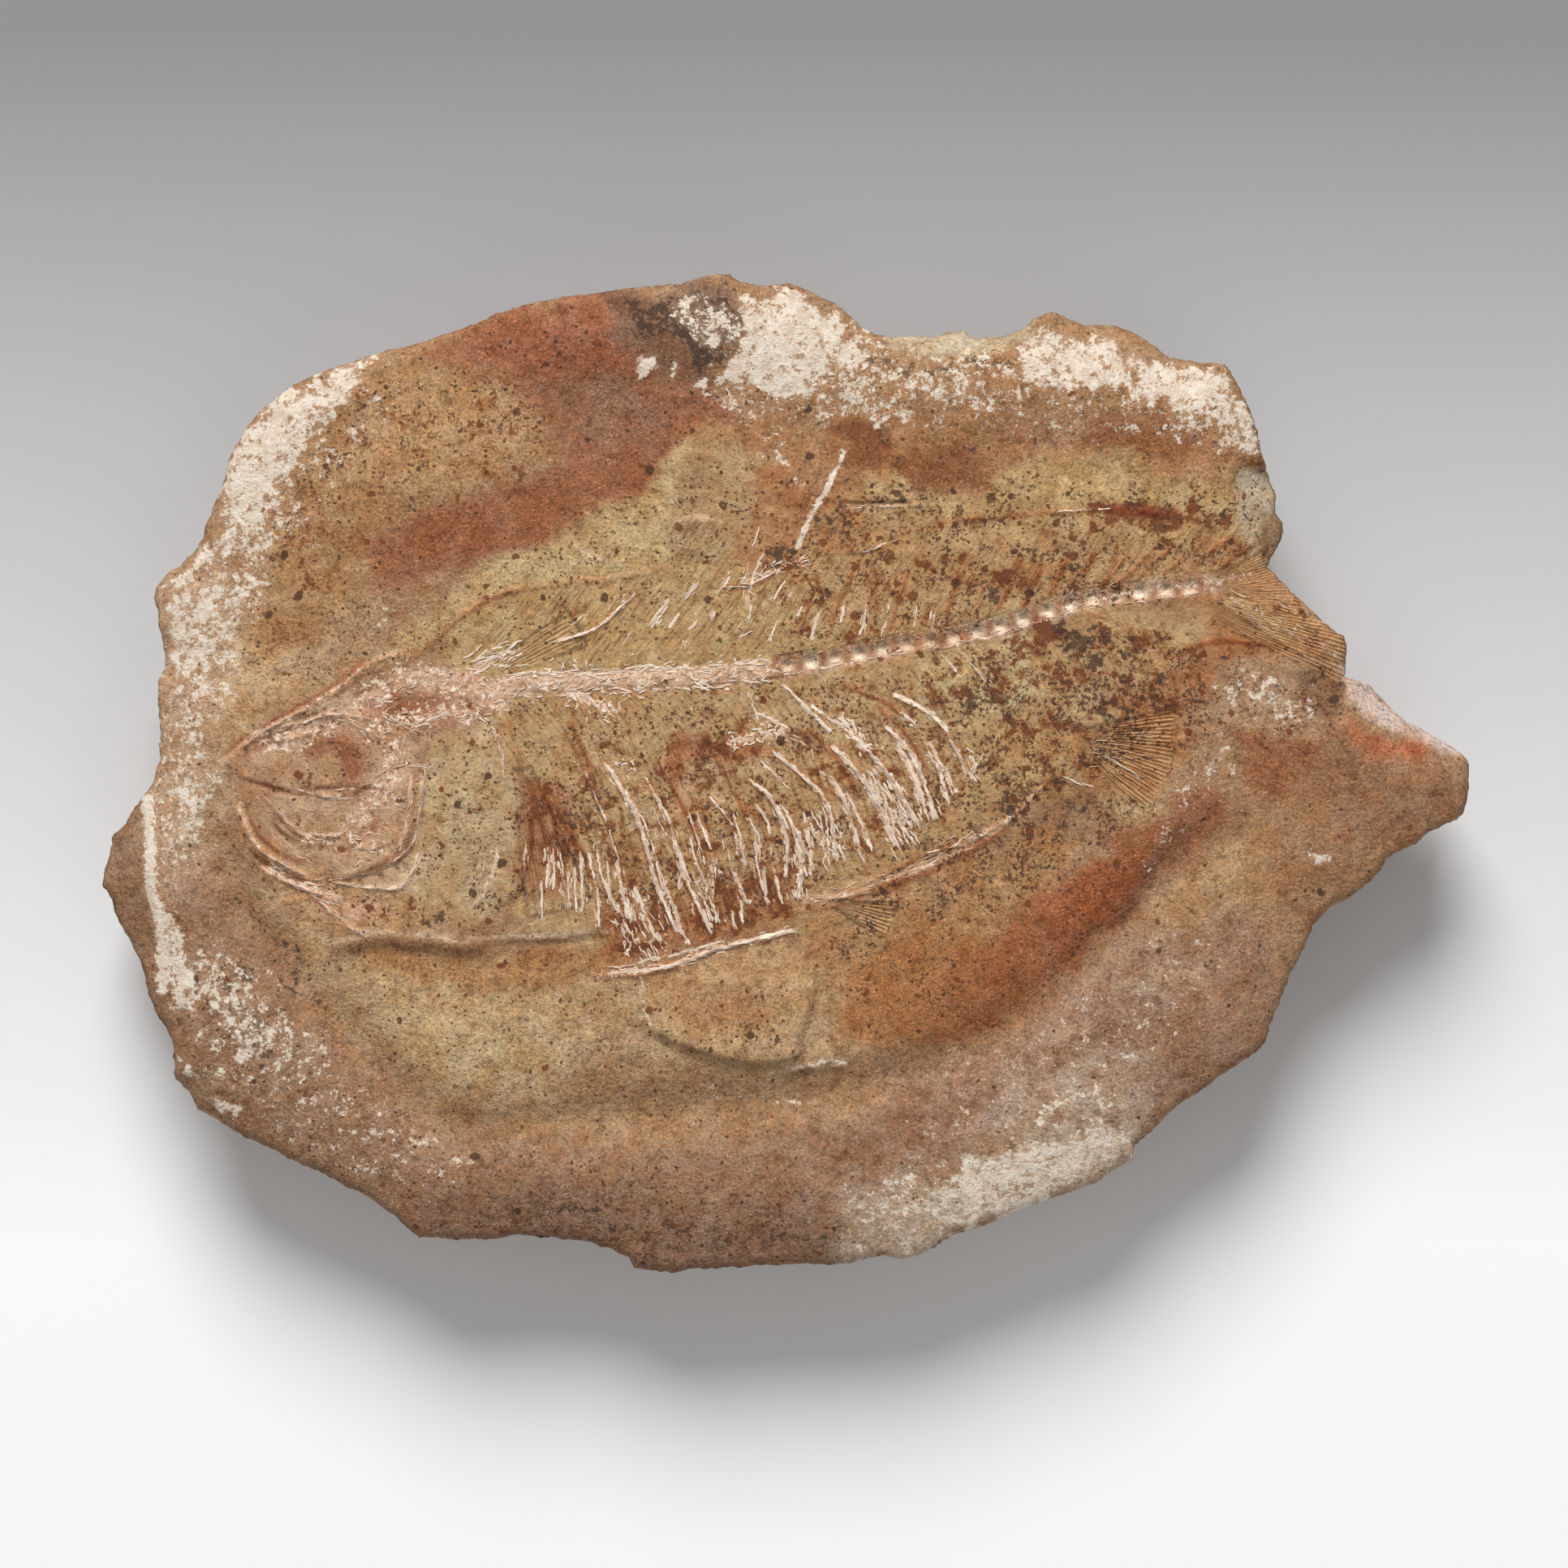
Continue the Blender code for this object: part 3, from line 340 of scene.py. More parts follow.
# Thin pale edges of the skull's bones: splinters, spread, width, pinkness, points
SKULL_EDGES = [
    (22, 0.07, 0.17, 0.3, [(36.7, 97.3), (38.4, 97.8), (40.4, 98.2), (42.6, 98.3)]),
    (9, 0.05, 0.12, 0.6, [(40.6, 97.5), (42.8, 97.2), (44.7, 96.8)]),
    (26, 0.12, 0.16, 0.6, [(30.7, 90.4), (34, 89.6), (37.1, 89.2), (40.1, 87.9)]),
    (20, 0.1, 0.15, 0.7, [(40.1, 87.9), (42.4, 88.2), (43.9, 89.2), (46.5, 90.7)]),
    (24, 0.1, 0.15, 0.8, [(29.6, 92.2), (33, 89.8), (37.4, 87.6)]),
    (30, 0.06, 0.14, 0.5, [(52.4, 94.1), (52.2, 98.4), (51.5, 101.4), (51.1, 103.5)]),
    (20, 0.1, 0.14, 0.8, [(51.1, 103.5), (49.8, 105.2), (45.9, 107.4), (42.6, 108.3)]),
    (26, 0.16, 0.15, 0.6, [(50.6, 96.4), (50.2, 101.4), (49.4, 104.4)]),
    (46, 0.07, 0.15, 0.3, [(40.6, 108.6), (44.6, 109.3), (48.5, 109.4), (50.4, 108),
        (51.4, 106.1)]),
    (16, 0.06, 0.12, 0.8, [(40.4, 108.4), (43.4, 108.2), (46.2, 107.6)]),
    (44, 0.2, 0.2, 0.9, [(30.1, 100.5), (31.2, 103.5), (33.5, 105.9), (37.4, 107.6)]),
    (48, 0.22, 0.16, 0.4, [(32.9, 106.7), (36.1, 108.6), (39.1, 110.3), (41.4, 111.4)]),
    (26, 0.18, 0.15, 0.8, [(39.6, 110.8), (41.8, 113), (44.6, 115)]),
    (24, 0.1, 0.14, 0.9, [(32, 97.6), (34.4, 100.1), (37, 102.6), (39.1, 103.5)]),
    (14, 0.1, 0.14, 0.9, [(33.2, 102.4), (35.4, 104.6), (38, 106.2)]),
    (12, 0.12, 0.15, 0.3, [(38.4, 102.6), (40.4, 103), (43, 102.2)]),
    (18, 0.12, 0.14, 0.6, [(46.2, 95.8), (48, 94.9), (49.6, 94.4), (51.8, 94.4)]),
    (18, 0.08, 0.14, 0.4, [(61.4, 104.9), (60.6, 107.6), (58.4, 111.6)]),
    (12, 0.1, 0.14, 0.6, [(59.8, 105.6), (59.4, 107.8), (57.8, 110.6)]),
    (34, 0.22, 0.18, 0.3, [(50.6, 89.6), (52.6, 88.9), (54.4, 88.1), (56.6, 88.3), (58.6, 87.8),
        (61, 90)]),
    (20, 0.3, 0.16, 0.6, [(47.2, 88.1), (49.4, 89), (51.2, 89.9)]),
    (16, 0.14, 0.15, 0.5, [(61, 90), (61.9, 92.6), (62, 95)]),
]

# Bones that show as buff or rust ridges in the stone: half-width, height, rustiness, points
STONE_BONES = [
    (0.4, 0.3, 0.7, [(72.1, 94.9), (75.2, 102.2), (76.7, 107.7), (77.5, 111.9)]),
    (0.5, 0.35, 0.7, [(74.7, 94.2), (77.9, 99.2), (80.2, 106.1), (81.4, 110.7), (83.4, 114.6)]),
    (0.45, 0.3, 0.6, [(79.5, 95.8), (82.7, 101.7), (83.9, 107.5), (85.5, 110.8), (87.6, 114.8)]),
    (0.4, 0.25, 0.6, [(84.8, 99.9), (86.2, 103.6), (86.8, 106.3)]),
    (0.4, 0.25, 0.6, [(86.3, 98.6), (88, 104.5), (88.2, 111.3)]),
    (0.4, 0.3, 0.5, [(87.3, 98.1), (90.1, 101.5), (91, 106.6), (91.9, 111.1)]),
    (0.4, 0.25, 0.6, [(92.1, 99.4), (94.4, 102.6), (94.4, 107), (95.3, 110)]),
    (0.5, 0.35, 0.6, [(92.3, 96.1), (95.5, 99.3), (97, 103.6), (96.8, 107.8)]),
    (0.5, 0.35, 0.6, [(95.3, 92.6), (99.2, 95.9), (102.1, 99.4), (102.9, 104.6)]),
    (0.45, 0.3, 0.5, [(97.6, 101.4), (98.8, 104), (98.4, 110.4)]),
    (0.45, 0.3, 0.4, [(96.4, 84.4), (99.2, 87), (102.1, 90)]),
    (0.4, 0.25, 0.5, [(100.4, 96.6), (104.2, 98.9), (106.4, 106.1)]),
    (0.55, 0.35, 0.5, [(102.5, 92), (106.2, 95.9), (109, 100.9), (110.3, 103.9)]),
    (0.5, 0.35, 0.5, [(104.9, 90.5), (109.4, 95.2), (112.7, 101.1)]),
    (0.5, 0.35, 0.5, [(109, 89.4), (112.9, 94.1), (115.1, 100.7)]),
    (0.45, 0.3, 0.4, [(110.1, 85.9), (114.6, 88.1), (118.1, 92.8), (120, 96.1)]),
    (0.4, 0.3, 0.4, [(112.6, 90), (115.7, 95), (116.8, 98.9)]),
    (0.4, 0.25, 0.5, [(121.6, 70.6), (120.9, 73.4), (120, 75.9)]),
    (0.4, 0.3, 0.9, [(118, 70.8), (116.9, 74.6), (116.4, 77.4)]),
    (0.45, 0.3, 0.9, [(125.6, 68.6), (124.7, 71.7), (123.2, 74.6)]),
    (0.45, 0.3, 0.9, [(128.2, 69.8), (126.6, 73.6), (126.2, 74.8)]),
    (0.45, 0.3, 0.9, [(131.8, 68.4), (130.4, 71), (129.4, 73.2)]),
    (0.45, 0.3, 0.9, [(134.8, 68.4), (133.4, 70.8), (132.2, 72.6)]),
    (0.4, 0.25, 0.8, [(138.4, 69), (136.8, 71), (135.6, 72.4)]),
    (0.45, 0.3, 0.8, [(141.4, 68.6), (139.6, 70.4), (137.9, 71.8)]),
    (0.45, 0.3, 0.7, [(144.6, 67.4), (142.6, 69), (140.9, 70.9)]),
    (0.45, 0.3, 0.7, [(148.6, 66.6), (146, 68.6), (143.8, 70.4)]),
    (0.45, 0.3, 0.7, [(151.6, 66.2), (148.6, 68.4), (146.2, 70.4)]),
    (0.5, 0.35, 0.3, [(154.8, 66.8), (151.5, 69), (148.6, 71.2)]),
    (0.5, 0.35, 0.3, [(78.4, 72.9), (75.8, 75.5), (72.9, 77.8), (68.9, 79)]),
    (0.4, 0.25, 1, [(65.6, 96.4), (66.4, 100), (67, 104.6)]),
    (0.4, 0.25, 1, [(66.2, 96.8), (68.2, 101), (69.6, 105.4)]),
    (0.45, 0.25, 1, [(67, 97.6), (70.2, 102.4), (72.2, 106)]),
    (0.35, 0.2, 1, [(65.4, 98), (65.6, 102), (65.4, 105.6)]),
    (0.3, 0.15, 0.9, [(70.2, 89), (73, 95.6), (74.6, 100.6)]),
    (0.3, 0.15, 0.9, [(81, 94), (84, 99), (86, 103.6)]),
    (0.3, 0.15, 0.9, [(88, 93), (90.8, 98), (92.2, 101.4)]),
    (0.3, 0.15, 0.9, [(99.6, 90), (103, 93.6), (105.6, 97.6)]),
    (0.3, 0.15, 0.9, [(108, 87), (111.6, 90.6), (114.4, 95)]),
    (0.3, 0.15, 0.9, [(104, 84.5), (109, 86.6), (112, 89)]),
    (0.3, 0.15, 0.8, [(112, 70.6), (110.8, 74), (109.6, 77.6)]),
    (0.3, 0.15, 0.8, [(108.6, 70.4), (107.2, 74), (106, 78)]),
    (0.3, 0.15, 0.8, [(105, 70.4), (103.4, 74.4), (102.2, 78)]),
    (0.3, 0.15, 0.8, [(101, 71), (99.6, 75), (98.6, 78.6)]),
    (0.3, 0.15, 0.6, [(69.7, 74), (68.4, 77.4)]),
    (0.3, 0.15, 0.6, [(71.2, 73.8), (70.6, 75.9)]),
    (0.3, 0.15, 0.2, [(66.5, 77), (63, 79.2)]),
    (0.3, 0.15, 0.2, [(68, 77.2), (65, 79.2)]),
    (0.5, 0.3, 0.7, [(98.6, 110.6), (103.4, 110.6), (108.1, 109.2), (112, 108), (115.3, 107.2)]),
    (0.45, 0.3, 0.5, [(103, 110.4), (108.1, 108.2), (112, 106.3), (116.4, 104.6), (120, 103.3),
        (124.4, 100.8), (128.2, 97.4), (131, 95.4)]),
    (0.4, 0.25, 0.3, [(112, 107.6), (117, 105.8), (121.4, 103.8), (124, 101.4), (127, 99.4)]),
    (0.3, 0.2, 0.1, [(104.2, 111.3), (107.2, 112.3), (109.9, 112.6)]),
    (0.3, 0.2, 0.1, [(104.2, 111.7), (107.4, 112.8), (109.6, 113.4)]),
    (0.3, 0.2, 0.1, [(104, 112.1), (106.8, 113.8), (109.2, 115)]),
    (0.3, 0.15, 0.2, [(98.1, 112.4), (101.2, 111.9), (103.8, 111.4)]),
    (0.5, 0.25, 0.8, [(88.7, 72.4), (93.3, 71.8), (96, 70.2), (99.4, 69.1)]),
    (0.45, 0.25, 0.2, [(101, 68.2), (107.1, 67.8), (110.2, 66.6)]),
    (0.3, 0.18, 0, [(104.4, 62.6), (111.3, 62.4), (118, 62.2)]),
    (0.85, 0.25, 1, [(136.6, 62.8), (140, 62.9), (144.4, 63.4)]),
    (0.4, 0.2, 0.6, [(116, 64.4), (123, 63.8), (130, 63.2), (136.6, 62.7)]),
    (0.4, 0.25, 0.8, [(144.9, 80.9), (147, 79.7), (150.7, 78.9), (156.6, 79.6)]),
    (0.55, 0.35, 0.4, [(73.3, 120.2), (78.9, 120.1), (83.2, 118.9), (88.3, 116.9), (94.5, 115.6),
        (97.5, 114.6)]),
    (0.3, 0.15, 0.3, [(108.3, 84), (113.1, 85.3), (116.4, 86.8), (118.5, 88.7)]),
    (0.3, 0.15, 0.3, [(104.4, 84.4), (108.8, 85.4), (112.6, 86.6)]),
    (0.3, 0.15, 0.4, [(119.6, 79.9), (122, 82), (124.6, 85.4)]),
    (0.3, 0.15, 0.3, [(134, 75.4), (138, 76.8), (141, 78.6)]),
    (0.3, 0.15, 0.3, [(128.6, 77.4), (132.4, 79.6), (135.6, 80.4)]),
]

# Ridges of the skull and the line of the back, in the same form
SKULL = [
    (0.6, 0.55, 0.2, [(27.4, 93.8), (32, 90.5), (36.3, 88.1), (41.9, 84.7), (45.8, 81.6),
        (50.4, 80.1)]),
    (0.5, 0.3, 0.4, [(50.6, 81.1), (53.9, 78.5), (56.9, 75.9), (61.7, 73.1), (68.4, 72),
        (76.2, 71.2), (82.5, 69.8)]),
    (0.3, 0.2, 0.1, [(70.2, 67), (73.4, 68.9), (76.7, 69.1), (78.6, 68.1)]),
    (0.45, 0.35, 0.3, [(31.3, 91), (35.4, 89.6), (40.2, 88.2), (43.9, 88.2), (47.3, 89.1)]),
    (0.3, 0.25, 0.5, [(32.2, 91.6), (36.3, 91), (40, 89.7)]),
    (0.45, 0.4, 0.3, [(27.6, 93.8), (30.4, 96)]),
    (0.45, 0.35, 0.3, [(32.2, 97.9), (34.8, 100.9), (38, 103.6), (39.6, 104.2)]),
    (0.3, 0.25, 0.4, [(32.2, 100.1), (35.8, 102.9), (39.1, 104.6)]),
    (0.6, 0.55, 0.2, [(29.4, 99.4), (31.1, 103.5), (34.3, 106.1), (37.8, 107.9)]),
    (0.35, 0.3, 0.2, [(30.2, 97.2), (30.6, 100), (32.6, 103.4), (36.8, 106.2)]),
    (0.5, 0.4, 0.2, [(32.4, 106.9), (36.3, 109), (41.7, 110.8)]),
    (0.5, 0.45, 0.1, [(38.6, 110.2), (40.6, 112.2), (42.8, 114.1), (45.2, 115.2)]),
    (0.4, 0.35, 0.3, [(38, 96.8), (40.2, 98.1), (44.1, 97.4), (44.9, 95.3), (43.8, 93)]),
    (0.25, 0.2, 0.4, [(37.4, 93.4), (38.6, 91.8), (41, 91.2), (43.4, 91.8)]),
    (0.4, 0.35, 0.1, [(50.8, 95.8), (50.4, 100.9), (49.7, 103.6), (47.4, 105.8)]),
    (0.3, 0.3, 0.1, [(52.3, 95.4), (51.9, 100.5), (51, 103.8), (48.4, 106.4), (44.4, 107.9)]),
    (0.4, 0.35, 0.1, [(40.8, 108.6), (43.4, 109), (46.3, 109.4), (49.6, 109.3), (51.6, 106.1)]),
    (0.4, 0.3, 0.3, [(38.4, 102.7), (41.1, 103.1), (42.4, 102.5)]),
    (0.3, 0.25, 0.3, [(42.6, 103.6), (45.6, 104.6), (48.8, 103.6)]),
    (0.35, 0.3, 0.1, [(61.5, 105.9), (60.1, 109.5), (58.4, 111.7)]),
    (0.3, 0.25, 0.5, [(60.4, 87), (63, 90.6), (64.4, 96), (65, 102)]),
]

# Grooves, as half-width, depth and points
GROOVES = [
    (0.55, 0.45, [(33.4, 90.9), (38, 88.5), (43.4, 86), (46.6, 84.8)]),
    (0.45, 0.45, [(30.6, 96.2), (34.1, 97.2), (36.6, 97.9)]),
    (0.55, 0.5, [(32.2, 99.6), (34.6, 102.6), (37.2, 105.2)]),
    (0.6, 0.5, [(31.3, 105.4), (34.1, 107.5), (37.1, 108.6)]),
    (0.3, 0.3, [(38.9, 97.2), (43.4, 97), (47.8, 97.4)]),
    (0.25, 0.3, [(104.4, 61.9), (109, 61.9), (113, 61.8)]),
    (0.3, 0.2, [(99.4, 116.4), (99.8, 121.2)]),
]

BACKBONE = [
    (95.6, 82.1), (99.4, 81.5), (104.8, 80.6), (110.2, 79.5), (114.7, 78.9), (118.6, 78.1),
    (122.5, 77.2), (126.2, 76.1), (130.4, 74.7), (134.5, 73.7), (137.8, 73.2), (141.6, 72.8),
    (145.7, 72.4), (149, 71.8),
]
NECK_BACKBONE = [
    (62, 84.5), (66, 83.8), (73, 83.8), (80.3, 83.4), (88, 83), (94, 82.4),
]

# Fin rays: root, first tip, last tip, count, half-width, height, where the rays start
FANS = [
    ((147.8, 72.8), (163.4, 76.8), (164.6, 82.9), 15, 0.2, 0.26, 0.2),
    ((149.6, 72.4), (157, 71.6), (162.6, 76.2), 8, 0.2, 0.22, 0.35),
    ((131.6, 91), (144.4, 88.6), (139.4, 98), 13, 0.2, 0.24, 0.3),
]

# Where the finest relief is
FISH = [
    (25, 93), (32, 86), (46, 77), (58, 70), (82, 64), (104, 58), (136, 58), (158, 62), (160, 72),
    (168, 80), (166, 86), (146, 88), (146, 99), (128, 104), (112, 117), (100, 123), (72, 122),
    (42, 119), (27, 106),
]

# Floor, light and camera: the slab's sizes in millimetres, the lights' watts and places in metres
FRAME_MM = 193.2             # width of the picture at the face
PICTURE_MIDDLE = (96.6, 96.6)    # on the sheet
LENS = 100.0
SENSOR = 36.0
FLOOR_HALF = 3000
FLOOR_LEVEL = -0.02
KEY_LIGHT = (25.0, (-0.16, 1.10, 0.95))
FILL_LIGHT = (1.0, (0.25, -0.55, 0.60))
LIGHT_SIZE = 0.80
ROOM_LIGHT = 0.27


def slab_point(x, y):
    """A point of the sheet as a point of the slab, in millimetres."""
    return x - SHEET_MIDDLE[0], SHEET_MIDDLE[1] - y


def slab_line(points):
    return np.array([slab_point(x, y) for x, y in points], dtype=float)


def shifted(points, drop):
    """The same points, lower on the sheet."""
    return [(x, y + drop) for x, y in points]


def smooth(line, step):
    """Points about one step apart on a Catmull-Rom curve through the line's points."""
    knots = np.concatenate([line[:1], line, line[-1:]])
    curve = []
    for a, b, c, d in zip(knots, knots[1:], knots[2:], knots[3:]):
        count = max(1, round(float(np.linalg.norm(c - b)) / step))
        for t in np.arange(count) / count:
            curve.append(0.5 * (2 * b + (c - a) * t + (2 * a - 5 * b + 4 * c - d) * t ** 2
                                + (3 * b - a - 3 * c + d) * t ** 3))
    curve.append(knots[-1])
    return np.array(curve)


def sideways(line, gap):
    """The line moved sideways by a gap, to its left where the gap is above 0."""
    run = np.gradient(line, axis=0)
    run /= np.linalg.norm(run, axis=1)[:, None]
    return line + gap * np.column_stack([-run[:, 1], run[:, 0]])


def measure(spots, line):
    """Each spot's distance to the line, its side (1 on the left) and its way along, 0 to 1."""
    nearest = np.full(len(spots), np.inf)
    side = np.ones(len(spots))
    along = np.zeros(len(spots))
    lengths = np.linalg.norm(np.diff(line, axis=0), axis=1)
    starts = np.concatenate([[0.0], np.cumsum(lengths)])
    for start, length, a, b in zip(starts, lengths, line, line[1:]):
        run = b - a
        reach = spots - a
        t = np.clip(reach @ run / (run @ run), 0, 1)
        gap = reach - t[:, None] * run
        distance = np.hypot(gap[:, 0], gap[:, 1])
        closer = distance < nearest
        nearest[closer] = distance[closer]
        side[closer] = np.sign(run[0] * reach[closer, 1] - run[1] * reach[closer, 0])
        along[closer] = (start + t[closer] * length) / starts[-1]
    return nearest, side, along


def edge_distance(spots):
    """Each spot's distance to the slab's outline."""
    return measure(spots, slab_line(OUTLINE + OUTLINE[:1]))[0]


def near(spots, line, reach):
    """Which spots lie in the line's box, grown by a reach."""
    low = line.min(axis=0) - reach
    high = line.max(axis=0) + reach
    return np.nonzero(((spots > low) & (spots < high)).all(axis=1))[0]


def ease(value):
    """0 below 0, 1 above 1, and a smooth step between."""
    value = np.clip(value, 0, 1)
    return value * value * (3 - 2 * value)


def ends(along, share=TAPER):
    """1 along the middle of a line, easing to 0 at both ends."""
    return ease(np.minimum(along, 1 - along) / share)


def clouds(spots, size, seed):
    """Gentle unevenness between -1 and 1, with lumps of about the given size."""
    return np.array([noise.noise(Vector((x / size, y / size, seed))) for x, y in spots])


def solid_clouds(spots, size, seed):
    """The same for points with a height."""
    return np.array([noise.noise(Vector((x / size + seed, y / size, z / size)))
                     for x, y, z in spots])


def fan_rays():
    """The rays of each fin: half-width, height, rust and points."""
    rays = []
    for root, first, last, count, half_width, height, start_share in FANS:
        for share in np.linspace(0, 1, count):
            tip = np.array(first) + (np.array(last) - np.array(first)) * share
            start = np.array(root) + (tip - np.array(root)) * start_share
            bow = (start + tip) / 2 + np.array([0.0, -0.25 + 0.5 * share])
            rays.append((half_width, height, 0.3, [tuple(start), tuple(bow), tuple(tip)]))
    return rays


def cups(line, first=0.5):
    """The middles of the vertebrae along a line."""
    fine = smooth(slab_line(line), 0.1)
    travelled = np.concatenate([[0], np.cumsum(np.linalg.norm(np.diff(fine, axis=0), axis=1))])
    places = np.arange(first * VERTEBRA_PITCH, travelled[-1], VERTEBRA_PITCH)
    return np.column_stack([np.interp(places, travelled, fine[:, axis]) for axis in (0, 1)])


def round_spots(spots, middles, radius):
    """A soft bump of height 1 around each middle, the highest one at each spot."""
    best = np.zeros(len(spots))
    for middle in middles:
        gap = np.linalg.norm(spots - middle, axis=1) / radius
        best = np.maximum(best, np.exp(-1.5 * gap ** 2))
    return best


def swell(spots, x, y, long, short, turn, height):
    """A broad bump with an oval plan."""
    rel = spots - np.array(slab_point(x, y))
    angle = math.radians(turn)
    u = rel[:, 0] * math.cos(angle) + rel[:, 1] * math.sin(angle)
    v = rel[:, 1] * math.cos(angle) - rel[:, 0] * math.sin(angle)
    return height * np.exp(-(u / long) ** 2 - (v / short) ** 2)


def raised_lines(spots, bones):
    """The highest of the bones' round crests at each spot."""
    best = np.zeros(len(spots))
    for half_width, height, points in bones:
        line = smooth(slab_line(points), LINE_STEP)
        close = near(spots, line, half_width)
        distance, _, along = measure(spots[close], line)
        crest = ease(1 - distance / half_width)
        best[close] = np.maximum(best[close], height * crest * (0.35 + 0.65 * ends(along)))
    worn = best > 0
    best[worn] *= np.clip(0.85 + 1.3 * clouds(spots[worn], 1.1, 61.0), 0.15, 1.4)
    return best


def face_height(spots):
    """Height of the fish face over the resting facet, in millimetres."""
    inward = edge_distance(spots)
    height = FACE_LEVEL + 0.55 * clouds(spots, 34, 3.1) + 0.22 * clouds(spots, 9, 7.7)
    height += 0.12 * clouds(spots, 3.1, 1.9) + 0.06 * clouds(spots, 1.2, 4.4)
    height -= 1.3 * np.exp(-(inward / 4.0) ** 2)
    height -= FRONT_BEVEL_DROP * np.clip(1 - inward / FRONT_BEVEL_WIDTH, 0, 1) ** 1.5
    for depth, spread, points in VALLEYS:
        distance, _, along = measure(spots, smooth(slab_line(points), 3))
        height -= depth * np.exp(-(distance / spread) ** 2) * ends(along, 0.1)
    for row in SWELLS:
        height += swell(spots, *row)
    for rise, fall, fade, points in LEDGES:
        line = smooth(slab_line(points), LINE_STEP)
        distance, side, along = measure(spots, line)
        high = np.exp(-distance / fade)
        low = ease(1 - distance / fall)
        height += rise * np.where(side >= 0, high, low) * ends(along)
    for slope, deepest, points in CHIPS:
        distance, side, along = measure(spots, smooth(slab_line(points), LINE_STEP))
        height -= np.where(side < 0, np.minimum(slope * distance, deepest), 0) * ends(along, 0.12)
    distance, _, along = measure(spots, smooth(slab_line(BACKBONE), LINE_STEP))
    trough = ease(1 - distance / TROUGH_HALF_WIDTH)
    height -= TROUGH_DEPTH * trough * ends(along, 0.08)
    height -= CUP_DEPTH * round_spots(spots, cups(BACKBONE), CUP_RADIUS)
    height += BEAD_HEIGHT * 0.6 * round_spots(spots, cups(NECK_BACKBONE), BEAD_RADIUS)
    ridges = [(width, rise, points) for width, rise, _, points in STONE_BONES + SKULL + fan_rays()]
    height += raised_lines(spots, ridges)
    height -= raised_lines(spots, GROOVES)
    return height


def back_height(spots):
    """Height of the broken back: flat in the middle, rising to the wall."""
    inward = edge_distance(spots)
    wander = 6.0 * clouds(spots, 26, 11.3) + 2.5 * clouds(spots, 10, 5.9)
    rise = np.clip(1 - (inward + wander * ease(inward / 8)) / BACK_RISE_WIDTH, 0, 1)
    height = (BACK_EDGE_LEVEL + BACK_EDGE_WANDER * clouds(spots, 17, 21.7)) * rise ** 1.5
    rough = 0.5 * clouds(spots, 5.0, 2.2) + 0.3 * clouds(spots, 2.0, 8.8)
    height += rough * ease(height / 2.0)
    pits = 0.5 + 0.5 * clouds(spots, 3.0, 33.0)
    flat = height < REST_LEVEL
    height[flat] = 0.35 * ease((pits[flat] - 0.62) / 0.2)
    return np.maximum(height, 0.0)


def inside(spots, ring):
    """Whether each spot lies within a closed ring."""
    hits = np.zeros(len(spots), dtype=bool)
    for (ax, ay), (bx, by) in zip(ring, np.roll(ring, -1, axis=0)):
        if ay == by:
            continue
        across = (ay > spots[:, 1]) != (by > spots[:, 1])
        hits ^= across & (spots[:, 0] < (bx - ax) * (spots[:, 1] - ay) / (by - ay) + ax)
    return hits


def edge_ring():
    """The silhouette anticlockwise from above, with the small breaks along its sides."""
    ring = slab_line(OUTLINE)[::-1]
    spots = []
    travelled = 0.0
    for a, b in zip(ring, np.roll(ring, -1, axis=0)):
        run = b - a
        length = float(np.linalg.norm(run))
        inwards = np.array([-run[1], run[0]]) / length
        parts = max(1, round(length / EDGE_STEP))
        for i in range(parts):
            way = travelled + length * i / parts
            coarse = 0.5 + 0.5 * noise.noise(Vector((way / 1.9, 0.3, 1.7)))
            fine = 0.5 + 0.5 * noise.noise(Vector((way / 0.7, 4.1, 0.9)))
            spots.append(a + run * i / parts + inwards * (0.36 * coarse + 0.40 * fine - 0.38))
        travelled += length
    low = np.array(CAD_BOX[0][:2]) / MM
    high = np.array(CAD_BOX[1][:2]) / MM
    return np.clip(np.array(spots), low, high)


def ring_inwards(ring, reach):
    """The inward direction at each point of a ring, averaged over a reach of points."""
    run = np.roll(ring, -reach, axis=0) - np.roll(ring, reach, axis=0)
    run /= np.linalg.norm(run, axis=1)[:, None]
    return np.column_stack([-run[:, 1], run[:, 0]])


def field(ring, pitch, margin, seed, within=None, outside=None):
    """A loosely spaced field of points inside a ring, clear of its edge."""
    rng = np.random.default_rng(seed)
    low = ring.min(axis=0)
    high = ring.max(axis=0)
    xs = np.arange(low[0], high[0], pitch)
    ys = np.arange(low[1], high[1], pitch * 0.866)
    spots = np.array([(x + pitch / 2 * (row % 2), y) for row, y in enumerate(ys) for x in xs])
    spots += rng.uniform(-pitch / 4, pitch / 4, spots.shape)
    spots = spots[inside(spots, ring)]
    spots = spots[edge_distance(spots) > margin]
    if within is not None:
        spots = spots[inside(spots, within)]
    if outside is not None:
        spots = spots[~inside(spots, outside)]
    return spots


def triangulate(ring, sites, links):
    """Triangles inside the ring whose edges follow the links."""
    count = len(ring)
    spots = [Vector(point) for point in ring] + [Vector(point) for point in sites]
    edges = [(a + count, b + count) for a, b in links]
    result = delaunay_2d_cdt(spots, edges, [list(range(count))], 1, MERGE)
    found = np.array([tuple(v) for v in result[0]])
    border = {}
    for index, sources in enumerate(result[3]):
        for source in sources:
            if source < count:
                border[source] = index
    return found, np.array([list(face) for face in result[2]]), [border[i] for i in range(count)]


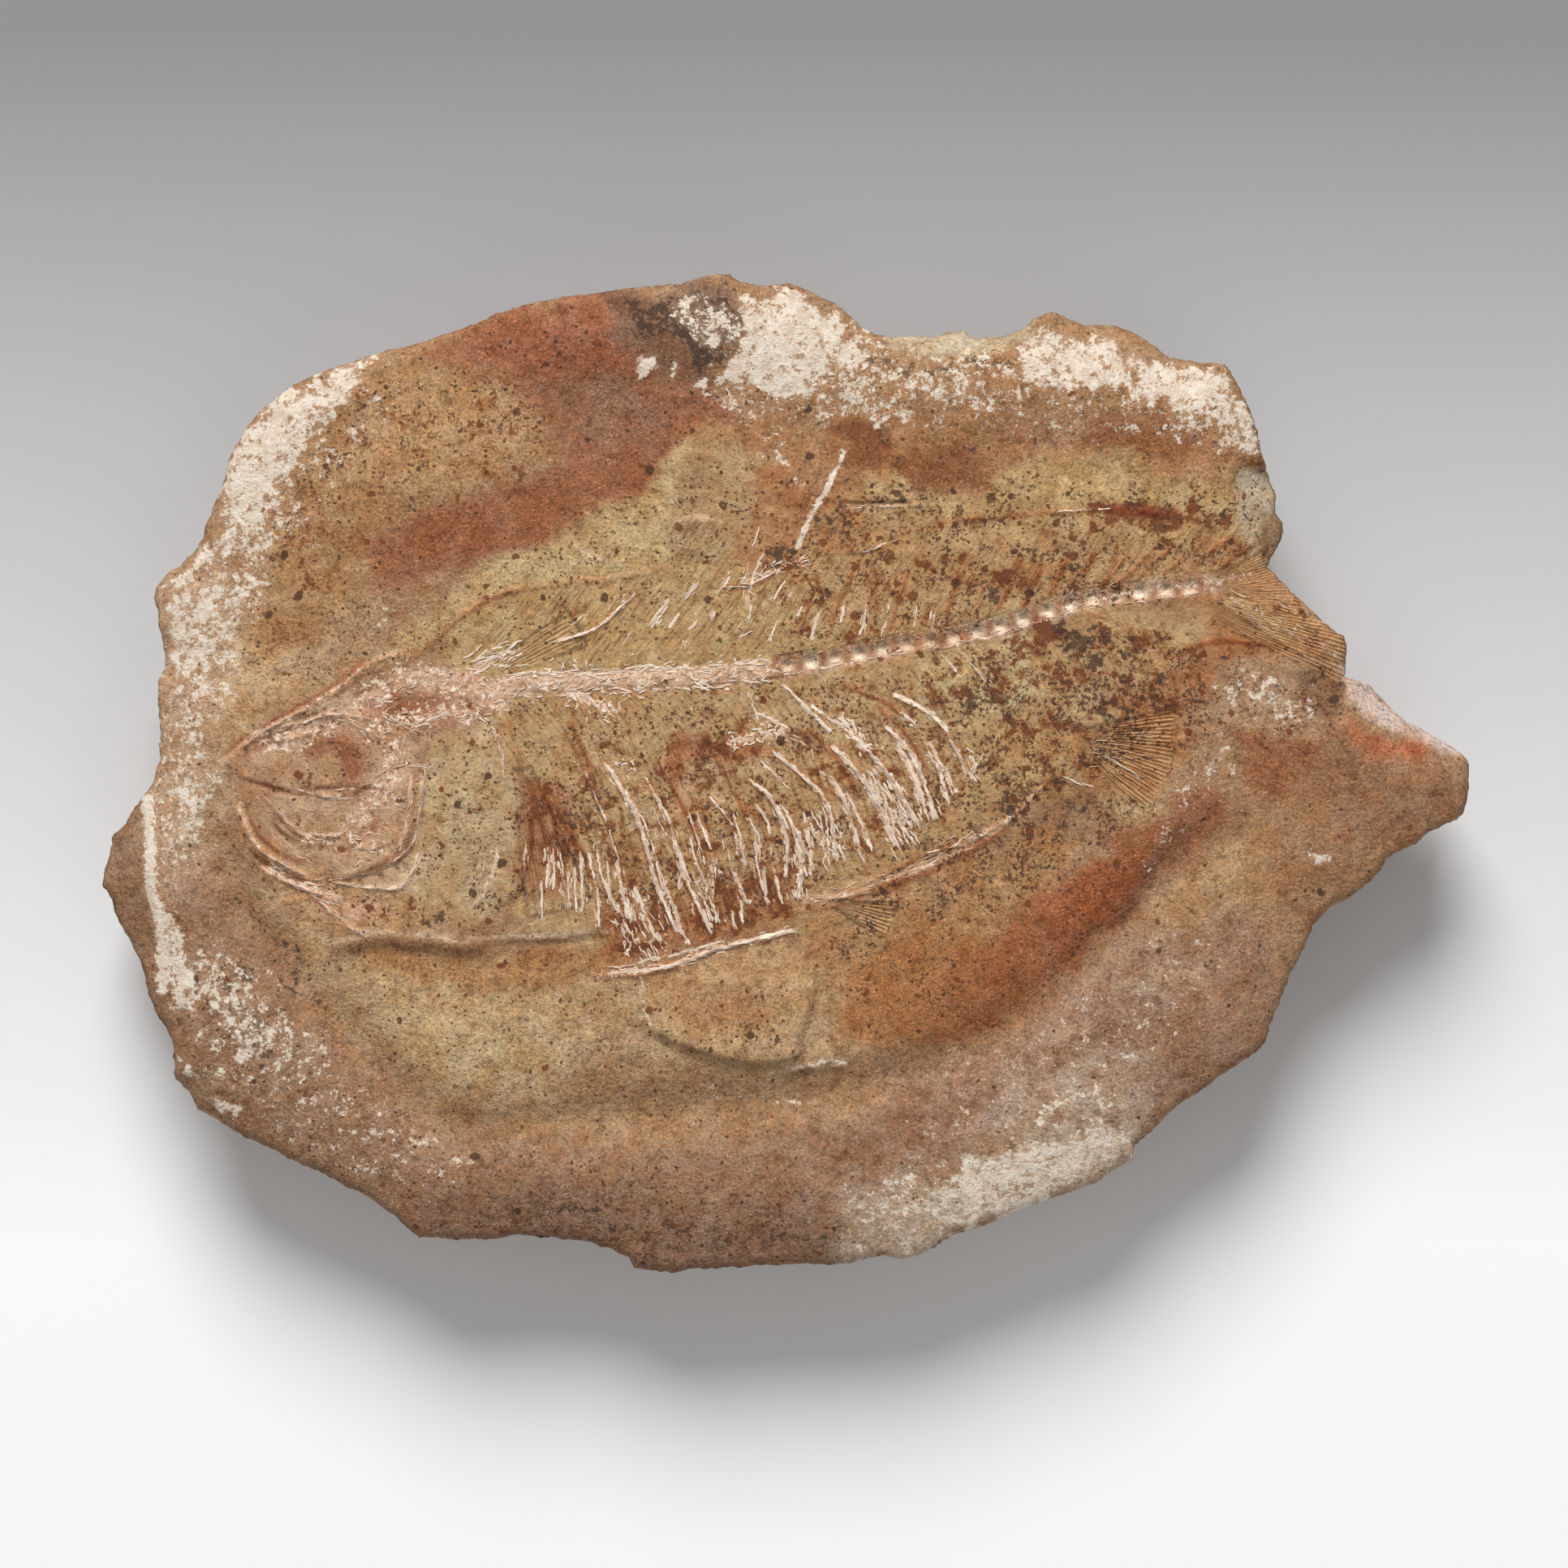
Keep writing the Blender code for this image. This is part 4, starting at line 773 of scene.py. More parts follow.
def crisp_sites():
    """Points and links on the crests and feet of the drawn lines."""
    groups = []
    ridges = [(width, points) for width, _, _, points in STONE_BONES + SKULL + fan_rays()]
    ridges += [(width, points) for width, _, points in GROOVES]
    for half_width, points in ridges:
        line = smooth(slab_line(points), LINE_STEP)
        groups.append([sideways(line, gap) for gap in (0.0, half_width, -half_width)])
    for _, fall, _, points in LEDGES:
        line = smooth(slab_line(points), LINE_STEP)
        groups.append([line, sideways(line, -fall / 2), sideways(line, -fall)])
    for width, _, points in PALE_BONES:
        line = smooth(slab_line(points), LINE_STEP)
        groups.append([sideways(line, gap) for gap in (0.0, 0.4, -0.4)])
    column = smooth(slab_line(BACKBONE), LINE_STEP / 2)
    groups.append([sideways(column, gap) for gap in (-1.5, -1.1, -0.75, -0.4, 0, 0.4, 0.75, 1.1,
                                                     1.5)])
    for _, _, points in CHIPS:
        groups.append([smooth(slab_line(points), LINE_STEP)])
    sites = []
    links = []
    for rows in groups:
        for row in rows:
            links.extend((len(sites) + i, len(sites) + i + 1) for i in range(len(row) - 1))
            sites.extend(row)
    return np.array(sites), links


def face_mesh(ring):
    """The fish face: its points, its triangles and its border."""
    sites, links = crisp_sites()
    kept = inside(sites, ring) & (edge_distance(sites) > LINE_MARGIN)
    numbers = np.cumsum(kept) - 1
    links = [(int(numbers[a]), int(numbers[b])) for a, b in links if kept[a] and kept[b]]
    sites = sites[kept]
    fish = slab_line(FISH)
    plain = np.concatenate([
        field(ring, FISH_PITCH, FACE_MARGIN, 5, within=fish),
        field(ring, PLAIN_PITCH, FACE_MARGIN, 6, outside=fish),
    ])
    tree = kdtree.KDTree(len(sites))
    for index, spot in enumerate(sites):
        tree.insert((*spot, 0.0), index)
    tree.balance()
    clear = [tree.find((*spot, 0.0))[2] > POINT_GAP for spot in plain]
    rims = [ring + ring_inwards(ring, 2) * inset for inset in RIM_INSETS]
    everything = np.concatenate([sites, plain[clear]] + rims)
    found, faces, border = triangulate(ring, everything, links)
    return np.column_stack([found, face_height(found)]), faces, border


def stone_shape():
    """Points and triangles of the whole closed stone, and how many points are on its face."""
    ring = edge_ring()
    face, face_tris, top = face_mesh(ring)
    inwards = ring_inwards(ring, 6)
    foot = ring + inwards * (FOOT_INSET + FOOT_WANDER * clouds(ring, 7, 9.5))[:, None]
    back_sites = field(foot, BACK_PITCH, BACK_MARGIN, 9)
    back, back_tris, bottom = triangulate(foot, back_sites, [])
    back = np.column_stack([back, back_height(back)])

    points = [face]
    rows = [np.array(top)]
    count = len(face)
    drop = back[bottom, 2] - face[top, 2]
    for row in range(1, WALL_ROWS):
        share = row / WALL_ROWS
        level = face[top, 2] + drop * share
        spots = np.column_stack([ring + (foot - ring) * share, level])
        chip = 0.5 + 0.5 * solid_clouds(spots, 4.2, 3.0)
        crack = 0.5 + 0.5 * solid_clouds(spots, 1.4, 8.0)
        depth = (WALL_CHIP * chip + WALL_CRACK * crack) * math.sin(math.pi * share) ** 0.4
        spots[:, :2] += inwards * depth[:, None]
        points.append(spots)
        rows.append(np.arange(count, count + len(ring)))
        count += len(ring)
    points.append(back)
    rows.append(np.array(bottom) + count)
    faces = [face_tris, back_tris[:, ::-1] + count]
    for upper, lower in zip(rows, rows[1:]):
        upper_next = np.roll(upper, -1)
        lower_next = np.roll(lower, -1)
        faces.append(np.column_stack([upper, lower, lower_next]))
        faces.append(np.column_stack([upper, lower_next, upper_next]))
    return np.concatenate(points), np.concatenate(faces), len(face)


def new_mesh(name, points, faces):
    """An object in the scene from points in millimetres and triangles."""
    mesh = bpy.data.meshes.new(name)
    mesh.vertices.add(len(points))
    mesh.vertices.foreach_set("co", (np.asarray(points) * MM).astype(np.float32).ravel())
    mesh.loops.add(len(faces) * 3)
    mesh.loops.foreach_set("vertex_index", np.asarray(faces, dtype=np.int32).ravel())
    mesh.polygons.add(len(faces))
    mesh.polygons.foreach_set("loop_start", np.arange(len(faces), dtype=np.int32) * 3)
    mesh.update(calc_edges=True)
    mesh.validate()
    mesh.shade_smooth()
    piece = bpy.data.objects.new(name, mesh)
    bpy.context.scene.collection.objects.link(piece)
    return piece


def linear(colour):
    """A colour given in 0 to 255 as the eye sees it, as linear light."""
    share = np.asarray(colour, dtype=float) / 255.0
    return np.where(share <= 0.04045, share / 12.92, ((share + 0.055) / 1.055) ** 2.4)


def store_number(piece, name, values):
    layer = piece.data.attributes.new(name, "FLOAT", "POINT")
    layer.data.foreach_set("value", np.asarray(values, dtype=np.float32))


def store_vector(piece, name, vectors):
    layer = piece.data.attributes.new(name, "FLOAT_VECTOR", "POINT")
    layer.data.foreach_set("vector", vectors.astype(np.float32).ravel())


def store_colour(piece, name, colours):
    layer = piece.data.attributes.new(name, "FLOAT_COLOR", "POINT")
    rows = np.column_stack([colours, np.ones(len(colours))])
    layer.data.foreach_set("color", rows.astype(np.float32).ravel())


# Colour of the stone, with a painted shadow and a painted highlight among the patches, painted in
# this order: colour, strength, softness, outline of the patch
PATCHES = [
    ((148, 114, 88), 1, 5, [(12, 108), (20, 96), (24, 104), (32, 116), (40, 128), (50, 138),
        (60, 141), (80, 142), (100, 141), (112, 136), (114, 158), (80, 159), (50, 155), (28, 142),
        (16, 122)]),
    ((182, 150, 122), 0.8, 4, [(17, 70), (27, 70), (30, 84), (27, 98), (26, 108), (20, 114),
        (15, 108), (17, 96)]),
    ((172, 140, 108), 0.7, 3, [(24, 76), (34, 76), (44, 76), (48, 79), (40, 86), (30, 91), (27, 98),
        (28, 106), (24, 104), (19, 96)]),
    ((164, 126, 88), 1, 4, [(34, 58), (40, 50), (48, 44), (56, 44), (62, 48), (52, 60), (46, 70),
        (40, 78), (31, 80), (30, 68)]),
    ((150, 100, 72), 1, 3, [(54, 42), (64, 37), (75, 35), (80, 38), (88, 46), (92, 53), (84, 56),
        (80, 60), (76, 62.5), (70, 64.5), (64, 66.5), (58, 70), (50, 72.5), (44, 72), (46, 67),
        (54, 62), (62, 60), (69, 57), (69, 53), (64, 49), (60, 46), (52, 44.5)]),
    ((176, 138, 98), 0.6, 4, [(43, 50), (51, 47), (60, 47.5), (65, 52), (67, 56), (60, 60),
        (50, 60.5), (42, 57)]),
    ((134, 98, 76), 0.7, 3, [(66, 46), (76, 46), (84, 50), (82, 54), (74, 56), (69, 54)]),
    ((148, 94, 64), 0.7, 3, [(48, 67), (56, 62.5), (66, 60), (74, 57), (78, 55), (82, 54.5),
        (80, 58.5), (75, 62), (66, 65.4), (58, 69.4), (51, 71)]),
    ((144, 86, 60), 0.65, 3, [(57, 43), (66, 39), (74, 38), (80, 41), (76, 45.5), (68, 45),
        (60, 46)]),
    ((118, 90, 72), 0.8, 2.5, [(73, 36), (90, 34), (92, 41), (88, 48), (80, 45), (75, 41)]),
    ((158, 118, 82), 1, 3, [(90, 46), (104, 44), (112, 42), (126, 44), (140, 47), (154, 50),
        (158, 58), (150, 60), (144, 58), (136, 56), (130, 56.6), (124, 59.6), (118, 61),
        (112, 59.4), (108, 61.4), (102, 60), (96, 57), (90, 54)]),
    ((156, 112, 76), 0.55, 3, [(92, 51), (102, 50), (112, 53), (124, 54), (134, 53), (146, 53),
        (150, 56), (140, 58), (122, 60), (110, 59.5), (102, 60), (96, 58), (91, 56)]),
    ((122, 72, 42), 0.8, 1.6, [(103, 52.6), (107, 52), (110, 55), (108, 58.6), (104, 58)]),
    ((124, 76, 46), 0.8, 1.6, [(110, 56), (116, 54.6), (122, 56), (121, 59.4), (114, 60.4),
        (110, 59)]),
    ((176, 132, 98), 0.7, 2.4, [(124, 52.6), (131, 52), (135, 55), (130, 58), (124, 57)]),
    ((170, 122, 86), 0.6, 2.4, [(106, 49.6), (114, 49), (117, 52), (111, 54)]),
    ((172, 126, 92), 0.6, 2.4, [(143, 55), (150, 54), (153, 57), (148, 60), (142, 59)]),
    ((142, 86, 52), 0.75, 2, [(136, 50), (144, 51), (147, 54), (141, 56.6), (135, 54)]),
    ((142, 98, 66), 0.6, 2, [(118, 50), (128, 50), (131, 53), (122, 55)]),
    ((134, 92, 62), 0.3, 3, [(104, 54), (114, 55), (122, 56), (130, 55), (128, 58), (120, 60),
        (110, 59), (105, 57)]),
    ((182, 154, 112), 1, 2, [(46, 80.5), (52, 76), (56, 72), (62, 68.6), (68, 65.8), (74, 63.2),
        (79, 60), (82, 56), (84, 55), (83.5, 70), (70, 72), (60, 75), (52, 81)]),
    ((177, 146, 103), 1, 2.5, [(54, 79), (60, 74), (70, 71.6), (82, 69.6), (86, 66), (98, 62),
        (103, 60.8), (110, 58.8), (115, 61), (121, 61.2), (125, 57), (133, 55.6), (141, 57.4),
        (148, 59.8), (155, 60), (157, 70), (140, 74), (118, 79), (96, 83), (70, 85), (56, 84)]),
    ((172, 142, 104), 0.7, 2.2, [(84.2, 53.6), (88, 52.4), (93, 55.6), (97, 60), (96, 64),
        (90, 68.6), (83.6, 69.4)]),
    ((164, 112, 74), 0.7, 2, [(93, 57), (98, 56.5), (102, 60), (99, 66), (93, 70), (90, 68),
        (94, 62)]),
    ((158, 106, 68), 0.6, 1.8, [(100.6, 60.8), (106, 62.6), (107, 66.6), (101, 68), (99.6, 64)]),
    ((176, 143, 103), 1, 3, [(60, 85), (80, 84), (96, 83), (118, 79), (140, 75), (152, 77),
        (147, 84), (141, 92), (133, 97), (122, 103), (108, 111), (98, 114.5), (76, 117), (64, 115),
        (58, 100)]),
    ((184, 160, 118), 0.85, 2, [(112, 80), (120, 78.8), (127, 80), (127, 85), (120, 90),
        (113, 87)]),
    ((182, 142, 94), 0.45, 1.6, [(118, 92), (126, 88.6), (131, 91), (130.4, 95), (125, 97.4),
        (121, 98)]),
    ((180, 152, 112), 0.8, 1.4, [(136, 99.6), (141, 96.6), (145, 97), (142.6, 99.6), (138, 101.6)]),
    ((138, 100, 68), 0.5, 2.5, [(126, 98), (132, 93.5), (136, 95), (138, 99), (132, 104),
        (124, 107), (116, 109), (118, 105)]),
    ((172, 128, 84), 0.65, 3, [(98, 113), (112, 109), (124, 103), (134, 102), (130, 109),
        (124, 114), (118, 118), (112, 124), (103, 127), (100, 121)]),
    ((174, 142, 106), 1, 3, [(31, 109), (44, 116.5), (60, 117.6), (78, 119.6), (98, 116.4),
        (103, 118), (102, 127), (108, 128), (104, 133), (90, 135), (76, 138), (64, 139),
        (54, 136.6), (46, 130.6), (39, 122)]),
    # Paler stone that is also a painted highlight on the lower swell
    ((184, 156, 118), 0.85, 3.5, [(46, 127), (54, 132.5), (64, 135), (74, 133), (72, 127),
        (62, 123), (50, 122)]),
    ((164, 118, 74), 0.75, 2.5, [(43, 116.6), (60, 117.6), (77, 116.4), (77, 121), (60, 121.6),
        (46, 120)]),
    # Painted shadow below the raised belly plate
    ((156, 124, 92), 0.8, 2.5, [(72, 128), (84, 130.6), (97, 131.6), (106, 132.6), (98, 136.5),
        (82, 137), (68, 134)]),
    ((154, 118, 92), 0.8, 3.5, [(50, 140), (60, 141.5), (80, 142), (100, 139), (106, 140),
        (104, 146), (80, 146.6), (56, 145)]),
    ((134, 101, 80), 0.8, 6, [(50, 147), (60, 145.4), (80, 147), (100, 148.6), (106, 152),
        (105, 158), (80, 159), (54, 154)]),
    ((152, 118, 94), 1, 4, [(108, 136), (118, 131), (126, 126), (132, 121), (139, 115), (146, 110),
        (152, 111), (158, 118), (156, 130), (147, 136), (138, 141), (128, 139), (118, 143),
        (106, 146)]),
    ((162, 132, 110), 0.4, 4, [(122, 131), (130, 124), (138, 119), (143, 121), (138, 130),
        (130, 135), (122, 136)]),
    ((152, 112, 86), 0.45, 3, [(144, 117), (154, 114), (158, 122), (150, 128), (142, 125)]),
    ((146, 104, 78), 0.65, 2.5, [(103, 142), (110, 138), (118, 135), (126, 134), (122, 140),
        (114, 144), (105, 147)]),
    ((176, 154, 134), 0.8, 8, [(103, 148), (112, 143), (120, 142), (126, 137.6), (134, 136.6),
        (142, 138), (142, 144), (128, 150), (114, 156), (104, 157)]),
    ((196, 178, 156), 0.7, 3, [(108, 151), (115, 147), (121, 144.4), (130, 141), (138, 139),
        (141, 141), (133, 146.6), (120, 151.6), (111, 154.6)]),
    ((186, 166, 146), 0.5, 3, [(128, 134), (136, 130), (143, 129), (141, 135), (133, 139)]),
    ((186, 164, 144), 0.5, 2.4, [(118, 138), (124, 134), (130, 133), (127, 138), (120, 141)]),
    ((132, 94, 70), 0.5, 2.4, [(134, 124), (142, 118), (147, 121), (142, 128), (135, 129)]),
    ((184, 160, 138), 0.5, 2, [(139, 121), (145, 117), (148, 121), (143, 125)]),
    ((134, 96, 72), 0.5, 2.4, [(112, 143), (120, 139), (124, 141), (116, 146)]),
    ((132, 92, 66), 0.5, 2.4, [(120, 147), (128, 143), (134, 141.4), (130, 145), (122, 149)]),
    ((168, 134, 98), 0.95, 3, [(141, 114), (147, 108), (152, 103), (158, 100.6), (164, 103),
        (160, 108.6), (152, 112), (147, 115)]),
    ((156, 117, 85), 0.95, 3, [(156, 101), (166, 98), (176, 98), (174, 105), (168, 110), (161, 116),
        (156, 113)]),
    ((152, 113, 84), 1, 2.5, [(160, 92), (167, 89.6), (176, 93), (182, 95), (182, 102), (172, 105),
        (163, 102), (160, 97)]),
    ((172, 100, 66), 0.8, 1.4, [(166, 88.8), (170, 90), (176, 93), (174, 94), (168, 92.4)]),
    ((164, 130, 100), 0.7, 4, [(149, 81), (157, 82), (163, 85), (164, 90), (160, 92), (154, 89.6),
        (148, 95), (144, 99), (142, 95), (147, 88)]),
    ((120, 90, 64), 0.65, 2.2, [(158, 82.6), (165.8, 82), (165.6, 89), (162.6, 89), (159, 86)]),
    ((160, 106, 70), 0.7, 4, [(140, 84), (145, 80.6), (151, 78.6), (156, 80), (151, 82), (148, 86),
        (144, 92), (139, 92), (138, 88)]),
    ((148, 90, 58), 0.8, 2.4, [(153, 91), (158, 90), (162, 92), (160, 97), (156, 99.6),
        (153.4, 96)]),
    ((158, 104, 60), 0.8, 3, [(104, 121), (112, 115), (120, 114), (125, 118), (119, 126),
        (110, 129), (103, 127)]),
    ((150, 92, 58), 0.9, 4, [(116, 121), (122, 116), (128, 111), (133, 106), (140, 102.6),
        (146, 98), (150, 97.6), (152, 100), (147, 104.6), (142, 109), (138, 114), (133, 119),
        (127, 123.6), (120, 127.6), (113, 129)]),
    ((152, 82, 48), 0.6, 3, [(128, 114), (133, 108.4), (139, 105), (141, 107), (138, 111),
        (132, 116.4)]),
    ((112, 76, 60), 0.6, 1.8, [(151, 99), (146, 103.4), (142, 108.6), (138.6, 113), (135, 115),
        (137, 110.6), (141, 105.8), (146, 101)]),
    ((180, 153, 116), 1, 2.2, [(53, 88), (61, 88), (64, 97), (64, 109), (58, 113.6), (46, 113),
        (49, 108), (52, 101)]),
    ((150, 96, 68), 0.6, 1.8, [(63, 96), (69, 96), (72, 104), (68, 112), (64, 110)]),
    ((158, 94, 58), 0.6, 2.2, [(72, 111), (84, 110), (98, 107), (98, 113.6), (86, 117.4),
        (75, 118)]),
    ((160, 96, 66), 0.7, 1.6, [(84, 91), (92, 89.4), (95, 91.5), (88, 93.6), (84.6, 96),
        (82.6, 100), (81.6, 96)]),
    ((180, 146, 112), 0.85, 1.2, [(84.4, 95.4), (88, 93.8), (91, 94.8), (86.6, 97.6), (84, 101.4),
        (82.8, 99)]),
    ((176, 140, 110), 0.95, 2.2, [(28, 94.4), (34, 90), (44, 86), (54, 83), (61, 86.6), (59, 90),
        (52, 92), (50, 100), (46, 105), (40, 104), (34, 100)]),
    ((138, 80, 56), 0.75, 1.3, [(37.2, 93), (38.8, 91), (41, 90.3), (43.4, 90.9), (44.8, 93),
        (44.5, 95.6), (43.2, 97), (42.6, 95.4), (42, 93.6), (40.6, 92.6), (38.6, 93.2)]),
    ((160, 106, 80), 0.6, 2.4, [(45, 86.4), (50, 83.6), (56, 85), (58, 88), (52, 90), (47, 89.4)]),
    ((196, 164, 130), 0.5, 2, [(36, 104), (42, 103), (50, 106), (52, 110), (48, 113), (42, 112),
        (37, 108)]),
    ((200, 166, 124), 0.45, 3, [(28, 80), (36, 79), (40, 82), (34, 88), (29, 90), (26, 86)]),
    ((186, 154, 122), 0.6, 2.4, [(33, 100), (44, 99), (50, 101), (47, 105), (41, 107), (36, 105)]),
    ((202, 168, 140), 0.6, 1.6, [(29, 93.4), (36, 88.8), (43, 86.4), (47, 89), (40, 90),
        (33, 92.4)]),
    ((176, 142, 108), 0.85, 0.8, [(38.3, 94.4), (39.4, 93.3), (41, 93.2), (42, 94.2), (42.1, 95.8),
        (41.2, 96.9), (39.4, 96.9), (38.3, 95.8)]),
    ((186, 150, 122), 0.75, 1.8, [(43, 98), (49, 94), (51.6, 97), (50, 103), (44, 106.6), (40, 105),
        (44, 102)]),
    ((178, 142, 106), 0.85, 1.8, [(31, 104), (40, 110), (46, 110), (58, 113), (56, 115.4),
        (43, 115.4), (34, 109)]),
    ((200, 156, 128), 0.7, 1.5, [(39, 109), (47, 111), (48, 113), (42, 113)]),
    ((198, 158, 132), 0.7, 1.5, [(50, 83.6), (56, 82.6), (62, 85), (61, 88), (54, 87)]),
    ((178, 142, 104), 0.95, 1.4, [(79, 120), (88, 117.6), (98, 115.4), (99.6, 121), (97.4, 129.6),
        (88, 129), (80, 126)]),
    ((158, 112, 76), 0.5, 2, [(83, 122), (94, 121), (95, 128), (86, 127)]),
    ((172, 124, 84), 0.65, 3, [(147, 71.6), (151, 67), (156, 68), (160, 73), (166, 79), (166, 83.4),
        (157, 80.6), (149, 79)]),
    ((176, 128, 84), 0.7, 1.8, [(131, 91), (138, 88.6), (145, 88), (144, 96), (139, 99.6),
        (134, 96)]),
    ((170, 124, 86), 0.4, 3, [(100, 60), (118, 64), (150, 66), (150, 71), (128, 74), (112, 78),
        (98, 78), (96, 68)]),
    ((182, 164, 136), 1, 0.8, [(108.6, 39), (128, 39), (127, 41.6), (122, 43.6), (114, 43.8),
        (109.4, 42.6)]),
    ((184, 166, 140), 0.95, 1, [(152.6, 58), (158.6, 57.6), (158.6, 63), (155.6, 64.5), (154.8, 69),
        (152.4, 64)]),
    ((138, 110, 82), 0.9, 0.7, [(155.6, 63), (160, 62), (160, 70), (155.4, 70.2)]),
    ((200, 176, 164), 0.95, 0.9, [(165, 82), (170, 82), (182, 92), (180, 93.2), (172, 90.2),
        (168.4, 88.6), (166.4, 86)]),
    ((146, 112, 86), 0.85, 1.2, [(10, 110), (15, 99), (17.6, 97), (17.4, 108), (19, 120),
        (15, 118)]),
]
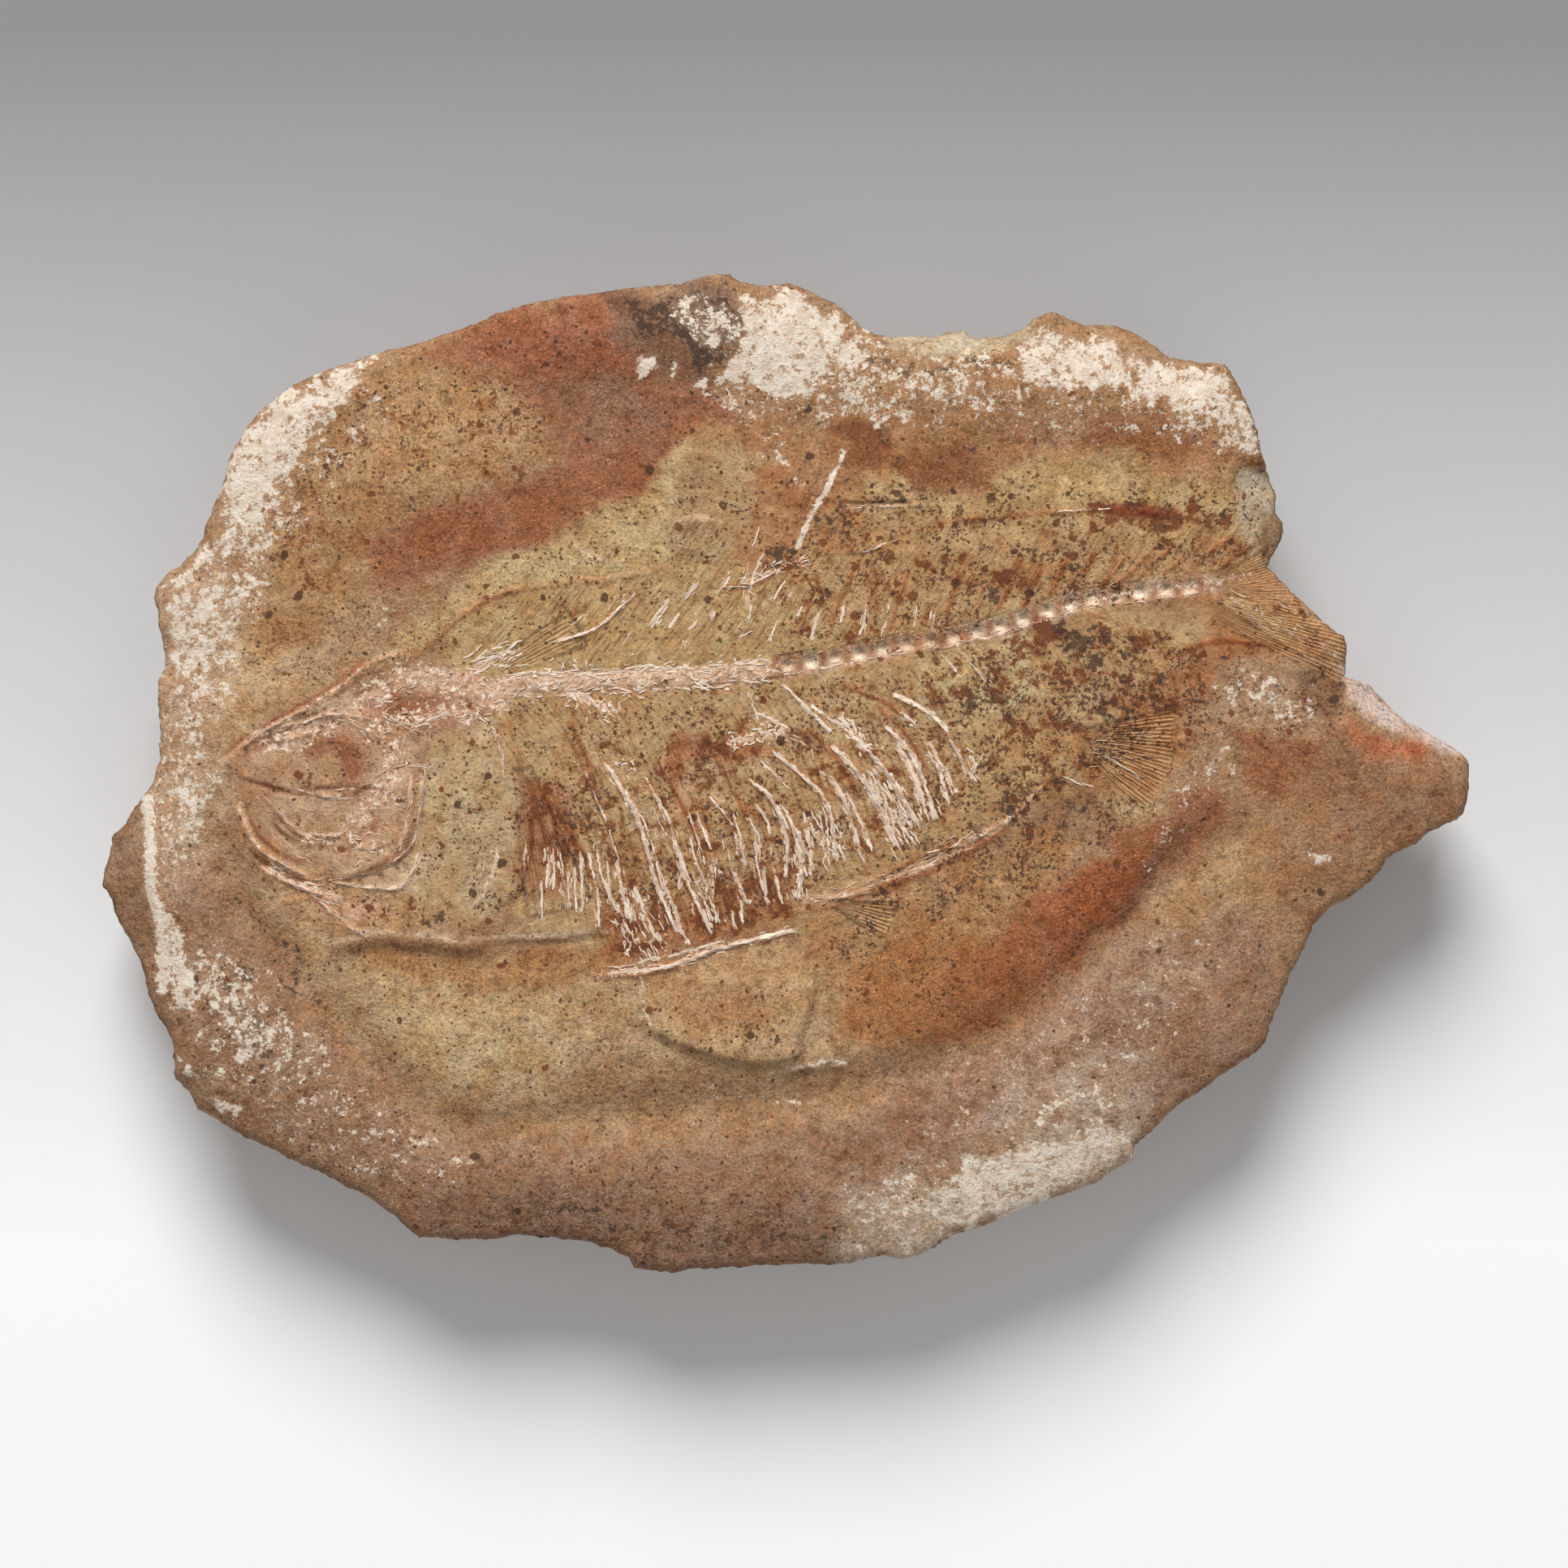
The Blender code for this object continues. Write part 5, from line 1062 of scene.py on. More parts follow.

# Stains that follow a line, with painted shade and highlights along ledges and grooves: colour,
# strength, half-width, softness, points
STAINS_AND_PAINTED_SHADING = [
    ((168, 122, 92), 0.8, 0.5, 0.6, [(73.3, 120.4), (83.2, 119.2), (88.3, 117.2), (97.5, 114.9)]),
    ((120, 54, 34), 0.9, 0.8, 0.7, [(136.6, 62.8), (140, 62.9), (144.4, 63.4)]),
    ((150, 84, 50), 0.6, 0.4, 0.6, [(144.9, 80.9), (147, 79.7), (150.7, 78.9), (154.4, 79.3)]),
    ((196, 162, 134), 0.9, 1.2, 1, [(62, 84.6), (73, 83.9), (88, 83.2), (99.4, 81.9), (110.2, 79.9),
        (122.5, 77.5), (134.5, 73.9), (149, 71.9)]),
    ((196, 158, 132), 0.7, 0.8, 1, [(46, 86), (52, 83), (60, 84.4), (66, 83.8)]),
    ((212, 172, 136), 0.75, 0.4, 0.5, [(27.4, 93.8), (32, 90.5), (36.3, 88.1), (41.9, 84.7),
        (45.8, 81.6), (50.4, 80.1)]),
    # Painted shade in the groove below the head's upper profile
    ((124, 84, 60), 0.6, 0.25, 0.5, [(30, 93), (34.6, 90.6), (38.4, 88.8), (43.6, 86.4)]),
    ((112, 54, 28), 0.8, 0.35, 0.5, [(65, 96.2), (66.2, 100), (67.2, 103.6), (67.4, 106.4)]),
    ((112, 54, 28), 0.75, 0.25, 0.4, [(65.5, 100.6), (65.1, 105.6)]),
    ((112, 54, 28), 0.75, 0.3, 0.4, [(66.6, 101), (68.2, 104.8), (69.6, 107.8)]),
    ((116, 58, 32), 0.7, 0.25, 0.4, [(69.8, 99.6), (71.2, 105.6), (71.6, 108.4)]),
    ((116, 58, 32), 0.7, 0.25, 0.4, [(71.6, 100.8), (73.6, 105.8), (74.6, 110)]),
    ((120, 62, 36), 0.7, 0.25, 0.4, [(69.6, 90.8), (71.4, 93.8), (73, 96.6)]),
    ((120, 62, 36), 0.65, 0.2, 0.4, [(71.8, 92.6), (73.6, 95.4), (75.2, 98.6)]),
    ((120, 62, 36), 0.65, 0.2, 0.4, [(76, 98.4), (77.6, 103.6), (79.4, 109)]),
    ((146, 84, 50), 0.75, 0.2, 0.4, [(27.4, 93.3), (31, 90.2), (36, 87.6), (41, 84.5), (45, 81.5)]),
    ((150, 90, 56), 0.7, 0.2, 0.35, [(29.8, 97.6), (31.4, 101.6), (33.8, 104.4), (37.8, 106.4)]),
    ((150, 90, 58), 0.65, 0.2, 0.35, [(51.1, 95.4), (50.9, 101), (50, 104.4), (46, 106.9)]),
    ((150, 92, 60), 0.65, 0.2, 0.35, [(33, 98.8), (36, 102), (39.2, 104), (41.6, 103.6)]),
    ((146, 88, 54), 0.6, 0.2, 0.4, [(32.6, 107.4), (36.6, 109.6), (41, 112), (44.4, 115.2)]),
    ((136, 78, 56), 0.6, 0.25, 0.5, [(46.6, 83.6), (49.4, 86.6), (52, 87.4), (55, 86.6)]),
    ((136, 78, 56), 0.6, 0.25, 0.5, [(44.2, 98.6), (46.4, 100.6), (45.6, 103), (42.6, 104.6)]),
    ((206, 172, 140), 0.8, 0.4, 0.5, [(34, 89.9), (38, 88.1), (43.4, 85.6)]),
    # Painted shade in the skull's grooves
    ((120, 74, 54), 0.8, 0.3, 0.4, [(30.4, 96), (34.1, 97.2), (38, 98)]),
    ((120, 74, 54), 0.7, 0.3, 0.4, [(38.9, 97.2), (43.4, 97.1), (47.8, 97.4)]),
    ((120, 78, 56), 0.8, 0.35, 0.5, [(31, 104.6), (34.1, 107.3), (37.1, 108.4)]),
    ((206, 164, 124), 0.8, 0.5, 0.5, [(29.4, 99.4), (31.1, 103.5), (34.3, 106.1), (37.8, 107.9)]),
    ((208, 166, 132), 0.8, 0.4, 0.5, [(32.4, 106.8), (36.3, 108.9), (41.7, 110.7)]),
    ((206, 170, 136), 0.8, 0.4, 0.5, [(40.6, 112), (42.8, 114), (45.2, 115.1)]),
    ((204, 170, 136), 0.7, 0.3, 0.4, [(50.8, 95.8), (50.4, 100.9), (49.7, 103.6)]),
    ((204, 170, 136), 0.7, 0.25, 0.4, [(52.2, 95.6), (51.9, 100.5), (51, 103.6)]),
    ((208, 174, 140), 0.8, 0.3, 0.4, [(40.8, 108.6), (46.3, 109.4), (50, 109.1), (51.6, 106.1)]),
    ((150, 92, 60), 0.6, 0.4, 0.5, [(50.6, 81.2), (54.4, 78), (57.6, 75.4), (62, 73)]),
    ((190, 150, 112), 0.5, 0.35, 0.5, [(50.6, 80.6), (53.9, 78.2), (56.9, 75.7), (61.7, 72.9),
        (68.4, 71.8), (76.2, 71), (82.5, 69.7)]),
    ((200, 160, 124), 0.75, 0.5, 0.5, [(98.6, 110.6), (103.4, 110.4), (108.1, 108.6),
        (115.3, 106.2), (120, 103.5), (124.4, 100.8), (128.2, 97.4)]),
    ((204, 164, 126), 0.8, 0.45, 0.5, [(99.4, 111.2), (103, 111), (106.6, 110.8), (110, 110.3)]),
    ((186, 152, 112), 0.8, 1.2, 1.2, [(104.6, 112.2), (107.4, 112.9), (109, 113.6)]),
    ((150, 88, 56), 0.6, 0.4, 0.6, [(100, 111.6), (106, 110.8), (112, 108.6), (118, 106),
        (124, 102.2)]),
    # Painted highlight on the lip of the small ledge and painted shadow just beneath it
    ((206, 180, 152), 0.65, 0.2, 0.35, [(61, 115.4), (68, 115.3), (72, 114.9), (76, 114.6)]),
    ((112, 82, 60), 0.6, 0.25, 0.5, [(61, 116.1), (68, 115.9), (72, 115.5), (76, 115.2)]),
    # Painted shadow under the throat ledge, then a painted highlight on its lip
    ((128, 90, 62), 0.6, 0.8, 1.6, [(41, 117.4), (46.4, 116.6), (52, 117.2), (58.6, 117.6)]),
    ((208, 184, 156), 0.6, 0.2, 0.4, [(39.6, 116), (43, 115.8), (46.4, 114.7), (49.6, 115),
        (53.6, 115.1), (56.4, 115.9), (60.2, 115.6)]),
    ((206, 176, 146), 0.7, 0.3, 0.4, [(104.4, 62.6), (111.3, 62.4)]),
    # Painted shade in the groove beside the pale bone line
    ((96, 70, 48), 0.8, 0.2, 0.3, [(103.6, 61.9), (108, 61.8), (112, 62)]),
    # Painted highlight on the up-facing slope of the dorsal fin's small ledge
    ((205, 178, 150), 0.6, 0.35, 0.5, [(83.4, 64.5), (85.7, 63.8), (88.7, 64.2)]),
    ((206, 178, 148), 0.6, 0.25, 0.4, [(70.2, 67), (73.4, 68.9), (76.7, 69.1), (78.6, 68.1)]),
]

# Chalky white crust: cover, softness, outline
CRUST = [
    (0.6, 3, [(26, 66), (28, 55), (34, 47.6), (40, 44.6), (47, 42.6), (45, 47), (41, 52),
        (37.6, 57), (34, 63), (30, 68), (26, 70), (22, 73), (19, 76), (19, 71)]),
    (0.47, 5, [(30, 64), (37, 57), (44, 48), (47, 46), (42, 54), (37, 62), (34, 68), (29, 72)]),
    (0.55, 4, [(19, 73), (28, 70), (34, 68), (32, 73), (28, 76), (24, 80), (19.6, 82)]),
    (0.5, 4, [(22, 74), (32, 64), (36, 66), (33, 74), (28, 82), (21, 84)]),
    (0.36, 6, [(30, 66), (44, 48), (50, 44), (48, 52), (40, 62), (36, 72), (30, 80), (24, 84)]),
    (0.56, 2.5, [(20, 78), (27, 77), (28, 81), (24, 84), (20.6, 83)]),
    (0.41, 3, [(19, 84), (25, 84), (26, 90), (21, 96), (19, 92)]),
    (0.54, 2.5, [(19.6, 94), (24, 96), (26, 100), (24, 104), (21, 102)]),
    (0.45, 2.5, [(20, 103), (24, 106), (23, 110), (21, 110)]),
    (0.56, 2, [(19, 112), (22, 112), (24, 118), (25, 123), (22, 124), (19.6, 119)]),
    (0.5, 2.5, [(24, 117), (28, 119), (33, 124), (35, 130), (30, 131), (26, 126), (23, 122)]),
    (0.4, 3, [(26, 114), (32, 120), (38, 126), (42, 133), (36, 134), (28, 126)]),
    (0.63, 1.2, [(22, 130), (24.4, 131), (25, 133.6), (22.6, 133)]),
    (0.65, 1, [(24.8, 135.2), (28, 134.6), (30, 135.4), (27, 137.2)]),
    (0.54, 1.2, [(37, 138), (38.6, 138), (38.4, 140.4), (37, 140)]),
    (0.64, 1.5, [(90.4, 39), (93, 37), (98, 36), (101, 38.6), (102, 42), (100, 46), (95, 46.6),
        (91, 47)]),
    (0.5, 2, [(100, 38), (105, 41), (109, 44), (106, 47), (101, 47), (99, 45)]),
    (0.49, 1.5, [(83, 35.4), (88, 36), (91, 40), (90, 44), (86, 42), (83, 38)]),
    (0.45, 2, [(88, 46), (92, 46), (92, 52), (89, 52)]),
    (0.72, 0.8, [(78.2, 43.8), (80.4, 43.6), (80.2, 45.8), (78.6, 46)]),
    (0.72, 0.8, [(81.4, 44.2), (83.2, 44.6), (82.6, 46.4)]),
    (0.72, 0.8, [(84.8, 46.8), (88.2, 46), (87.8, 48.6), (85.4, 48)]),
    (0.41, 2, [(107, 43.6), (118, 44.6), (126, 44), (126, 48), (112, 48.6), (106, 48)]),
    (0.58, 1.5, [(125, 42), (128, 40.4), (131, 41), (133, 44), (132, 47), (127, 47)]),
    (0.45, 2, [(131, 40), (138, 41), (140, 45), (133, 47.6)]),
    (0.6, 1.5, [(139, 43.6), (144, 45), (150, 45.6), (153, 48), (151, 51), (145, 49.6),
        (139.6, 48)]),
    (0.5, 2, [(149, 48), (154, 50), (155.4, 54), (153, 58), (150, 57), (150, 52)]),
    (0.38, 4, [(100, 47), (120, 47.6), (140, 48.6), (151, 51), (149, 55), (130, 52), (108, 52),
        (98, 51)]),
    (0.6, 3, [(114, 149), (119, 143), (127, 140.6), (136, 138.6), (140, 141), (131, 147.6),
        (117, 153.4)]),
    (0.41, 3, [(103, 147), (112, 143), (117, 146), (114, 154), (104, 155)]),
    (0.38, 3, [(118, 141), (128, 135), (137, 131), (140, 136), (130, 141)]),
    (0.27, 5, [(112, 134), (128, 124), (142, 113), (152, 114), (152, 124), (138, 134), (120, 140)]),
    (0.42, 3.4, [(149, 82), (156, 83), (163, 87), (161, 91), (154, 88.4), (149, 86)]),
    (0.33, 2.5, [(146, 91), (152, 91), (152, 97), (146, 103), (141, 108), (139, 107), (144, 99)]),
    (0.54, 1.2, [(161.4, 105), (164.4, 105.6), (164.6, 107.4), (162, 107)]),
    (0.45, 1.2, [(158.6, 102.4), (161, 103.4), (160, 105)]),
    (0.31, 2.5, [(46, 73), (52, 73), (50, 79), (46, 78)]),
    (0.36, 2.5, [(91, 52), (96, 52), (97, 56), (93, 58)]),
    (0.62, 1.8, [(90, 37), (99, 35.6), (104, 40), (108, 43.5), (107, 46), (101, 46), (101, 50),
        (97, 49), (93, 48), (90, 47), (91, 42)]),
    (0.48, 2.4, [(100, 45), (108, 47), (111, 51), (106, 52.5), (101, 51)]),
    (0.46, 2.4, [(109, 45), (122, 45.6), (123, 49.6), (112, 50.4)]),
    (0.58, 2, [(126, 42), (128, 40), (133, 40.5), (138, 42), (140, 45), (139, 48), (133, 48.8),
        (127, 48.4), (124, 46.4)]),
    (0.6, 2, [(139, 44), (146, 45), (151, 46), (154, 51), (156, 56), (152, 55), (149, 51.4),
        (143, 50), (139, 49)]),
    (0.5, 2.4, [(146, 49), (152, 50), (156.4, 57), (153, 58), (150, 55)]),
    (0.41, 5, [(19, 72), (28, 70), (30, 84), (27, 96), (25, 108), (20, 112), (17, 106), (18, 92)]),
    (0.36, 4, [(98, 38), (128, 43), (152, 46), (157, 56), (140, 55), (108, 52), (90, 54),
        (86, 44)]),
    (0.29, 6, [(100, 150), (112, 138), (128, 128), (142, 117), (152, 122), (142, 138), (128, 148),
        (110, 156)]),
    (0.34, 5, [(20, 112), (30, 116), (44, 132), (60, 142), (56, 148), (34, 142), (22, 130)]),
]

# Crust and mineral veins that follow a line: cover, half-width, softness, points
VEINS = [
    (0.74, 0.45, 0.9, [(104, 55.7), (103.4, 56.9), (101.7, 60.7), (99.8, 63.8), (98.3, 67.4)]),
    (0.76, 0.8, 1.2, [(17.9, 98.5), (18.4, 104), (18.3, 108), (19.4, 113), (20, 119), (20, 122)]),
    (0.62, 0.25, 0.5, [(87.6, 133), (88.6, 136.5)]),
    (0.56, 0.25, 0.5, [(89.9, 135.6), (94, 135.4), (99.8, 136.3)]),
    (0.5, 0.6, 0.8, [(97, 131.4), (101.6, 131), (104.6, 130.6)]),
    (0.5, 0.4, 0.6, [(79.2, 120.4), (79.4, 124), (80.2, 126)]),
    (0.38, 0.6, 1, [(88, 49), (92, 52), (96, 56), (99, 60)]),
]

# Dark manganese film and dense specks: cover, softness, outline
DARK = [
    (0.8, 2, [(76, 37), (83, 35.6), (88, 35), (91, 38), (90, 45), (86, 46), (84, 42), (78, 41)]),
    (0.5, 3, [(72, 36), (92, 34), (104, 38), (102, 40), (90, 37), (76, 40)]),
    (0.62, 2, [(106, 43), (118, 43.8), (126, 44), (126, 47), (116, 47), (106, 47)]),
    (0.5, 3, [(128, 46), (146, 48), (155, 52), (154, 56), (138, 53), (126, 50)]),
    (0.42, 3, [(106, 48), (124, 50), (136, 54), (132, 58), (116, 58), (104, 54)]),
    (0.66, 3, [(26, 116), (31, 120), (36, 130), (33, 134), (27, 128)]),
    (0.52, 4, [(18, 112), (22, 118), (24, 130), (20, 126)]),
    (0.5, 3, [(26, 106), (32, 112), (40, 122), (48, 130), (46, 133), (36, 124), (28, 114)]),
    (0.52, 4, [(60, 146), (84, 148), (104, 150), (106, 156), (82, 157), (58, 153)]),
    (0.8, 1.5, [(93.5, 67), (97.6, 66.4), (98, 69.4), (94, 70)]),
    (0.62, 1.5, [(99.8, 62.6), (105, 63), (104, 66), (99.6, 66)]),
    (0.62, 2, [(121, 91), (126, 95), (128, 100), (125, 102), (121, 96)]),
    (0.52, 2.5, [(127, 97), (132, 94), (137, 96), (137, 100), (131, 104), (125, 106), (124, 101)]),
    (0.62, 1.6, [(131, 77), (136, 77), (139, 81), (134, 83), (130, 80)]),
    (0.5, 3, [(116, 84), (124, 82), (142, 81), (147, 86), (140, 92), (126, 91)]),
    (0.52, 3, [(158, 84), (166, 81), (167, 89), (160, 88)]),
    (0.48, 2.5, [(146, 80), (156, 80), (160, 86), (152, 86)]),
    (0.6, 2, [(52, 111.5), (56, 111.6), (56, 114.6), (52, 114.4)]),
    (0.5, 3, [(150, 99), (146, 103), (142, 108), (138, 113), (133, 119), (128, 123), (132, 116),
        (138, 108), (144, 101)]),
    (0.3, 3, [(96, 60), (130, 62), (150, 62), (150, 70), (120, 76), (98, 78)]),
    (0.46, 3, [(108, 104), (122, 100), (134, 101), (128, 110), (116, 113), (106, 112)]),
    (0.44, 2.5, [(104, 113), (110, 113), (112, 120), (106, 122)]),
]

# Black and rust specks: how thick they lie, softness, outline
SPECKS = [
    (0.8, 3, [(44, 47), (60, 46), (68, 49), (66, 56), (58, 58), (48, 58), (41, 62), (34, 72),
        (32, 66), (38, 56)]),
    (0.5, 4, [(32, 66), (46, 58), (62, 60), (50, 72), (48, 80), (36, 86), (28, 84)]),
    (0.7, 3, [(52, 90), (62, 88), (66, 98), (66, 112), (56, 116), (44, 115), (34, 108), (50, 104)]),
    (0.6, 3, [(46, 80), (62, 70), (84, 57), (98, 58), (98, 70), (84, 70), (96, 76), (62, 83)]),
    (0.88, 3, [(98, 58), (156, 59), (156, 68), (140, 74), (112, 80), (96, 80)]),
    (0.8, 3, [(62, 86), (120, 82), (118, 98), (100, 112), (74, 114), (62, 104)]),
    (1, 3, [(116, 80), (142, 77), (150, 80), (148, 90), (134, 96), (124, 104), (110, 108),
        (110, 98), (118, 90)]),
    (1, 3, [(104, 112), (122, 103), (136, 98), (142, 98), (134, 106), (126, 112), (118, 113),
        (104, 118)]),
    (0.7, 3, [(104, 112), (120, 112), (118, 124), (104, 126), (99, 118)]),
    (0.8, 3, [(138, 82), (166, 80), (168, 92), (150, 92), (134, 98)]),
    (0.45, 4, [(36, 116), (76, 118), (100, 124), (98, 136), (60, 138), (40, 128)]),
    (0.6, 2, [(84, 124), (98, 122), (97, 130), (86, 129)]),
    (0.5, 5, [(24, 112), (50, 140), (104, 144), (104, 156), (50, 154), (20, 128)]),
    (0.5, 5, [(56, 40), (90, 36), (104, 52), (80, 58), (60, 48)]),
    (0.6, 2, [(34, 90), (50, 86), (50, 98), (36, 100)]),
    (0.55, 3, [(118, 118), (130, 110), (140, 102), (144, 106), (132, 120), (120, 128)]),
]


# Blobs of manganese and rust: x, y, half-width, rust share
BLOBS = [
    (111, 59.7, 0.7, 0.1), (111.2, 61.4, 0.6, 0.1), (113, 59.5, 0.5, 0.1), (122, 61.2, 0.8, 0.2),
    (122.8, 60.8, 0.5, 0.1), (121.1, 70, 0.8, 0.1), (122.2, 73.5, 1.3, 0.1), (132.5, 70, 1.3, 0.2),
    (130.5, 77.3, 1.3, 0.1), (133.2, 79.1, 1.7, 0.1), (135, 81.5, 1.2, 0.1),
    (136.2, 80.5, 0.8, 0.1), (140.5, 79, 1.1, 0.8), (101.8, 73, 0.7, 0.1), (89, 67.3, 0.6, 0.3),
    (88.8, 74.2, 0.6, 0.3), (87, 74.5, 0.5, 0.2), (84.8, 72.5, 0.5, 0.3), (89, 79.4, 0.6, 0.2),
    (93.8, 79.7, 0.6, 0.3), (98.5, 77.5, 0.7, 0.2), (105.7, 76, 0.6, 0.2), (120, 86.8, 1.1, 0.1),
    (136, 87.5, 1.2, 0.1), (137, 86.5, 0.8, 0.1), (129, 78.2, 1.8, 1), (126.5, 80, 1.7, 0.9),
    (125.5, 72.5, 1.4, 1), (114, 69.5, 1, 1), (116.5, 69, 1, 1), (123.7, 71.2, 1.1, 1),
    (118.5, 69, 0.9, 1), (109.5, 68.5, 1, 1), (110.4, 71.7, 0.9, 0.8), (134.5, 65, 1, 0.9),
    (54.2, 112.8, 1.5, 0.3), (52.6, 113.6, 1, 0.3), (49.2, 112.8, 1.2, 0.35),
    (39.8, 91.4, 0.9, 0.5), (43.4, 92.8, 0.9, 0.55), (66.4, 100, 1.2, 0.9), (67.8, 103, 1.2, 0.9),
    (113.2, 80.8, 0.9, 0.9), (115.4, 81.4, 0.8, 0.9), (146.6, 85.4, 0.8, 0.2),
    (143, 83.4, 0.9, 0.2), (128.6, 90.6, 0.9, 0.2), (124, 88.2, 0.8, 0.2), (98.6, 86, 0.8, 0.4),
    (92.6, 84.6, 0.7, 0.3), (83.4, 92.6, 0.6, 0.3),
]

# Rust that soaked into the stone: cover, softness, outline
RUSTS = [
    (0.3, 3, [(28, 96), (34, 88), (46, 82), (60, 74), (82, 70), (96, 58), (156, 60), (164, 82),
        (146, 92), (128, 104), (104, 114), (76, 117), (44, 115), (32, 108)]),
    (0.46, 3, [(92, 58), (114, 62), (120, 70), (112, 79), (96, 80), (88, 74), (94, 66)]),
    (0.52, 3, [(118, 79), (142, 76), (152, 79), (146, 92), (132, 98), (124, 100), (114, 96),
        (110, 86)]),
    (0.5, 3, [(70, 92), (96, 88), (112, 92), (118, 100), (104, 110), (98, 114), (76, 116),
        (66, 108)]),
    (0.46, 2, [(64, 96), (69, 97), (71, 106), (67, 112), (64, 108)]),
    (0.66, 2, [(73.8, 112), (98, 107), (98, 114), (84, 118), (74, 118)]),
    (0.7, 2, [(86, 90), (92, 89.5), (93, 92.5), (86, 93)]),
    (0.34, 2, [(30, 96), (36, 90), (46, 90), (46, 99), (38, 102), (32, 101)]),
    (0.4, 2, [(46, 84), (62, 84), (62, 90), (48, 92)]),
    (0.74, 1.5, [(134, 61.5), (152, 62.5), (152, 65.6), (134, 65)]),
    (0.46, 2, [(110, 70), (150, 64), (156, 70), (130, 75), (112, 79)]),
    (0.42, 3, [(44, 48), (66, 46), (74, 54), (66, 60), (48, 66), (36, 80), (30, 84), (30, 68)]),
    (0.3, 3, [(104, 112), (122, 108), (120, 122), (104, 126)]),
    (0.45, 2, [(147, 72), (164, 75), (165, 83), (150, 81)]),
]

# Pale bone that lies in bands: cover, half-width, softness, points
BONE_BANDS = [
    (0.54, 1.1, 1.7, [(60, 84.6), (73, 83.6), (88, 83), (95, 82.2)]),
    (0.5, 0.2, 0.6, [(95.6, 83.2), (99.4, 82.6), (104.8, 81.7), (110.2, 80.6), (114.7, 80),
        (118.6, 79.2), (122.5, 78.3), (126.2, 77.2), (130.4, 75.8), (134.5, 74.8)]),
    (0.46, 0.6, 1, [(134.5, 73.7), (141.6, 72.8), (149, 71.8), (154, 70.6)]),
    (0.4, 1.5, 2, [(46, 86), (52, 84), (60, 85.5)]),
    (0.34, 1, 1.6, [(76, 115.5), (84, 117)]),
    (0.33, 2.6, 5, [(76, 111), (84, 109), (94, 106), (104, 102), (112, 98)]),
    (0.3, 2.2, 4, [(104, 92), (112, 93), (118, 93)]),
    (0.3, 1.6, 3.6, [(66, 86.6), (82, 86.6), (94, 86)]),
    (0.3, 1.4, 3, [(84, 76), (98, 73.6), (110, 72)]),
    (0.4, 1.4, 1.8, [(100, 101.5), (104, 105)]),
    (0.46, 1.2, 1.8, [(107.5, 98), (112, 102)]),
    (0.6, 0.8, 1.4, [(70, 85.5), (76, 87.4)]),
    (0.62, 0.7, 1.2, [(90, 91.4), (96, 90.2)]),
    (0.42, 0.5, 1, [(88.7, 72.4), (95.6, 70.3), (99.4, 69.1)]),
    (0.5, 1.6, 3, [(44, 86.6), (50, 83), (56, 83.4), (62, 87)]),
    (0.46, 1.8, 3, [(46, 90), (50, 88.4), (58, 87.6)]),
    (0.5, 1.8, 3, [(43.4, 101), (46.6, 98.6), (48.6, 95), (48.2, 92)]),
    (0.46, 1.2, 2, [(38, 103), (43, 103.6), (47, 104.4)]),
    (0.42, 2, 2.8, [(33, 92), (40, 89.6)]),
    (0.8, 0.12, 0.45, [(37.8, 96.8), (38.9, 97.8), (40.2, 98.1), (42.6, 97.9)]),
    (0.62, 0.2, 0.7, [(31.3, 91), (35.4, 89.6), (40.2, 88.2), (43.9, 88.2), (47.3, 89.1)]),
    (0.54, 0.2, 0.7, [(27.6, 93.4), (32, 90.3), (36.3, 87.9), (41.9, 84.5), (45.8, 81.4)]),
    (0.76, 0.16, 0.5, [(50.9, 95.6), (50.6, 99.4), (50.2, 102.2), (49.6, 104)]),
    (0.8, 0.1, 0.45, [(52.3, 96.6), (52.1, 100), (51.5, 103.2)]),
    (0.62, 0.24, 0.6, [(29.4, 99.8), (31.1, 103.5), (34.3, 106.1), (37.8, 107.9)]),
    (0.6, 0.35, 0.8, [(32.4, 106.8), (36.3, 108.9), (41.7, 110.7)]),
    (0.6, 0.25, 0.7, [(40.4, 111.9), (42.8, 114), (45.4, 115.5)]),
    (0.82, 0.12, 0.45, [(40.8, 108.6), (46.3, 109.3), (50, 108.9), (51.6, 106.4)]),
    (0.8, 0.25, 0.7, [(61.5, 105.4), (60.1, 109.5), (58.4, 111.7)]),
    (0.62, 0.3, 0.5, [(60.8, 104.8), (62.3, 104.8)]),
    (0.52, 0.9, 1.4, [(58.5, 82.4), (63, 80.2)]),
    (0.5, 0.8, 1.4, [(98, 104), (98.6, 110)]),
    (0.5, 1, 1.6, [(103.4, 88.4), (106.6, 91.6)]),
    (0.44, 0.5, 1, [(73.3, 120.2), (83.2, 118.9), (88.3, 116.9), (97.5, 114.6)]),
    (0.4, 0.4, 0.9, [(98.6, 110.6), (103.4, 110.2), (108.1, 108.6), (115.3, 106.2),
        (124.4, 100.8)]),
    (0.34, 0.6, 1, [(150, 73), (158, 77), (165, 81)]),
]

# Where fibres show along the bones: cover, softness, outline
FIBRES = [
    (0.7, 3, [(62, 86), (90, 84), (118, 82), (122, 92), (118, 99), (104, 108), (98, 113), (76, 117),
        (64, 114), (64, 100)]),
    (0.55, 3, [(112, 80), (140, 76), (150, 78), (140, 90), (124, 94), (116, 90)]),
    (0.8, 2.5, [(58, 80), (66, 73), (84, 70), (98, 69), (98, 80), (70, 82.5)]),
    (0.7, 2.5, [(96, 68), (124, 66), (156, 64), (156, 70), (140, 72), (118, 77), (98, 80)]),
    (0.8, 2, [(83, 64), (90, 64), (92, 70), (83, 70)]),
    (0.35, 2, [(34, 90), (48, 84), (60, 86), (52, 92), (50, 104), (42, 106), (34, 100)]),
    (0.8, 2, [(63, 92), (68, 94), (73, 106), (68, 113), (65, 104)]),
]

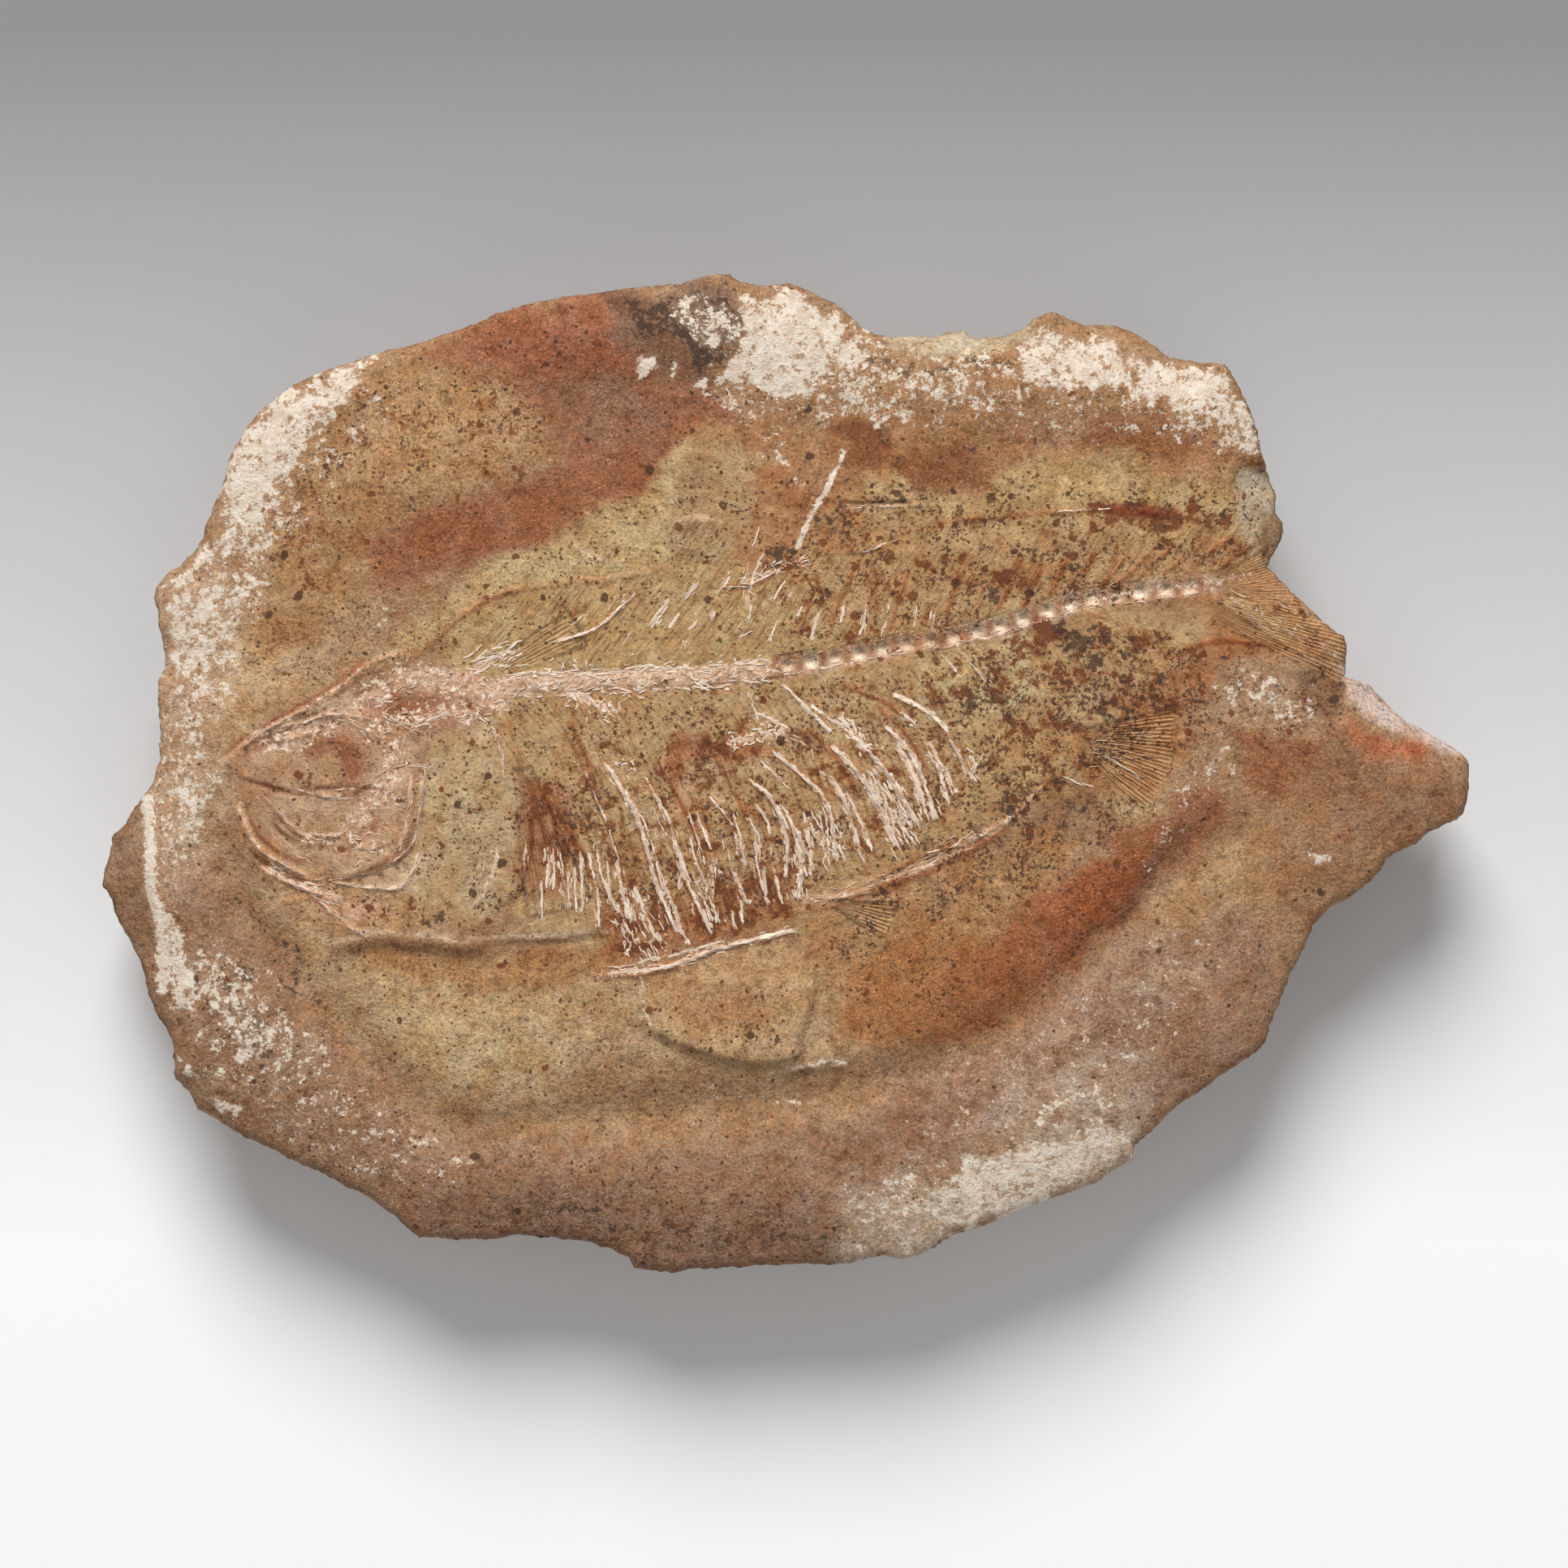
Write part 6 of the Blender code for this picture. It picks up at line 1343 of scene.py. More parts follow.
# Fins and bundles that fan out: root, first tip, last tip, nearest and farthest share, strength
RAY_FANS = [
    ((143, 73.4), (164.6, 76.6), (166, 84.4), 0.22, 1.06, 0.8),
    ((146, 73.4), (156.4, 67.6), (163, 75.6), 0.2, 1.1, 0.4),
    ((130.6, 90.4), (144.8, 87.6), (140.6, 99.2), 0.18, 1, 0.9),
    ((101, 110.8), (110.4, 111.2), (108.8, 115.6), 0.2, 1, 1),
    ((62.5, 88), (65.4, 111), (72.4, 111), 0.28, 1, 0.2),
    ((52, 88), (69.4, 76.2), (70.6, 79.6), 0.45, 1.05, 0.6),
]

# The fish's own surface, smoother than the sandy stone around it
BODY = [
    (28, 95), (34, 89.6), (44, 83.5), (50.6, 81), (57, 75.8), (64, 72.6), (82, 69.6), (84, 55),
    (95, 56), (99, 62), (112, 61), (136, 61), (156, 62), (157, 70), (166, 80), (162, 84), (148, 86),
    (142, 98), (131, 98), (124, 103), (108, 112), (98, 114.5), (76, 117), (62, 116), (52, 115),
    (43, 115), (36, 109), (30, 102),
]

# Loose splinters along lines: count, spread, lengths, widths, turn, pinkness, points
SCATTERS = [
    (150, 1.1, (0.3, 0.9), (0.2, 0.44), 0.7, 0.45, [(54, 84.6)] + NECK_BACKBONE),
    (60, 0.3, (0.8, 2), (0.16, 0.3), 0.2, 0.2, shifted(NECK_BACKBONE, -1)),
    (70, 0.4, (0.5, 1.6), (0.18, 0.34), 0.3, 0.1, shifted(NECK_BACKBONE, 1.2)),
    (34, 0.9, (0.6, 1.8), (0.16, 0.32), 0.25, 0.1, [(57.5, 82.8), (63.5, 80.4)]),
    (60, 0.2, (0.4, 1.2), (0.12, 0.24), 0.15, 0.6, shifted(BACKBONE, 1)),
    (70, 0.35, (0.3, 0.9), (0.12, 0.22), 0.9, 0.8, shifted(BACKBONE, -1.1)),
    (44, 1.3, (0.4, 1.2), (0.14, 0.32), 0.6, 0.6, [(45, 87), (50, 84), (56, 84), (61, 87)]),
    (26, 1.3, (0.4, 1), (0.12, 0.24), 0.8, 0.6, [(43, 101), (47, 98), (48.6, 93)]),
    (14, 1, (0.3, 0.9), (0.14, 0.3), 1.2, 0.6, [(47, 90), (54, 88)]),
    (12, 0.8, (0.4, 1), (0.12, 0.22), 0.6, 0.7, [(34, 91), (42, 89)]),
    (26, 0.8, (0.4, 1.1), (0.12, 0.24), 0.5, 0.6, [(40, 103), (46, 104)]),
    (40, 0.4, (0.5, 1.4), (0.14, 0.28), 0.2, 0.4, [(33, 107), (41.5, 110.6)]),
    (36, 1.6, (0.4, 1.6), (0.12, 0.3), 0.2, 0.1, [(78, 111), (81, 117)]),
    (22, 0.6, (0.4, 1.2), (0.18, 0.36), 0.3, 0.2, [(76.4, 113), (77.6, 117.4)]),
    (60, 0.9, (0.4, 1.7), (0.12, 0.34), 0.2, 0.1, [(100.8, 99.5), (102.8, 106)]),
    (26, 0.5, (0.4, 1.5), (0.14, 0.3), 0.2, 0.1, [(98.2, 104), (98.6, 110)]),
    (80, 0.8, (0.5, 2), (0.12, 0.36), 0.12, 0.1, [(106.6, 95), (111.4, 103.6)]),
    (40, 0.6, (0.5, 1.8), (0.12, 0.34), 0.12, 0.1, [(109.4, 96), (112, 101)]),
    (22, 0.5, (0.4, 1.4), (0.16, 0.34), 0.15, 0.1, [(112.4, 94), (114.6, 100.4)]),
    (36, 1.2, (0.3, 1), (0.18, 0.4), 0.9, 0.1, [(70, 85.6), (76, 87.2)]),
    (34, 0.6, (0.3, 1), (0.16, 0.34), 0.6, 0.1, [(90, 91.6), (96, 90.2)]),
    (14, 0.6, (0.4, 1.1), (0.16, 0.34), 0.5, 0.1, [(93, 88), (96, 90)]),
    (30, 0.5, (0.4, 1.4), (0.18, 0.4), 0.3, 0, [(103.4, 88.2), (106.8, 92)]),
    (14, 0.5, (0.3, 0.9), (0.16, 0.32), 0.6, 0.1, [(76, 93.4), (78.4, 94.8)]),
    (50, 0.5, (0.3, 1), (0.12, 0.26), 0.6, 0.4, [(88.7, 72.4), (95.6, 70.3), (99.4, 69.1)]),
    (50, 0.3, (0.5, 1.6), (0.14, 0.26), 0.1, 0.5, [(74.6, 119.8), (83.2, 118.6), (97.5, 114.6)]),
    (50, 0.5, (0.5, 1.8), (0.12, 0.22), 0.12, 0.7, [(100, 110.8), (108, 108.6), (120, 103.4)]),
    (44, 1.4, (0.8, 2.4), (0.09, 0.16), 0.08, 0.8, [(150, 73.2), (158, 77), (164, 80)]),
    (18, 1.6, (0.8, 2.2), (0.08, 0.14), 0.15, 1, [(134, 92.5), (141, 93.5)]),
]


def warped(spots, coarse, fine, seed):
    """Spots moved a little, so that a patch drawn around them gets a ragged edge."""
    moved = spots.copy()
    for axis in (0, 1):
        moved[:, axis] += coarse * clouds(spots, 6.5, seed + axis)
        moved[:, axis] += fine * clouds(spots, 1.7, seed + 10 + axis)
    return moved


def fan_share(spots, root, first, last, inner, outer):
    """Angle round a fan's root, distance from it, and cover of the fan, at each spot."""
    root = np.array(slab_point(*root))
    arms = [np.array(slab_point(*tip)) - root for tip in (first, last)]
    start, stop = [math.atan2(arm[1], arm[0]) for arm in arms]
    middle = (start + stop) / 2
    reach = max(np.linalg.norm(arm) for arm in arms)
    rel = spots - root
    angle = np.arctan2(rel[:, 1], rel[:, 0]) - middle
    angle = (angle + math.pi) % (2 * math.pi) - math.pi
    radius = np.hypot(rel[:, 0], rel[:, 1])
    sideways_cover = ease((abs(stop - start) / 2 - np.abs(angle)) / 0.05 + 0.5)
    cover = sideways_cover * ease((radius / reach - inner) / 0.12)
    cover *= ease((outer - radius / reach) / 0.08)
    return angle * reach, radius, cover


def flow_field(spots):
    """Which way bones and fibres run, as two lengths in mm, across and along, and cover of rays."""
    spine = [(45, 85)] + NECK_BACKBONE + BACKBONE + [(152, 71), (162, 69)]
    distance, side, _ = measure(spots, smooth(slab_line(spine), LINE_STEP))
    below = spots[:, 0] - 5.0 * (1 - np.exp(-distance / 6.0)) - 0.28 * distance
    above = spots[:, 0] - 0.75 * distance
    across = np.where(side < 0, below, above)
    along = distance.copy()
    column = distance < 1.3
    across[column] = (distance * side)[column] + 300
    along[column] = spots[column, 0]
    rays = np.zeros(len(spots))
    for number, (root, first, last, inner, outer, strength) in enumerate(RAY_FANS):
        turn, radius, cover = fan_share(spots, root, first, last, inner, outer)
        chosen = cover > 0
        across[chosen] = turn[chosen] + 400 + 60 * number
        along[chosen] = radius[chosen]
        rays[chosen] = strength * cover[chosen]
    return across, along, rays


def cover_patch(spots, softness, outline):
    """How far each spot is inside an outline, 0 to 1, easing over a softness."""
    ring = slab_line(outline)
    cover = np.zeros(len(spots))
    close = near(spots, ring, softness)
    part = spots[close]
    distance = measure(part, np.concatenate([ring, ring[:1]]))[0]
    signed = np.where(inside(part, ring), distance, -distance)
    cover[close] = ease(0.5 + signed / softness)
    return cover


def cover_line(spots, half_width, softness, points):
    """The same for a band along a line."""
    line = smooth(slab_line(points), LINE_STEP)
    cover = np.zeros(len(spots))
    close = near(spots, line, half_width + softness)
    distance = measure(spots[close], line)[0]
    cover[close] = ease((half_width + softness / 2 - distance) / softness)
    return cover


def paint_stone(stone, points, face_count):
    """Stores the stone's colours, painted shade and highlights among them, and the cover of crust,
    film and specks on its points.
    """
    spots = points[:, :2]
    loose = warped(spots, 2.2, 0.9, 50.0)
    tight = warped(spots, 0.25, 0.12, 80.0)
    tint = np.tile(linear(PLAIN_STONE), (len(points), 1))

    blots = 0.6 * clouds(spots, 3.4, 91.0) + 0.5 * clouds(spots, 1.3, 95.0)

    def mottled(cover):
        """The cover with a blotchy edge."""
        return ease(cover + 3.0 * cover * (1 - cover) * blots)

    def strongest(cover, rows, widening):
        """The cover, raised to the rows' blotchy patches where they are stronger."""
        for amount, softness, outline in rows:
            patch = cover_patch(loose, softness * widening, outline)
            cover = np.maximum(cover, amount * mottled(patch))
        return cover

    def strongest_line(cover, rows):
        """The cover, raised to the rows' bands along lines where they are stronger."""
        for amount, half_width, softness, line in rows:
            cover = np.maximum(cover, amount * cover_line(tight, half_width, softness, line))
        return cover

    def lay(colour, strength, cover):
        """Tints the stone with a colour where the cover lets it."""
        share = (strength * cover)[:, None]
        tint[:] = tint * (1 - share) + linear(colour) * share

    # Patches of stone colour, among them a painted shadow and a painted highlight
    for colour, strength, softness, outline in PATCHES:
        if softness > CRISP_SOFTNESS:
            lay(colour, strength, mottled(cover_patch(loose, softness * 1.5, outline)))
        else:
            lay(colour, strength, cover_patch(tight, softness, outline))
    nothing = np.zeros(len(points))
    rust = nothing
    for half_width, _, amount, line in STONE_BONES:
        cover = cover_line(tight, half_width * 0.9, half_width * 1.4, line)
        lay(BONE_RUST, 0.9 * amount, cover)
        rust = np.maximum(rust, 0.7 * amount * cover)
    for half_width, _, amount, line in SKULL:
        lay(SKULL_EDGE, 0.6 * amount, cover_line(tight, half_width, half_width * 1.4, line))
    for half_width, _, _, line in fan_rays():
        lay(FIN_RAY, 0.6, cover_line(spots, half_width * 0.5, half_width, line))
    # Stains, and painted shade and highlights along ledges and grooves
    for colour, strength, half_width, softness, line in STAINS_AND_PAINTED_SHADING:
        lay(colour, strength, cover_line(tight, half_width, softness, line))
    for middle in cups(BACKBONE, 0.0):
        gap = np.linalg.norm((spots - middle) / np.array([0.55, 1.1]), axis=1)
        lay(CUP_RIM, 0.8, ease(1.5 - gap))
    for middle in cups(BACKBONE):
        gap = np.linalg.norm(tight - middle, axis=1)
        lay(CUP_FLOOR, 0.9, ease((1.15 - gap) / 0.4))
        # Painted shade on the upper side of each cup and a painted highlight on its lower side, as
        # top light gives them
        upper = (tight - middle - np.array([0.0, 0.35])) / np.array([1.0, 0.7])
        lay(CUP_PAINTED_SHADE, 0.75, ease(1.5 - np.linalg.norm(upper, axis=1) / 0.6))
        lower = (tight - middle + np.array([0.0, 0.6])) / np.array([1.3, 0.8])
        lay(CUP_PAINTED_HIGHLIGHT, 0.85, ease(1.5 - np.linalg.norm(lower, axis=1) / 0.5))

    crust = strongest_line(strongest(nothing, CRUST, 1.9), VEINS)
    dark = strongest(nothing, DARK, 1.6)
    specks = strongest(np.full(len(points), 0.12), SPECKS, 1.6)
    rust = strongest(rust, RUSTS, 1.6)
    rough = warped(spots, 0.5, 0.5, 130.0)
    for x, y, half_width, rusty in BLOBS:
        gap = np.linalg.norm(rough - np.array(slab_point(x, y)), axis=1)
        cover = np.clip(1.15 - 0.62 * gap / half_width, 0, 1)
        rust = np.maximum(rust, rusty * cover)
        dark = np.maximum(dark, (1 - rusty) * cover)
    pale = [(0.35 + 0.5 * left, width * 0.7, 0.6, line) for width, left, line in PALE_BONES]
    bone = strongest_line(nothing, pale + BONE_BANDS)
    fibres = strongest(nothing, FIBRES, 1.4)
    across, along, rays = flow_field(spots)

    hidden = np.arange(len(points)) >= face_count
    under = hidden * ease((FACE_LEVEL - 1.5 - points[:, 2]) / 4.0)
    blotches = ease(0.5 + 1.5 * solid_clouds(points, 6.0, 14.0))[:, None]
    side_tone = linear(WALL_DARK) * (1 - blotches) + linear(WALL_PALE) * blotches
    tint = tint * (1 - 0.75 * under[:, None]) + side_tone * 0.75 * under[:, None]
    fade = 1 - 0.8 * under
    upright = 1 - hidden * ease((FACE_LEVEL - 0.6 - points[:, 2]) / 1.5)
    store_colour(stone, "tint", tint)
    covers = {
        "crust": crust * fade,
        "dark": np.maximum(dark * fade, 0.30 * under),
        "specks": specks,
        "rust": rust * fade,
        "bone": bone * upright,
        "sandy": 1 - 0.75 * cover_patch(loose, 4, BODY),
        "fibres": fibres * upright,
        "rays": rays * upright,
    }
    for name, cover in covers.items():
        store_number(stone, name, cover)
    store_vector(stone, "flow", np.column_stack([across, along, np.zeros(len(points))]))


def splinter(rng, start, heading, length, width, height, bend, sections):
    """Plan points and lifts of one jagged flake of bone."""
    along = np.array([math.cos(heading), math.sin(heading)])
    across = np.array([-along[1], along[0]])
    plan = []
    lift = []
    for i in range(sections + 1):
        t = i / sections
        fat = math.sin(math.pi * (0.12 + 0.76 * t)) ** 0.5
        middle = start + along * length * t + across * (bend * math.sin(math.pi * t)
                                                        + width * rng.uniform(-0.16, 0.16))
        left = width / 2 * fat * rng.uniform(0.55, 1.3)
        right = width / 2 * fat * rng.uniform(0.55, 1.3)
        for half, rise in ((-left, -SPLINTER_SINK), (-0.75 * left, height * fat),
                           (0.75 * right, height * fat * 0.9), (right, -SPLINTER_SINK)):
            plan.append(middle + across * half)
            lift.append(rise)
    return np.array(plan), np.array(lift)


def splinter_faces(sections, base):
    """Triangles that close one sliver of bone."""
    faces = []
    for i in range(sections):
        for k in range(4):
            a = base + 4 * i + k
            b = base + 4 * i + (k + 1) % 4
            faces.append((a, b, b + 4))
            faces.append((a, b + 4, a + 4))
    last = base + 4 * sections
    faces += [(base, base + 2, base + 1), (base, base + 3, base + 2)]
    faces += [(last, last + 1, last + 2), (last, last + 2, last + 3)]
    return faces


def bone_splinters():
    """The pale splinters on ribs, spines and backbone, as one mesh of small closed slivers."""
    rng = random.Random(17)
    slivers = []

    def lay_along(line, width, left, length_range, spread, pink):
        fine = smooth(slab_line(line), 0.25)
        steps = np.linalg.norm(np.diff(fine, axis=0), axis=1)
        travelled = np.concatenate([[0], np.cumsum(steps)])
        total = travelled[-1]
        place = rng.uniform(0, 0.4)
        while place < total:
            length = rng.uniform(*length_range)
            length = min(length, total - place + 0.3)
            if rng.random() < left and length > 0.3:
                spot = np.array([np.interp(place, travelled, fine[:, k]) for k in (0, 1)])
                tip = np.array([np.interp(min(place + length, total), travelled, fine[:, k])
                                for k in (0, 1)])
                run = tip - spot
                heading = math.atan2(run[1], run[0]) + rng.gauss(0, 0.05)
                spot = spot + np.array([rng.gauss(0, spread), rng.gauss(0, spread * 0.4)])
                slivers.append((spot, heading, length, 1.3 * width * rng.uniform(0.45, 1.25),
                                rng.uniform(0.05, 0.12), rng.gauss(0, 0.05), pink))
            place += length * rng.uniform(0.55, 1.0)

    for width, left, line in PALE_BONES:
        lay_along(line, width * 1.05, left * 0.9, (0.9, 3.4), 0.06, 0.1)
        lay_along(line, width * 0.8, left * 0.6, (0.4, 1.6), 0.22, 0.2)
        lay_along(line, width * 0.6, left * 0.35, (0.4, 1.2), 0.42, 0.3)

    def scatter(line, count, spread, length_range, width_range, turn, pink):
        fine = smooth(slab_line(line), 0.25)
        for _ in range(count):
            i = rng.randrange(len(fine) - 1)
            run = fine[i + 1] - fine[i]
            heading = math.atan2(run[1], run[0]) + rng.gauss(0, turn)
            across = np.array([-run[1], run[0]]) / np.linalg.norm(run)
            spot = fine[i] + across * rng.gauss(0, spread)
            slivers.append((spot, heading, rng.uniform(*length_range), rng.uniform(*width_range),
                            rng.uniform(0.06, 0.16), rng.gauss(0, 0.06), pink))

    for count, spread, lengths, widths, turn, pink, line in SCATTERS:
        scatter(line, count, spread, lengths, widths, turn, pink)
    for count, spread, width, pink, line in SKULL_EDGES:
        scatter(line, count, spread, (0.5, 1.5), (0.6 * width, 1.2 * width), 0.12, pink)

    starts = np.array([row[0] for row in slivers])
    tips = starts + np.array([(row[2] * math.cos(row[1]), row[2] * math.sin(row[1]))
                              for row in slivers])
    kept = np.ones(len(slivers), dtype=bool)
    for spots in (starts, tips):
        kept &= inside(spots, slab_line(OUTLINE)) & (edge_distance(spots) > EDGE_CLEARANCE)
    slivers = [row for row, keep in zip(slivers, kept) if keep]

    plans = []
    lifts = []
    faces = []
    tones = []
    shades = []
    base = 0
    for spot, heading, length, width, height, bend, pink in slivers:
        sections = max(2, round(length / SPLINTER_STEP))
        plan, lift = splinter(rng, spot, heading, length, width, height, bend, sections)
        faces.extend(splinter_faces(sections, base))
        base += len(plan)
        plans.append(plan)
        lifts.append(lift)
        shade = min(1.0, max(0.0, rng.gauss(pink, 0.25)))
        pale = np.array(SPLINTER_PALE) * (1 - shade) + np.array(SPLINTER_PINK) * shade
        tones.append(np.tile(linear(pale * rng.uniform(0.88, 1.0)), (len(plan), 1)))
        shades.append(np.full(len(plan), rng.random()))
    plan = np.concatenate(plans)
    points = np.column_stack([plan, face_height(plan) + np.concatenate(lifts)])
    piece = new_mesh("bone_splinters", points, faces)
    piece.data.shade_flat()
    store_colour(piece, "tint", np.concatenate(tones))
    store_number(piece, "shade", np.concatenate(shades))
    return piece


class Nodes:
    """Short calls for making and joining a material's nodes."""

    def __init__(self, name):
        self.material = bpy.data.materials.new(name)
        self.material.use_nodes = True
        self.tree = self.material.node_tree
        self.shader = self.tree.nodes["Principled BSDF"]

    def add(self, kind, inputs=None, **settings):
        node = self.tree.nodes.new(kind)
        for key, value in settings.items():
            setattr(node, key, value)
        for key, value in (inputs or {}).items():
            self.put(node.inputs[key], value)
        return node

    def put(self, socket, value):
        if isinstance(value, bpy.types.NodeSocket):
            self.tree.links.new(value, socket)
        else:
            socket.default_value = value

    def math(self, operation, a, b=0.0):
        return self.add("ShaderNodeMath", {0: a, 1: b}, operation=operation).outputs[0]

    def times(self, a, b):
        return self.math("MULTIPLY", a, b)

    def plus(self, a, b):
        return self.math("ADD", a, b)

    def minus(self, a, b):
        return self.math("SUBTRACT", a, b)

    def vector(self, operation, a, b):
        node = self.add("ShaderNodeVectorMath", {0: a, 1: b}, operation=operation)
        return node.outputs[0]

    def step(self, value, low, high):
        """0 where the value is below low, 1 above high, smooth between."""
        node = self.add("ShaderNodeMapRange", {"Value": value, "From Min": low, "From Max": high},
                        interpolation_type="SMOOTHSTEP")
        return node.outputs["Result"]

    def spread(self, value, low, high):
        """The value from 0 to 1 spread over low to high."""
        node = self.add("ShaderNodeMapRange", {"Value": value, "To Min": low, "To Max": high})
        return node.outputs["Result"]

    def mix(self, share, a, b, blend="MIX"):
        node = self.add("ShaderNodeMix", data_type="RGBA", blend_type=blend)
        self.put(node.inputs[0], share)
        self.put(node.inputs[6], a)
        self.put(node.inputs[7], b)
        return node.outputs[2]

    def number(self, name):
        return self.add("ShaderNodeAttribute", attribute_name=name).outputs["Fac"]

    def colour(self, name):
        return self.add("ShaderNodeAttribute", attribute_name=name).outputs["Color"]

    def place(self):
        """Position on the piece in millimetres."""
        where = self.add("ShaderNodeTexCoord").outputs["Object"]
        return self.vector("MULTIPLY", where, (1 / MM,) * 3)

    def noise(self, place, size, detail=4.0, roughness=0.6, shift=0.0):
        """Cloudy noise with lumps of about the given size in millimetres."""
        moved = self.vector("ADD", place, (shift, shift * 0.7, shift * 0.3))
        node = self.add("ShaderNodeTexNoise", {"Vector": moved, "Scale": 1 / size,
                                               "Detail": detail, "Roughness": roughness})
        return node.outputs["Fac"]

    def shaken(self, place, size, reach):
        """The place moved about by noise, for ragged edges."""
        cloud = self.add("ShaderNodeTexNoise", {"Vector": place, "Scale": 1 / size,
                                                "Detail": 3.0}).outputs["Color"]
        centred = self.vector("SUBTRACT", cloud, (0.5, 0.5, 0.5))
        return self.vector("ADD", place, self.vector("MULTIPLY", centred, (reach,) * 3))

    def spots(self, place, cell, smallest, largest, share, shift):
        """Separate round specks: one in each cell, where the share lets it be."""
        moved = self.vector("ADD", place, (shift, shift, 0.0))
        cells = self.add("ShaderNodeTexVoronoi", {"Vector": moved, "Scale": 1 / cell,
                                                  "Randomness": 1.0})
        parts = self.add("ShaderNodeSeparateColor", {0: cells.outputs["Color"]})
        size = self.spread(self.math("POWER", parts.outputs[0], 2.2), smallest / cell,
                           largest / cell)
        disc = self.minus(size, cells.outputs["Distance"])
        body = self.step(disc, -0.02, 0.05)
        there = self.math("LESS_THAN", parts.outputs[1], share)
        return self.times(body, there), parts.outputs[2]

    def finished(self, body, roughness, gloss, relief, strength, depth):
        """The material, with a colour, a roughness, a dim gloss and a fine relief."""
        bump = self.add("ShaderNodeBump", {"Height": relief, "Strength": strength,
                                           "Distance": depth})
        self.put(self.shader.inputs["Base Color"], body)
        self.put(self.shader.inputs["Roughness"], roughness)
        self.shader.inputs["Specular IOR Level"].default_value = gloss
        self.put(self.shader.inputs["Normal"], bump.outputs["Normal"])
        return self.material


def rgb(colour):
    return (*linear(colour), 1.0)


def stone_material():
    """Weathered stone: painted zones, sand, rust, manganese film, specks and flaking crust."""
    n = Nodes("weathered_limestone")
    place = n.place()
    bent = n.shaken(place, 1.2, 0.9)
    tint = n.colour("tint")
    names = ("crust", "dark", "specks", "rust", "sandy", "bone", "fibres", "rays")
    crust, dark, specks, rust, sandy, bone, fibres, rays = [n.number(name) for name in names]
    flow = n.add("ShaderNodeAttribute", attribute_name="flow").outputs["Vector"]
    streak = n.noise(n.vector("MULTIPLY", flow, (2.2, 0.30, 1.0)), 1.0, 3.0, 0.62)
    parts = n.add("ShaderNodeSeparateXYZ", {0: flow})
    turns = n.times(parts.outputs[0], 2 * math.pi / RAY_PITCH)
    wave = n.math("SINE", n.plus(turns, n.times(streak, 8.0)))
    cluster = n.noise(place, 3.4, 2.0, 0.6, 23.0)

    broad = n.noise(place, 4.2, 3.0, 0.6, 3.0)
    mottle = n.noise(bent, 1.6, 4.0, 0.70, 9.0)
    grain = n.noise(place, 0.46, 3.0, 0.75, 17.0)
    grit = n.noise(place, 0.24, 1.0, 0.5, 31.0)

    def tinted(base, factor):
        return n.mix(1.0, base, (*factor, 1.0), "MULTIPLY")

    body = n.mix(n.step(broad, 0.38, 0.62), tinted(tint, (1.08, 1.12, 1.16)),
                 tinted(tint, (0.98, 0.88, 0.78)))
    body = n.mix(n.step(mottle, 0.50, 0.68), body, tinted(body, (1.26, 1.25, 1.22)))
    body = n.mix(n.step(mottle, 0.50, 0.30), body, tinted(body, (0.64, 0.56, 0.50)))

    coarse = n.times(n.minus(grain, 0.5), n.spread(sandy, 0.9, 1.7))
    small = n.times(n.minus(grit, 0.5), n.spread(sandy, 0.4, 0.9))
    body = n.mix(1.0, body, n.plus(1.0, n.plus(coarse, small)), "MULTIPLY")
    pits = n.times(n.step(grain, 0.42, 0.30), n.spread(sandy, 0.10, 0.32))
    body = n.mix(pits, body, rgb(PIT))
    grains = n.times(n.step(grit, 0.63, 0.72), n.spread(sandy, 0.05, 0.26))
    body = n.mix(grains, body, rgb(GRAIN))

    rust_cloud = n.noise(bent, 2.3, 5.0, 0.74, 41.0)
    rust_over = n.minus(rust_cloud, n.minus(0.76, n.times(rust, 0.44)))
    body = n.mix(n.times(n.step(rust_over, -0.015, 0.012), 0.72), body, rgb(RUST_LIGHT))
    body = n.mix(n.times(n.step(rust_over, 0.035, 0.055), 0.72), body, rgb(RUST_DEEP))

    line = n.times(n.step(streak, 0.46, 0.38), n.times(fibres, 0.62))
    body = n.mix(line, body, rgb(FIBRE_DARK))
    gleam = n.times(n.step(streak, 0.54, 0.64), n.times(fibres, 0.36))
    body = n.mix(gleam, body, rgb(FIBRE_PALE))
    furrow = n.times(n.step(wave, -0.1, -0.7), n.times(rays, 0.55))
    body = n.mix(furrow, body, rgb(RAY_DARK))
    ray = n.times(n.step(wave, 0.2, 0.8), n.times(rays, 0.75))
    body = n.mix(ray, body, rgb(RAY_PALE))

    film_cloud = n.noise(bent, 1.2, 5.0, 0.76, 57.0)
    film_edge = n.minus(0.78, n.times(dark, 0.42))
    film = n.step(n.minus(film_cloud, film_edge), -0.02, 0.03)
    body = n.mix(n.times(film, 0.82), body, rgb(FILM))

    powder = n.times(n.step(n.plus(crust, n.times(mottle, 0.4)), 0.40, 0.95), 0.40)
    body = n.mix(powder, body, rgb(POWDER))

    specks = n.times(specks, n.spread(n.step(cluster, 0.40, 0.60), 0.35, 1.25))
    edge = n.minus(0.78, n.times(specks, 0.205))
    fine = n.step(n.minus(n.noise(place, 0.50, 2.0, 0.6, 67.0), edge), -0.015, 0.02)
    body = n.mix(n.times(fine, 0.82), body, rgb(SPECK_FINE))
    for cell, smallest, largest, share, shift in ((0.62, 0.10, 0.28, 0.95, 12.0),
                                                  (1.80, 0.16, 0.66, 0.70, 4.0)):
        spot, tone = n.spots(bent, cell, smallest, largest, n.times(specks, share), shift)
        colour = n.mix(n.step(tone, 0.48, 0.54), rgb(SPECK_DARK), rgb(SPECK_RUST))
        body = n.mix(n.times(spot, 0.86), body, colour)

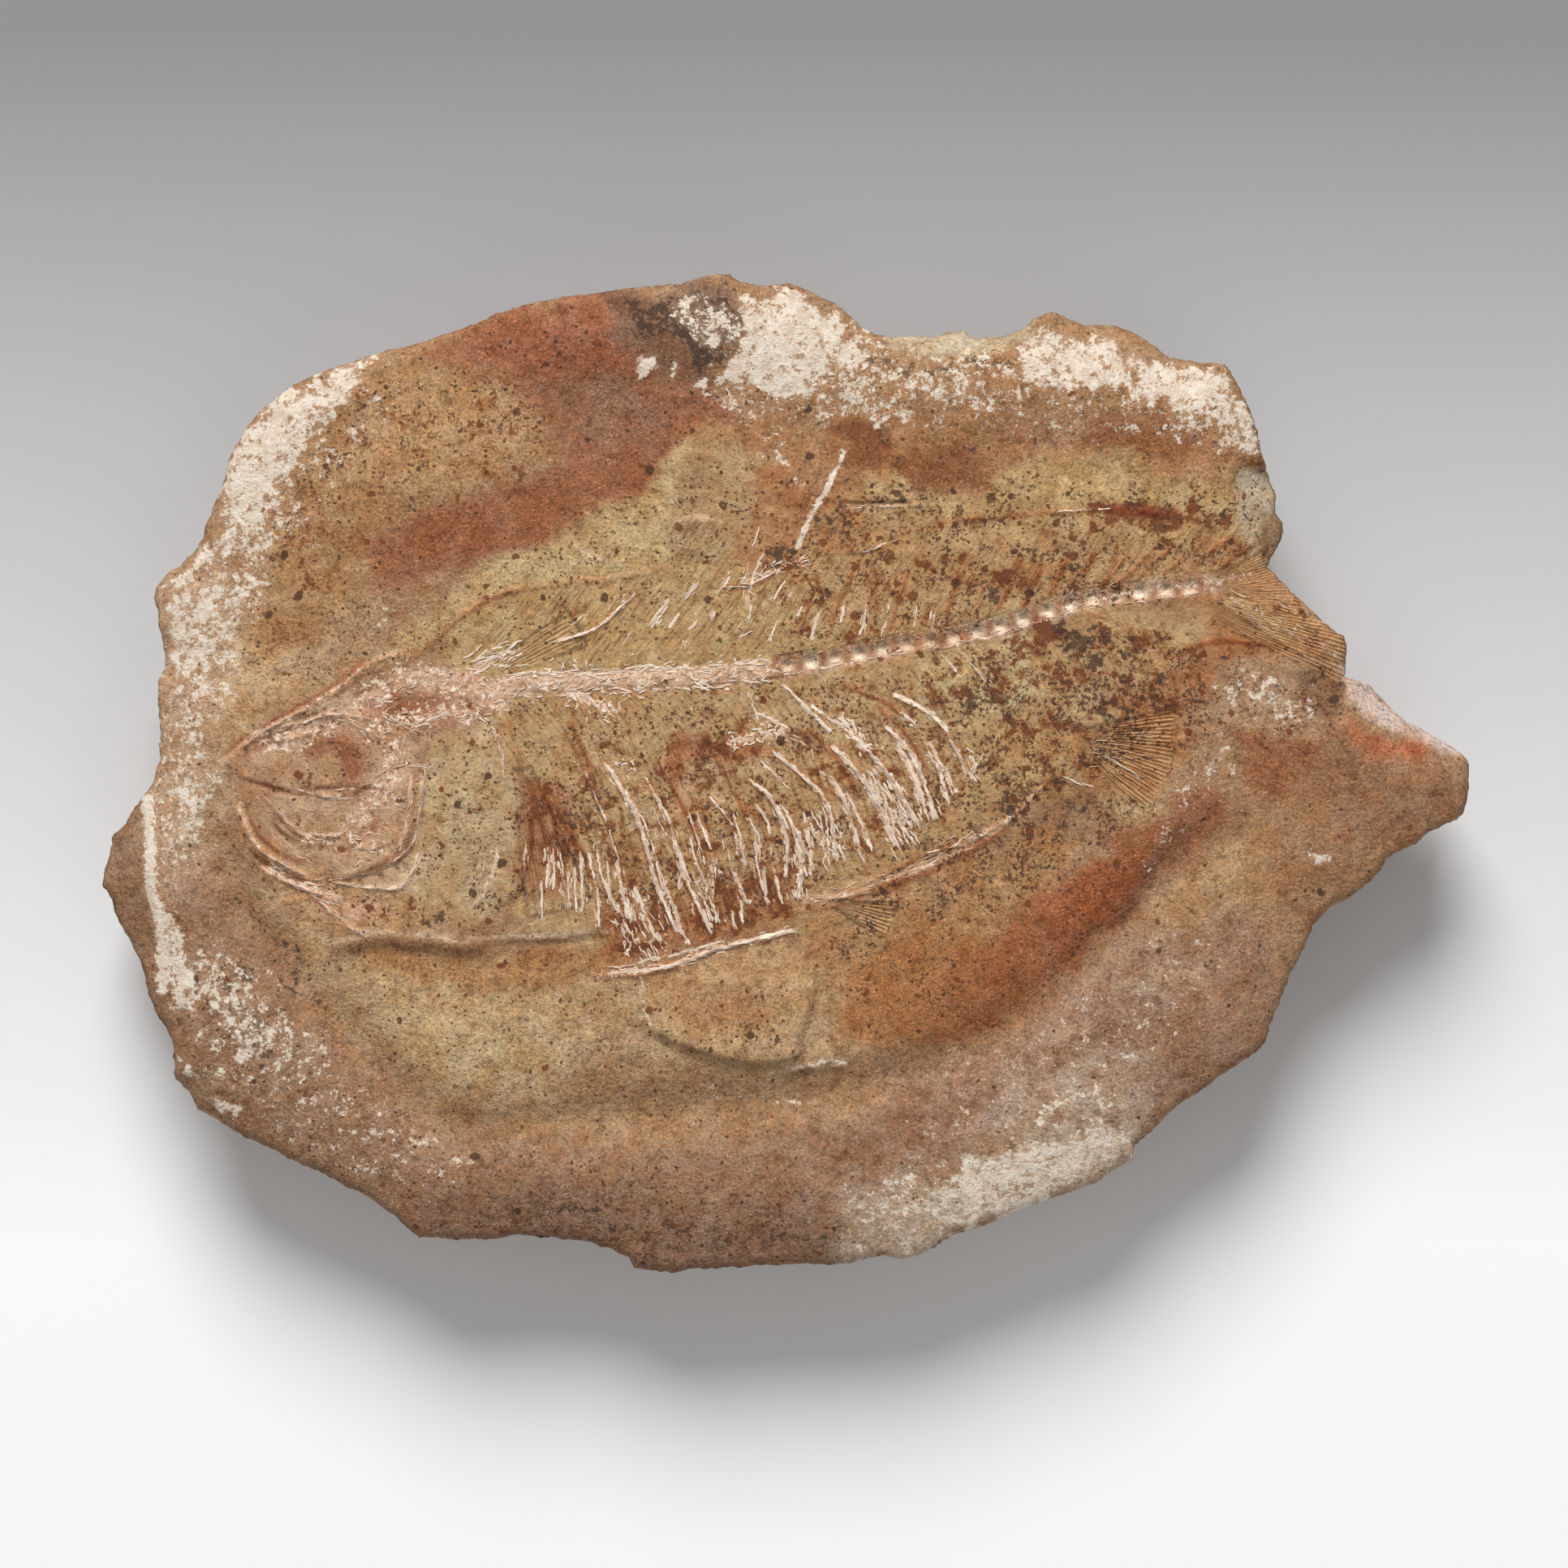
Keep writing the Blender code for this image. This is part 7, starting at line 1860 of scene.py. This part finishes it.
    flake_cloud = n.noise(bent, 1.5, 7.0, 0.82, 71.0)
    flake_edge = n.minus(0.76, n.times(crust, 0.53))
    crumbs = n.noise(n.shaken(place, 0.7, 0.4), 0.75, 4.0, 0.76, 83.0)
    flake_cloud = n.plus(flake_cloud, n.times(n.minus(crumbs, 0.5), 0.55))
    flake = n.step(n.minus(flake_cloud, flake_edge), -0.012, 0.016)
    chalk = n.mix(n.step(mottle, 0.36, 0.62), rgb(CHALK_SHADE), rgb(CHALK_LIGHT))
    chalk = n.mix(1.0, chalk, n.spread(grain, 0.80, 1.16), "MULTIPLY")
    body = n.mix(n.times(flake, 0.95), body, chalk)

    bone_cloud = n.add("ShaderNodeMix", {0: n.times(fibres, 0.5), 2: crumbs, 3: streak},
                       data_type="FLOAT").outputs[0]
    bone_edge = n.minus(0.73, n.times(bone, 0.46))
    white = n.step(n.minus(bone_cloud, bone_edge), -0.015, 0.02)
    body = n.mix(n.times(white, 0.94), body,
                 n.mix(n.step(crumbs, 0.52, 0.66), rgb(BONE_PINK), rgb(BONE_PALE)))

    relief = n.plus(n.times(grain, 0.30), n.times(mottle, 0.34))
    relief = n.plus(relief, n.times(grit, 0.07))
    relief = n.plus(relief, n.times(n.times(wave, rays), 0.14))
    relief = n.plus(relief, n.times(n.times(streak, fibres), 0.30))
    return n.finished(body, n.spread(grain, 0.82, 1.0), 0.25, relief, 0.9, MM)


def bone_material():
    """Chalky splinters of bone, from white to pinkish buff."""
    n = Nodes("chalky_bone")
    place = n.place()
    grain = n.noise(place, 0.22, 3.0, 0.7, 5.0)
    stain = n.noise(place, 0.9, 4.0, 0.7, 15.0)
    tint = n.colour("tint")
    body = n.mix(1.0, tint, n.spread(grain, 0.80, 1.12), "MULTIPLY")
    body = n.mix(n.times(n.step(stain, 0.58, 0.72), 0.55), body, rgb(BONE_STAIN))
    return n.finished(body, n.spread(grain, 0.70, 0.92), 0.3, grain, 0.5, 0.05 * MM)


def paper_material():
    """Studio paper, pale in front and darker towards the back: a painted fall-off of the light."""
    n = Nodes("studio_paper_painted_falloff")
    place = n.place()
    parts = n.add("ShaderNodeSeparateXYZ", {0: place})
    # Painted fall-off of the light: the paper greys towards the back
    painted_falloff = n.add("ShaderNodeMapRange", {"Value": parts.outputs[1], "From Min": -60.0,
                                          "From Max": 95.0}).outputs["Result"]
    tone = n.mix(painted_falloff, (0.94, 0.94, 0.94, 1.0), (0.26, 0.255, 0.26, 1.0))
    n.put(n.shader.inputs["Base Color"], tone)
    n.shader.inputs["Roughness"].default_value = 0.9
    n.shader.inputs["Specular IOR Level"].default_value = 0.1
    return n.material


def add_light(name, energy, place):
    """A round soft light that points at the slab."""
    data = bpy.data.lights.new(name, "AREA")
    data.energy = energy
    data.shape = "DISK"
    data.size = LIGHT_SIZE
    lamp = bpy.data.objects.new(name, data)
    lamp.location = place
    lamp.rotation_euler = (-Vector(place)).to_track_quat("-Z", "Y").to_euler()
    bpy.context.scene.collection.objects.link(lamp)


def set_stage():
    """Floor, light and camera."""
    corners = ((-1, -1), (1, -1), (1, 1), (-1, 1))
    points = [(x * FLOOR_HALF, y * FLOOR_HALF, FLOOR_LEVEL) for x, y in corners]
    floor = new_mesh("floor", points, [(0, 1, 2), (0, 2, 3)])
    floor.data.materials.append(paper_material())

    add_light("key", *KEY_LIGHT)
    add_light("fill", *FILL_LIGHT)

    scene = bpy.context.scene
    world = bpy.data.worlds.new("studio")
    world.use_nodes = True
    background = world.node_tree.nodes["Background"]
    background.inputs[0].default_value = (1.0, 1.0, 1.0, 1.0)
    background.inputs[1].default_value = ROOM_LIGHT
    scene.world = world
    scene.view_settings.view_transform = "Standard"

    camera_data = bpy.data.cameras.new("camera")
    camera_data.lens = LENS
    camera_data.sensor_width = SENSOR
    camera = bpy.data.objects.new("camera", camera_data)
    middle = slab_point(*PICTURE_MIDDLE)
    distance = FRAME_MM * LENS / SENSOR
    camera.location = Vector((middle[0], middle[1], FACE_LEVEL + distance)) * MM
    scene.collection.objects.link(camera)
    scene.camera = camera


def main():
    """Builds the stone and its splinters and sets the stage."""
    points, faces, face_count = stone_shape()
    points[:, 2] = np.clip(points[:, 2], 0.0, CAD_BOX[1][2] / MM)
    stone = new_mesh("stone", points, faces)
    paint_stone(stone, points, face_count)
    stone.data.materials.append(stone_material())
    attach(stone, "root")
    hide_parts("fossil_slab")

    bones = bone_splinters()
    bones.data.materials.append(bone_material())
    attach(bones, "root")

    set_stage()


main()
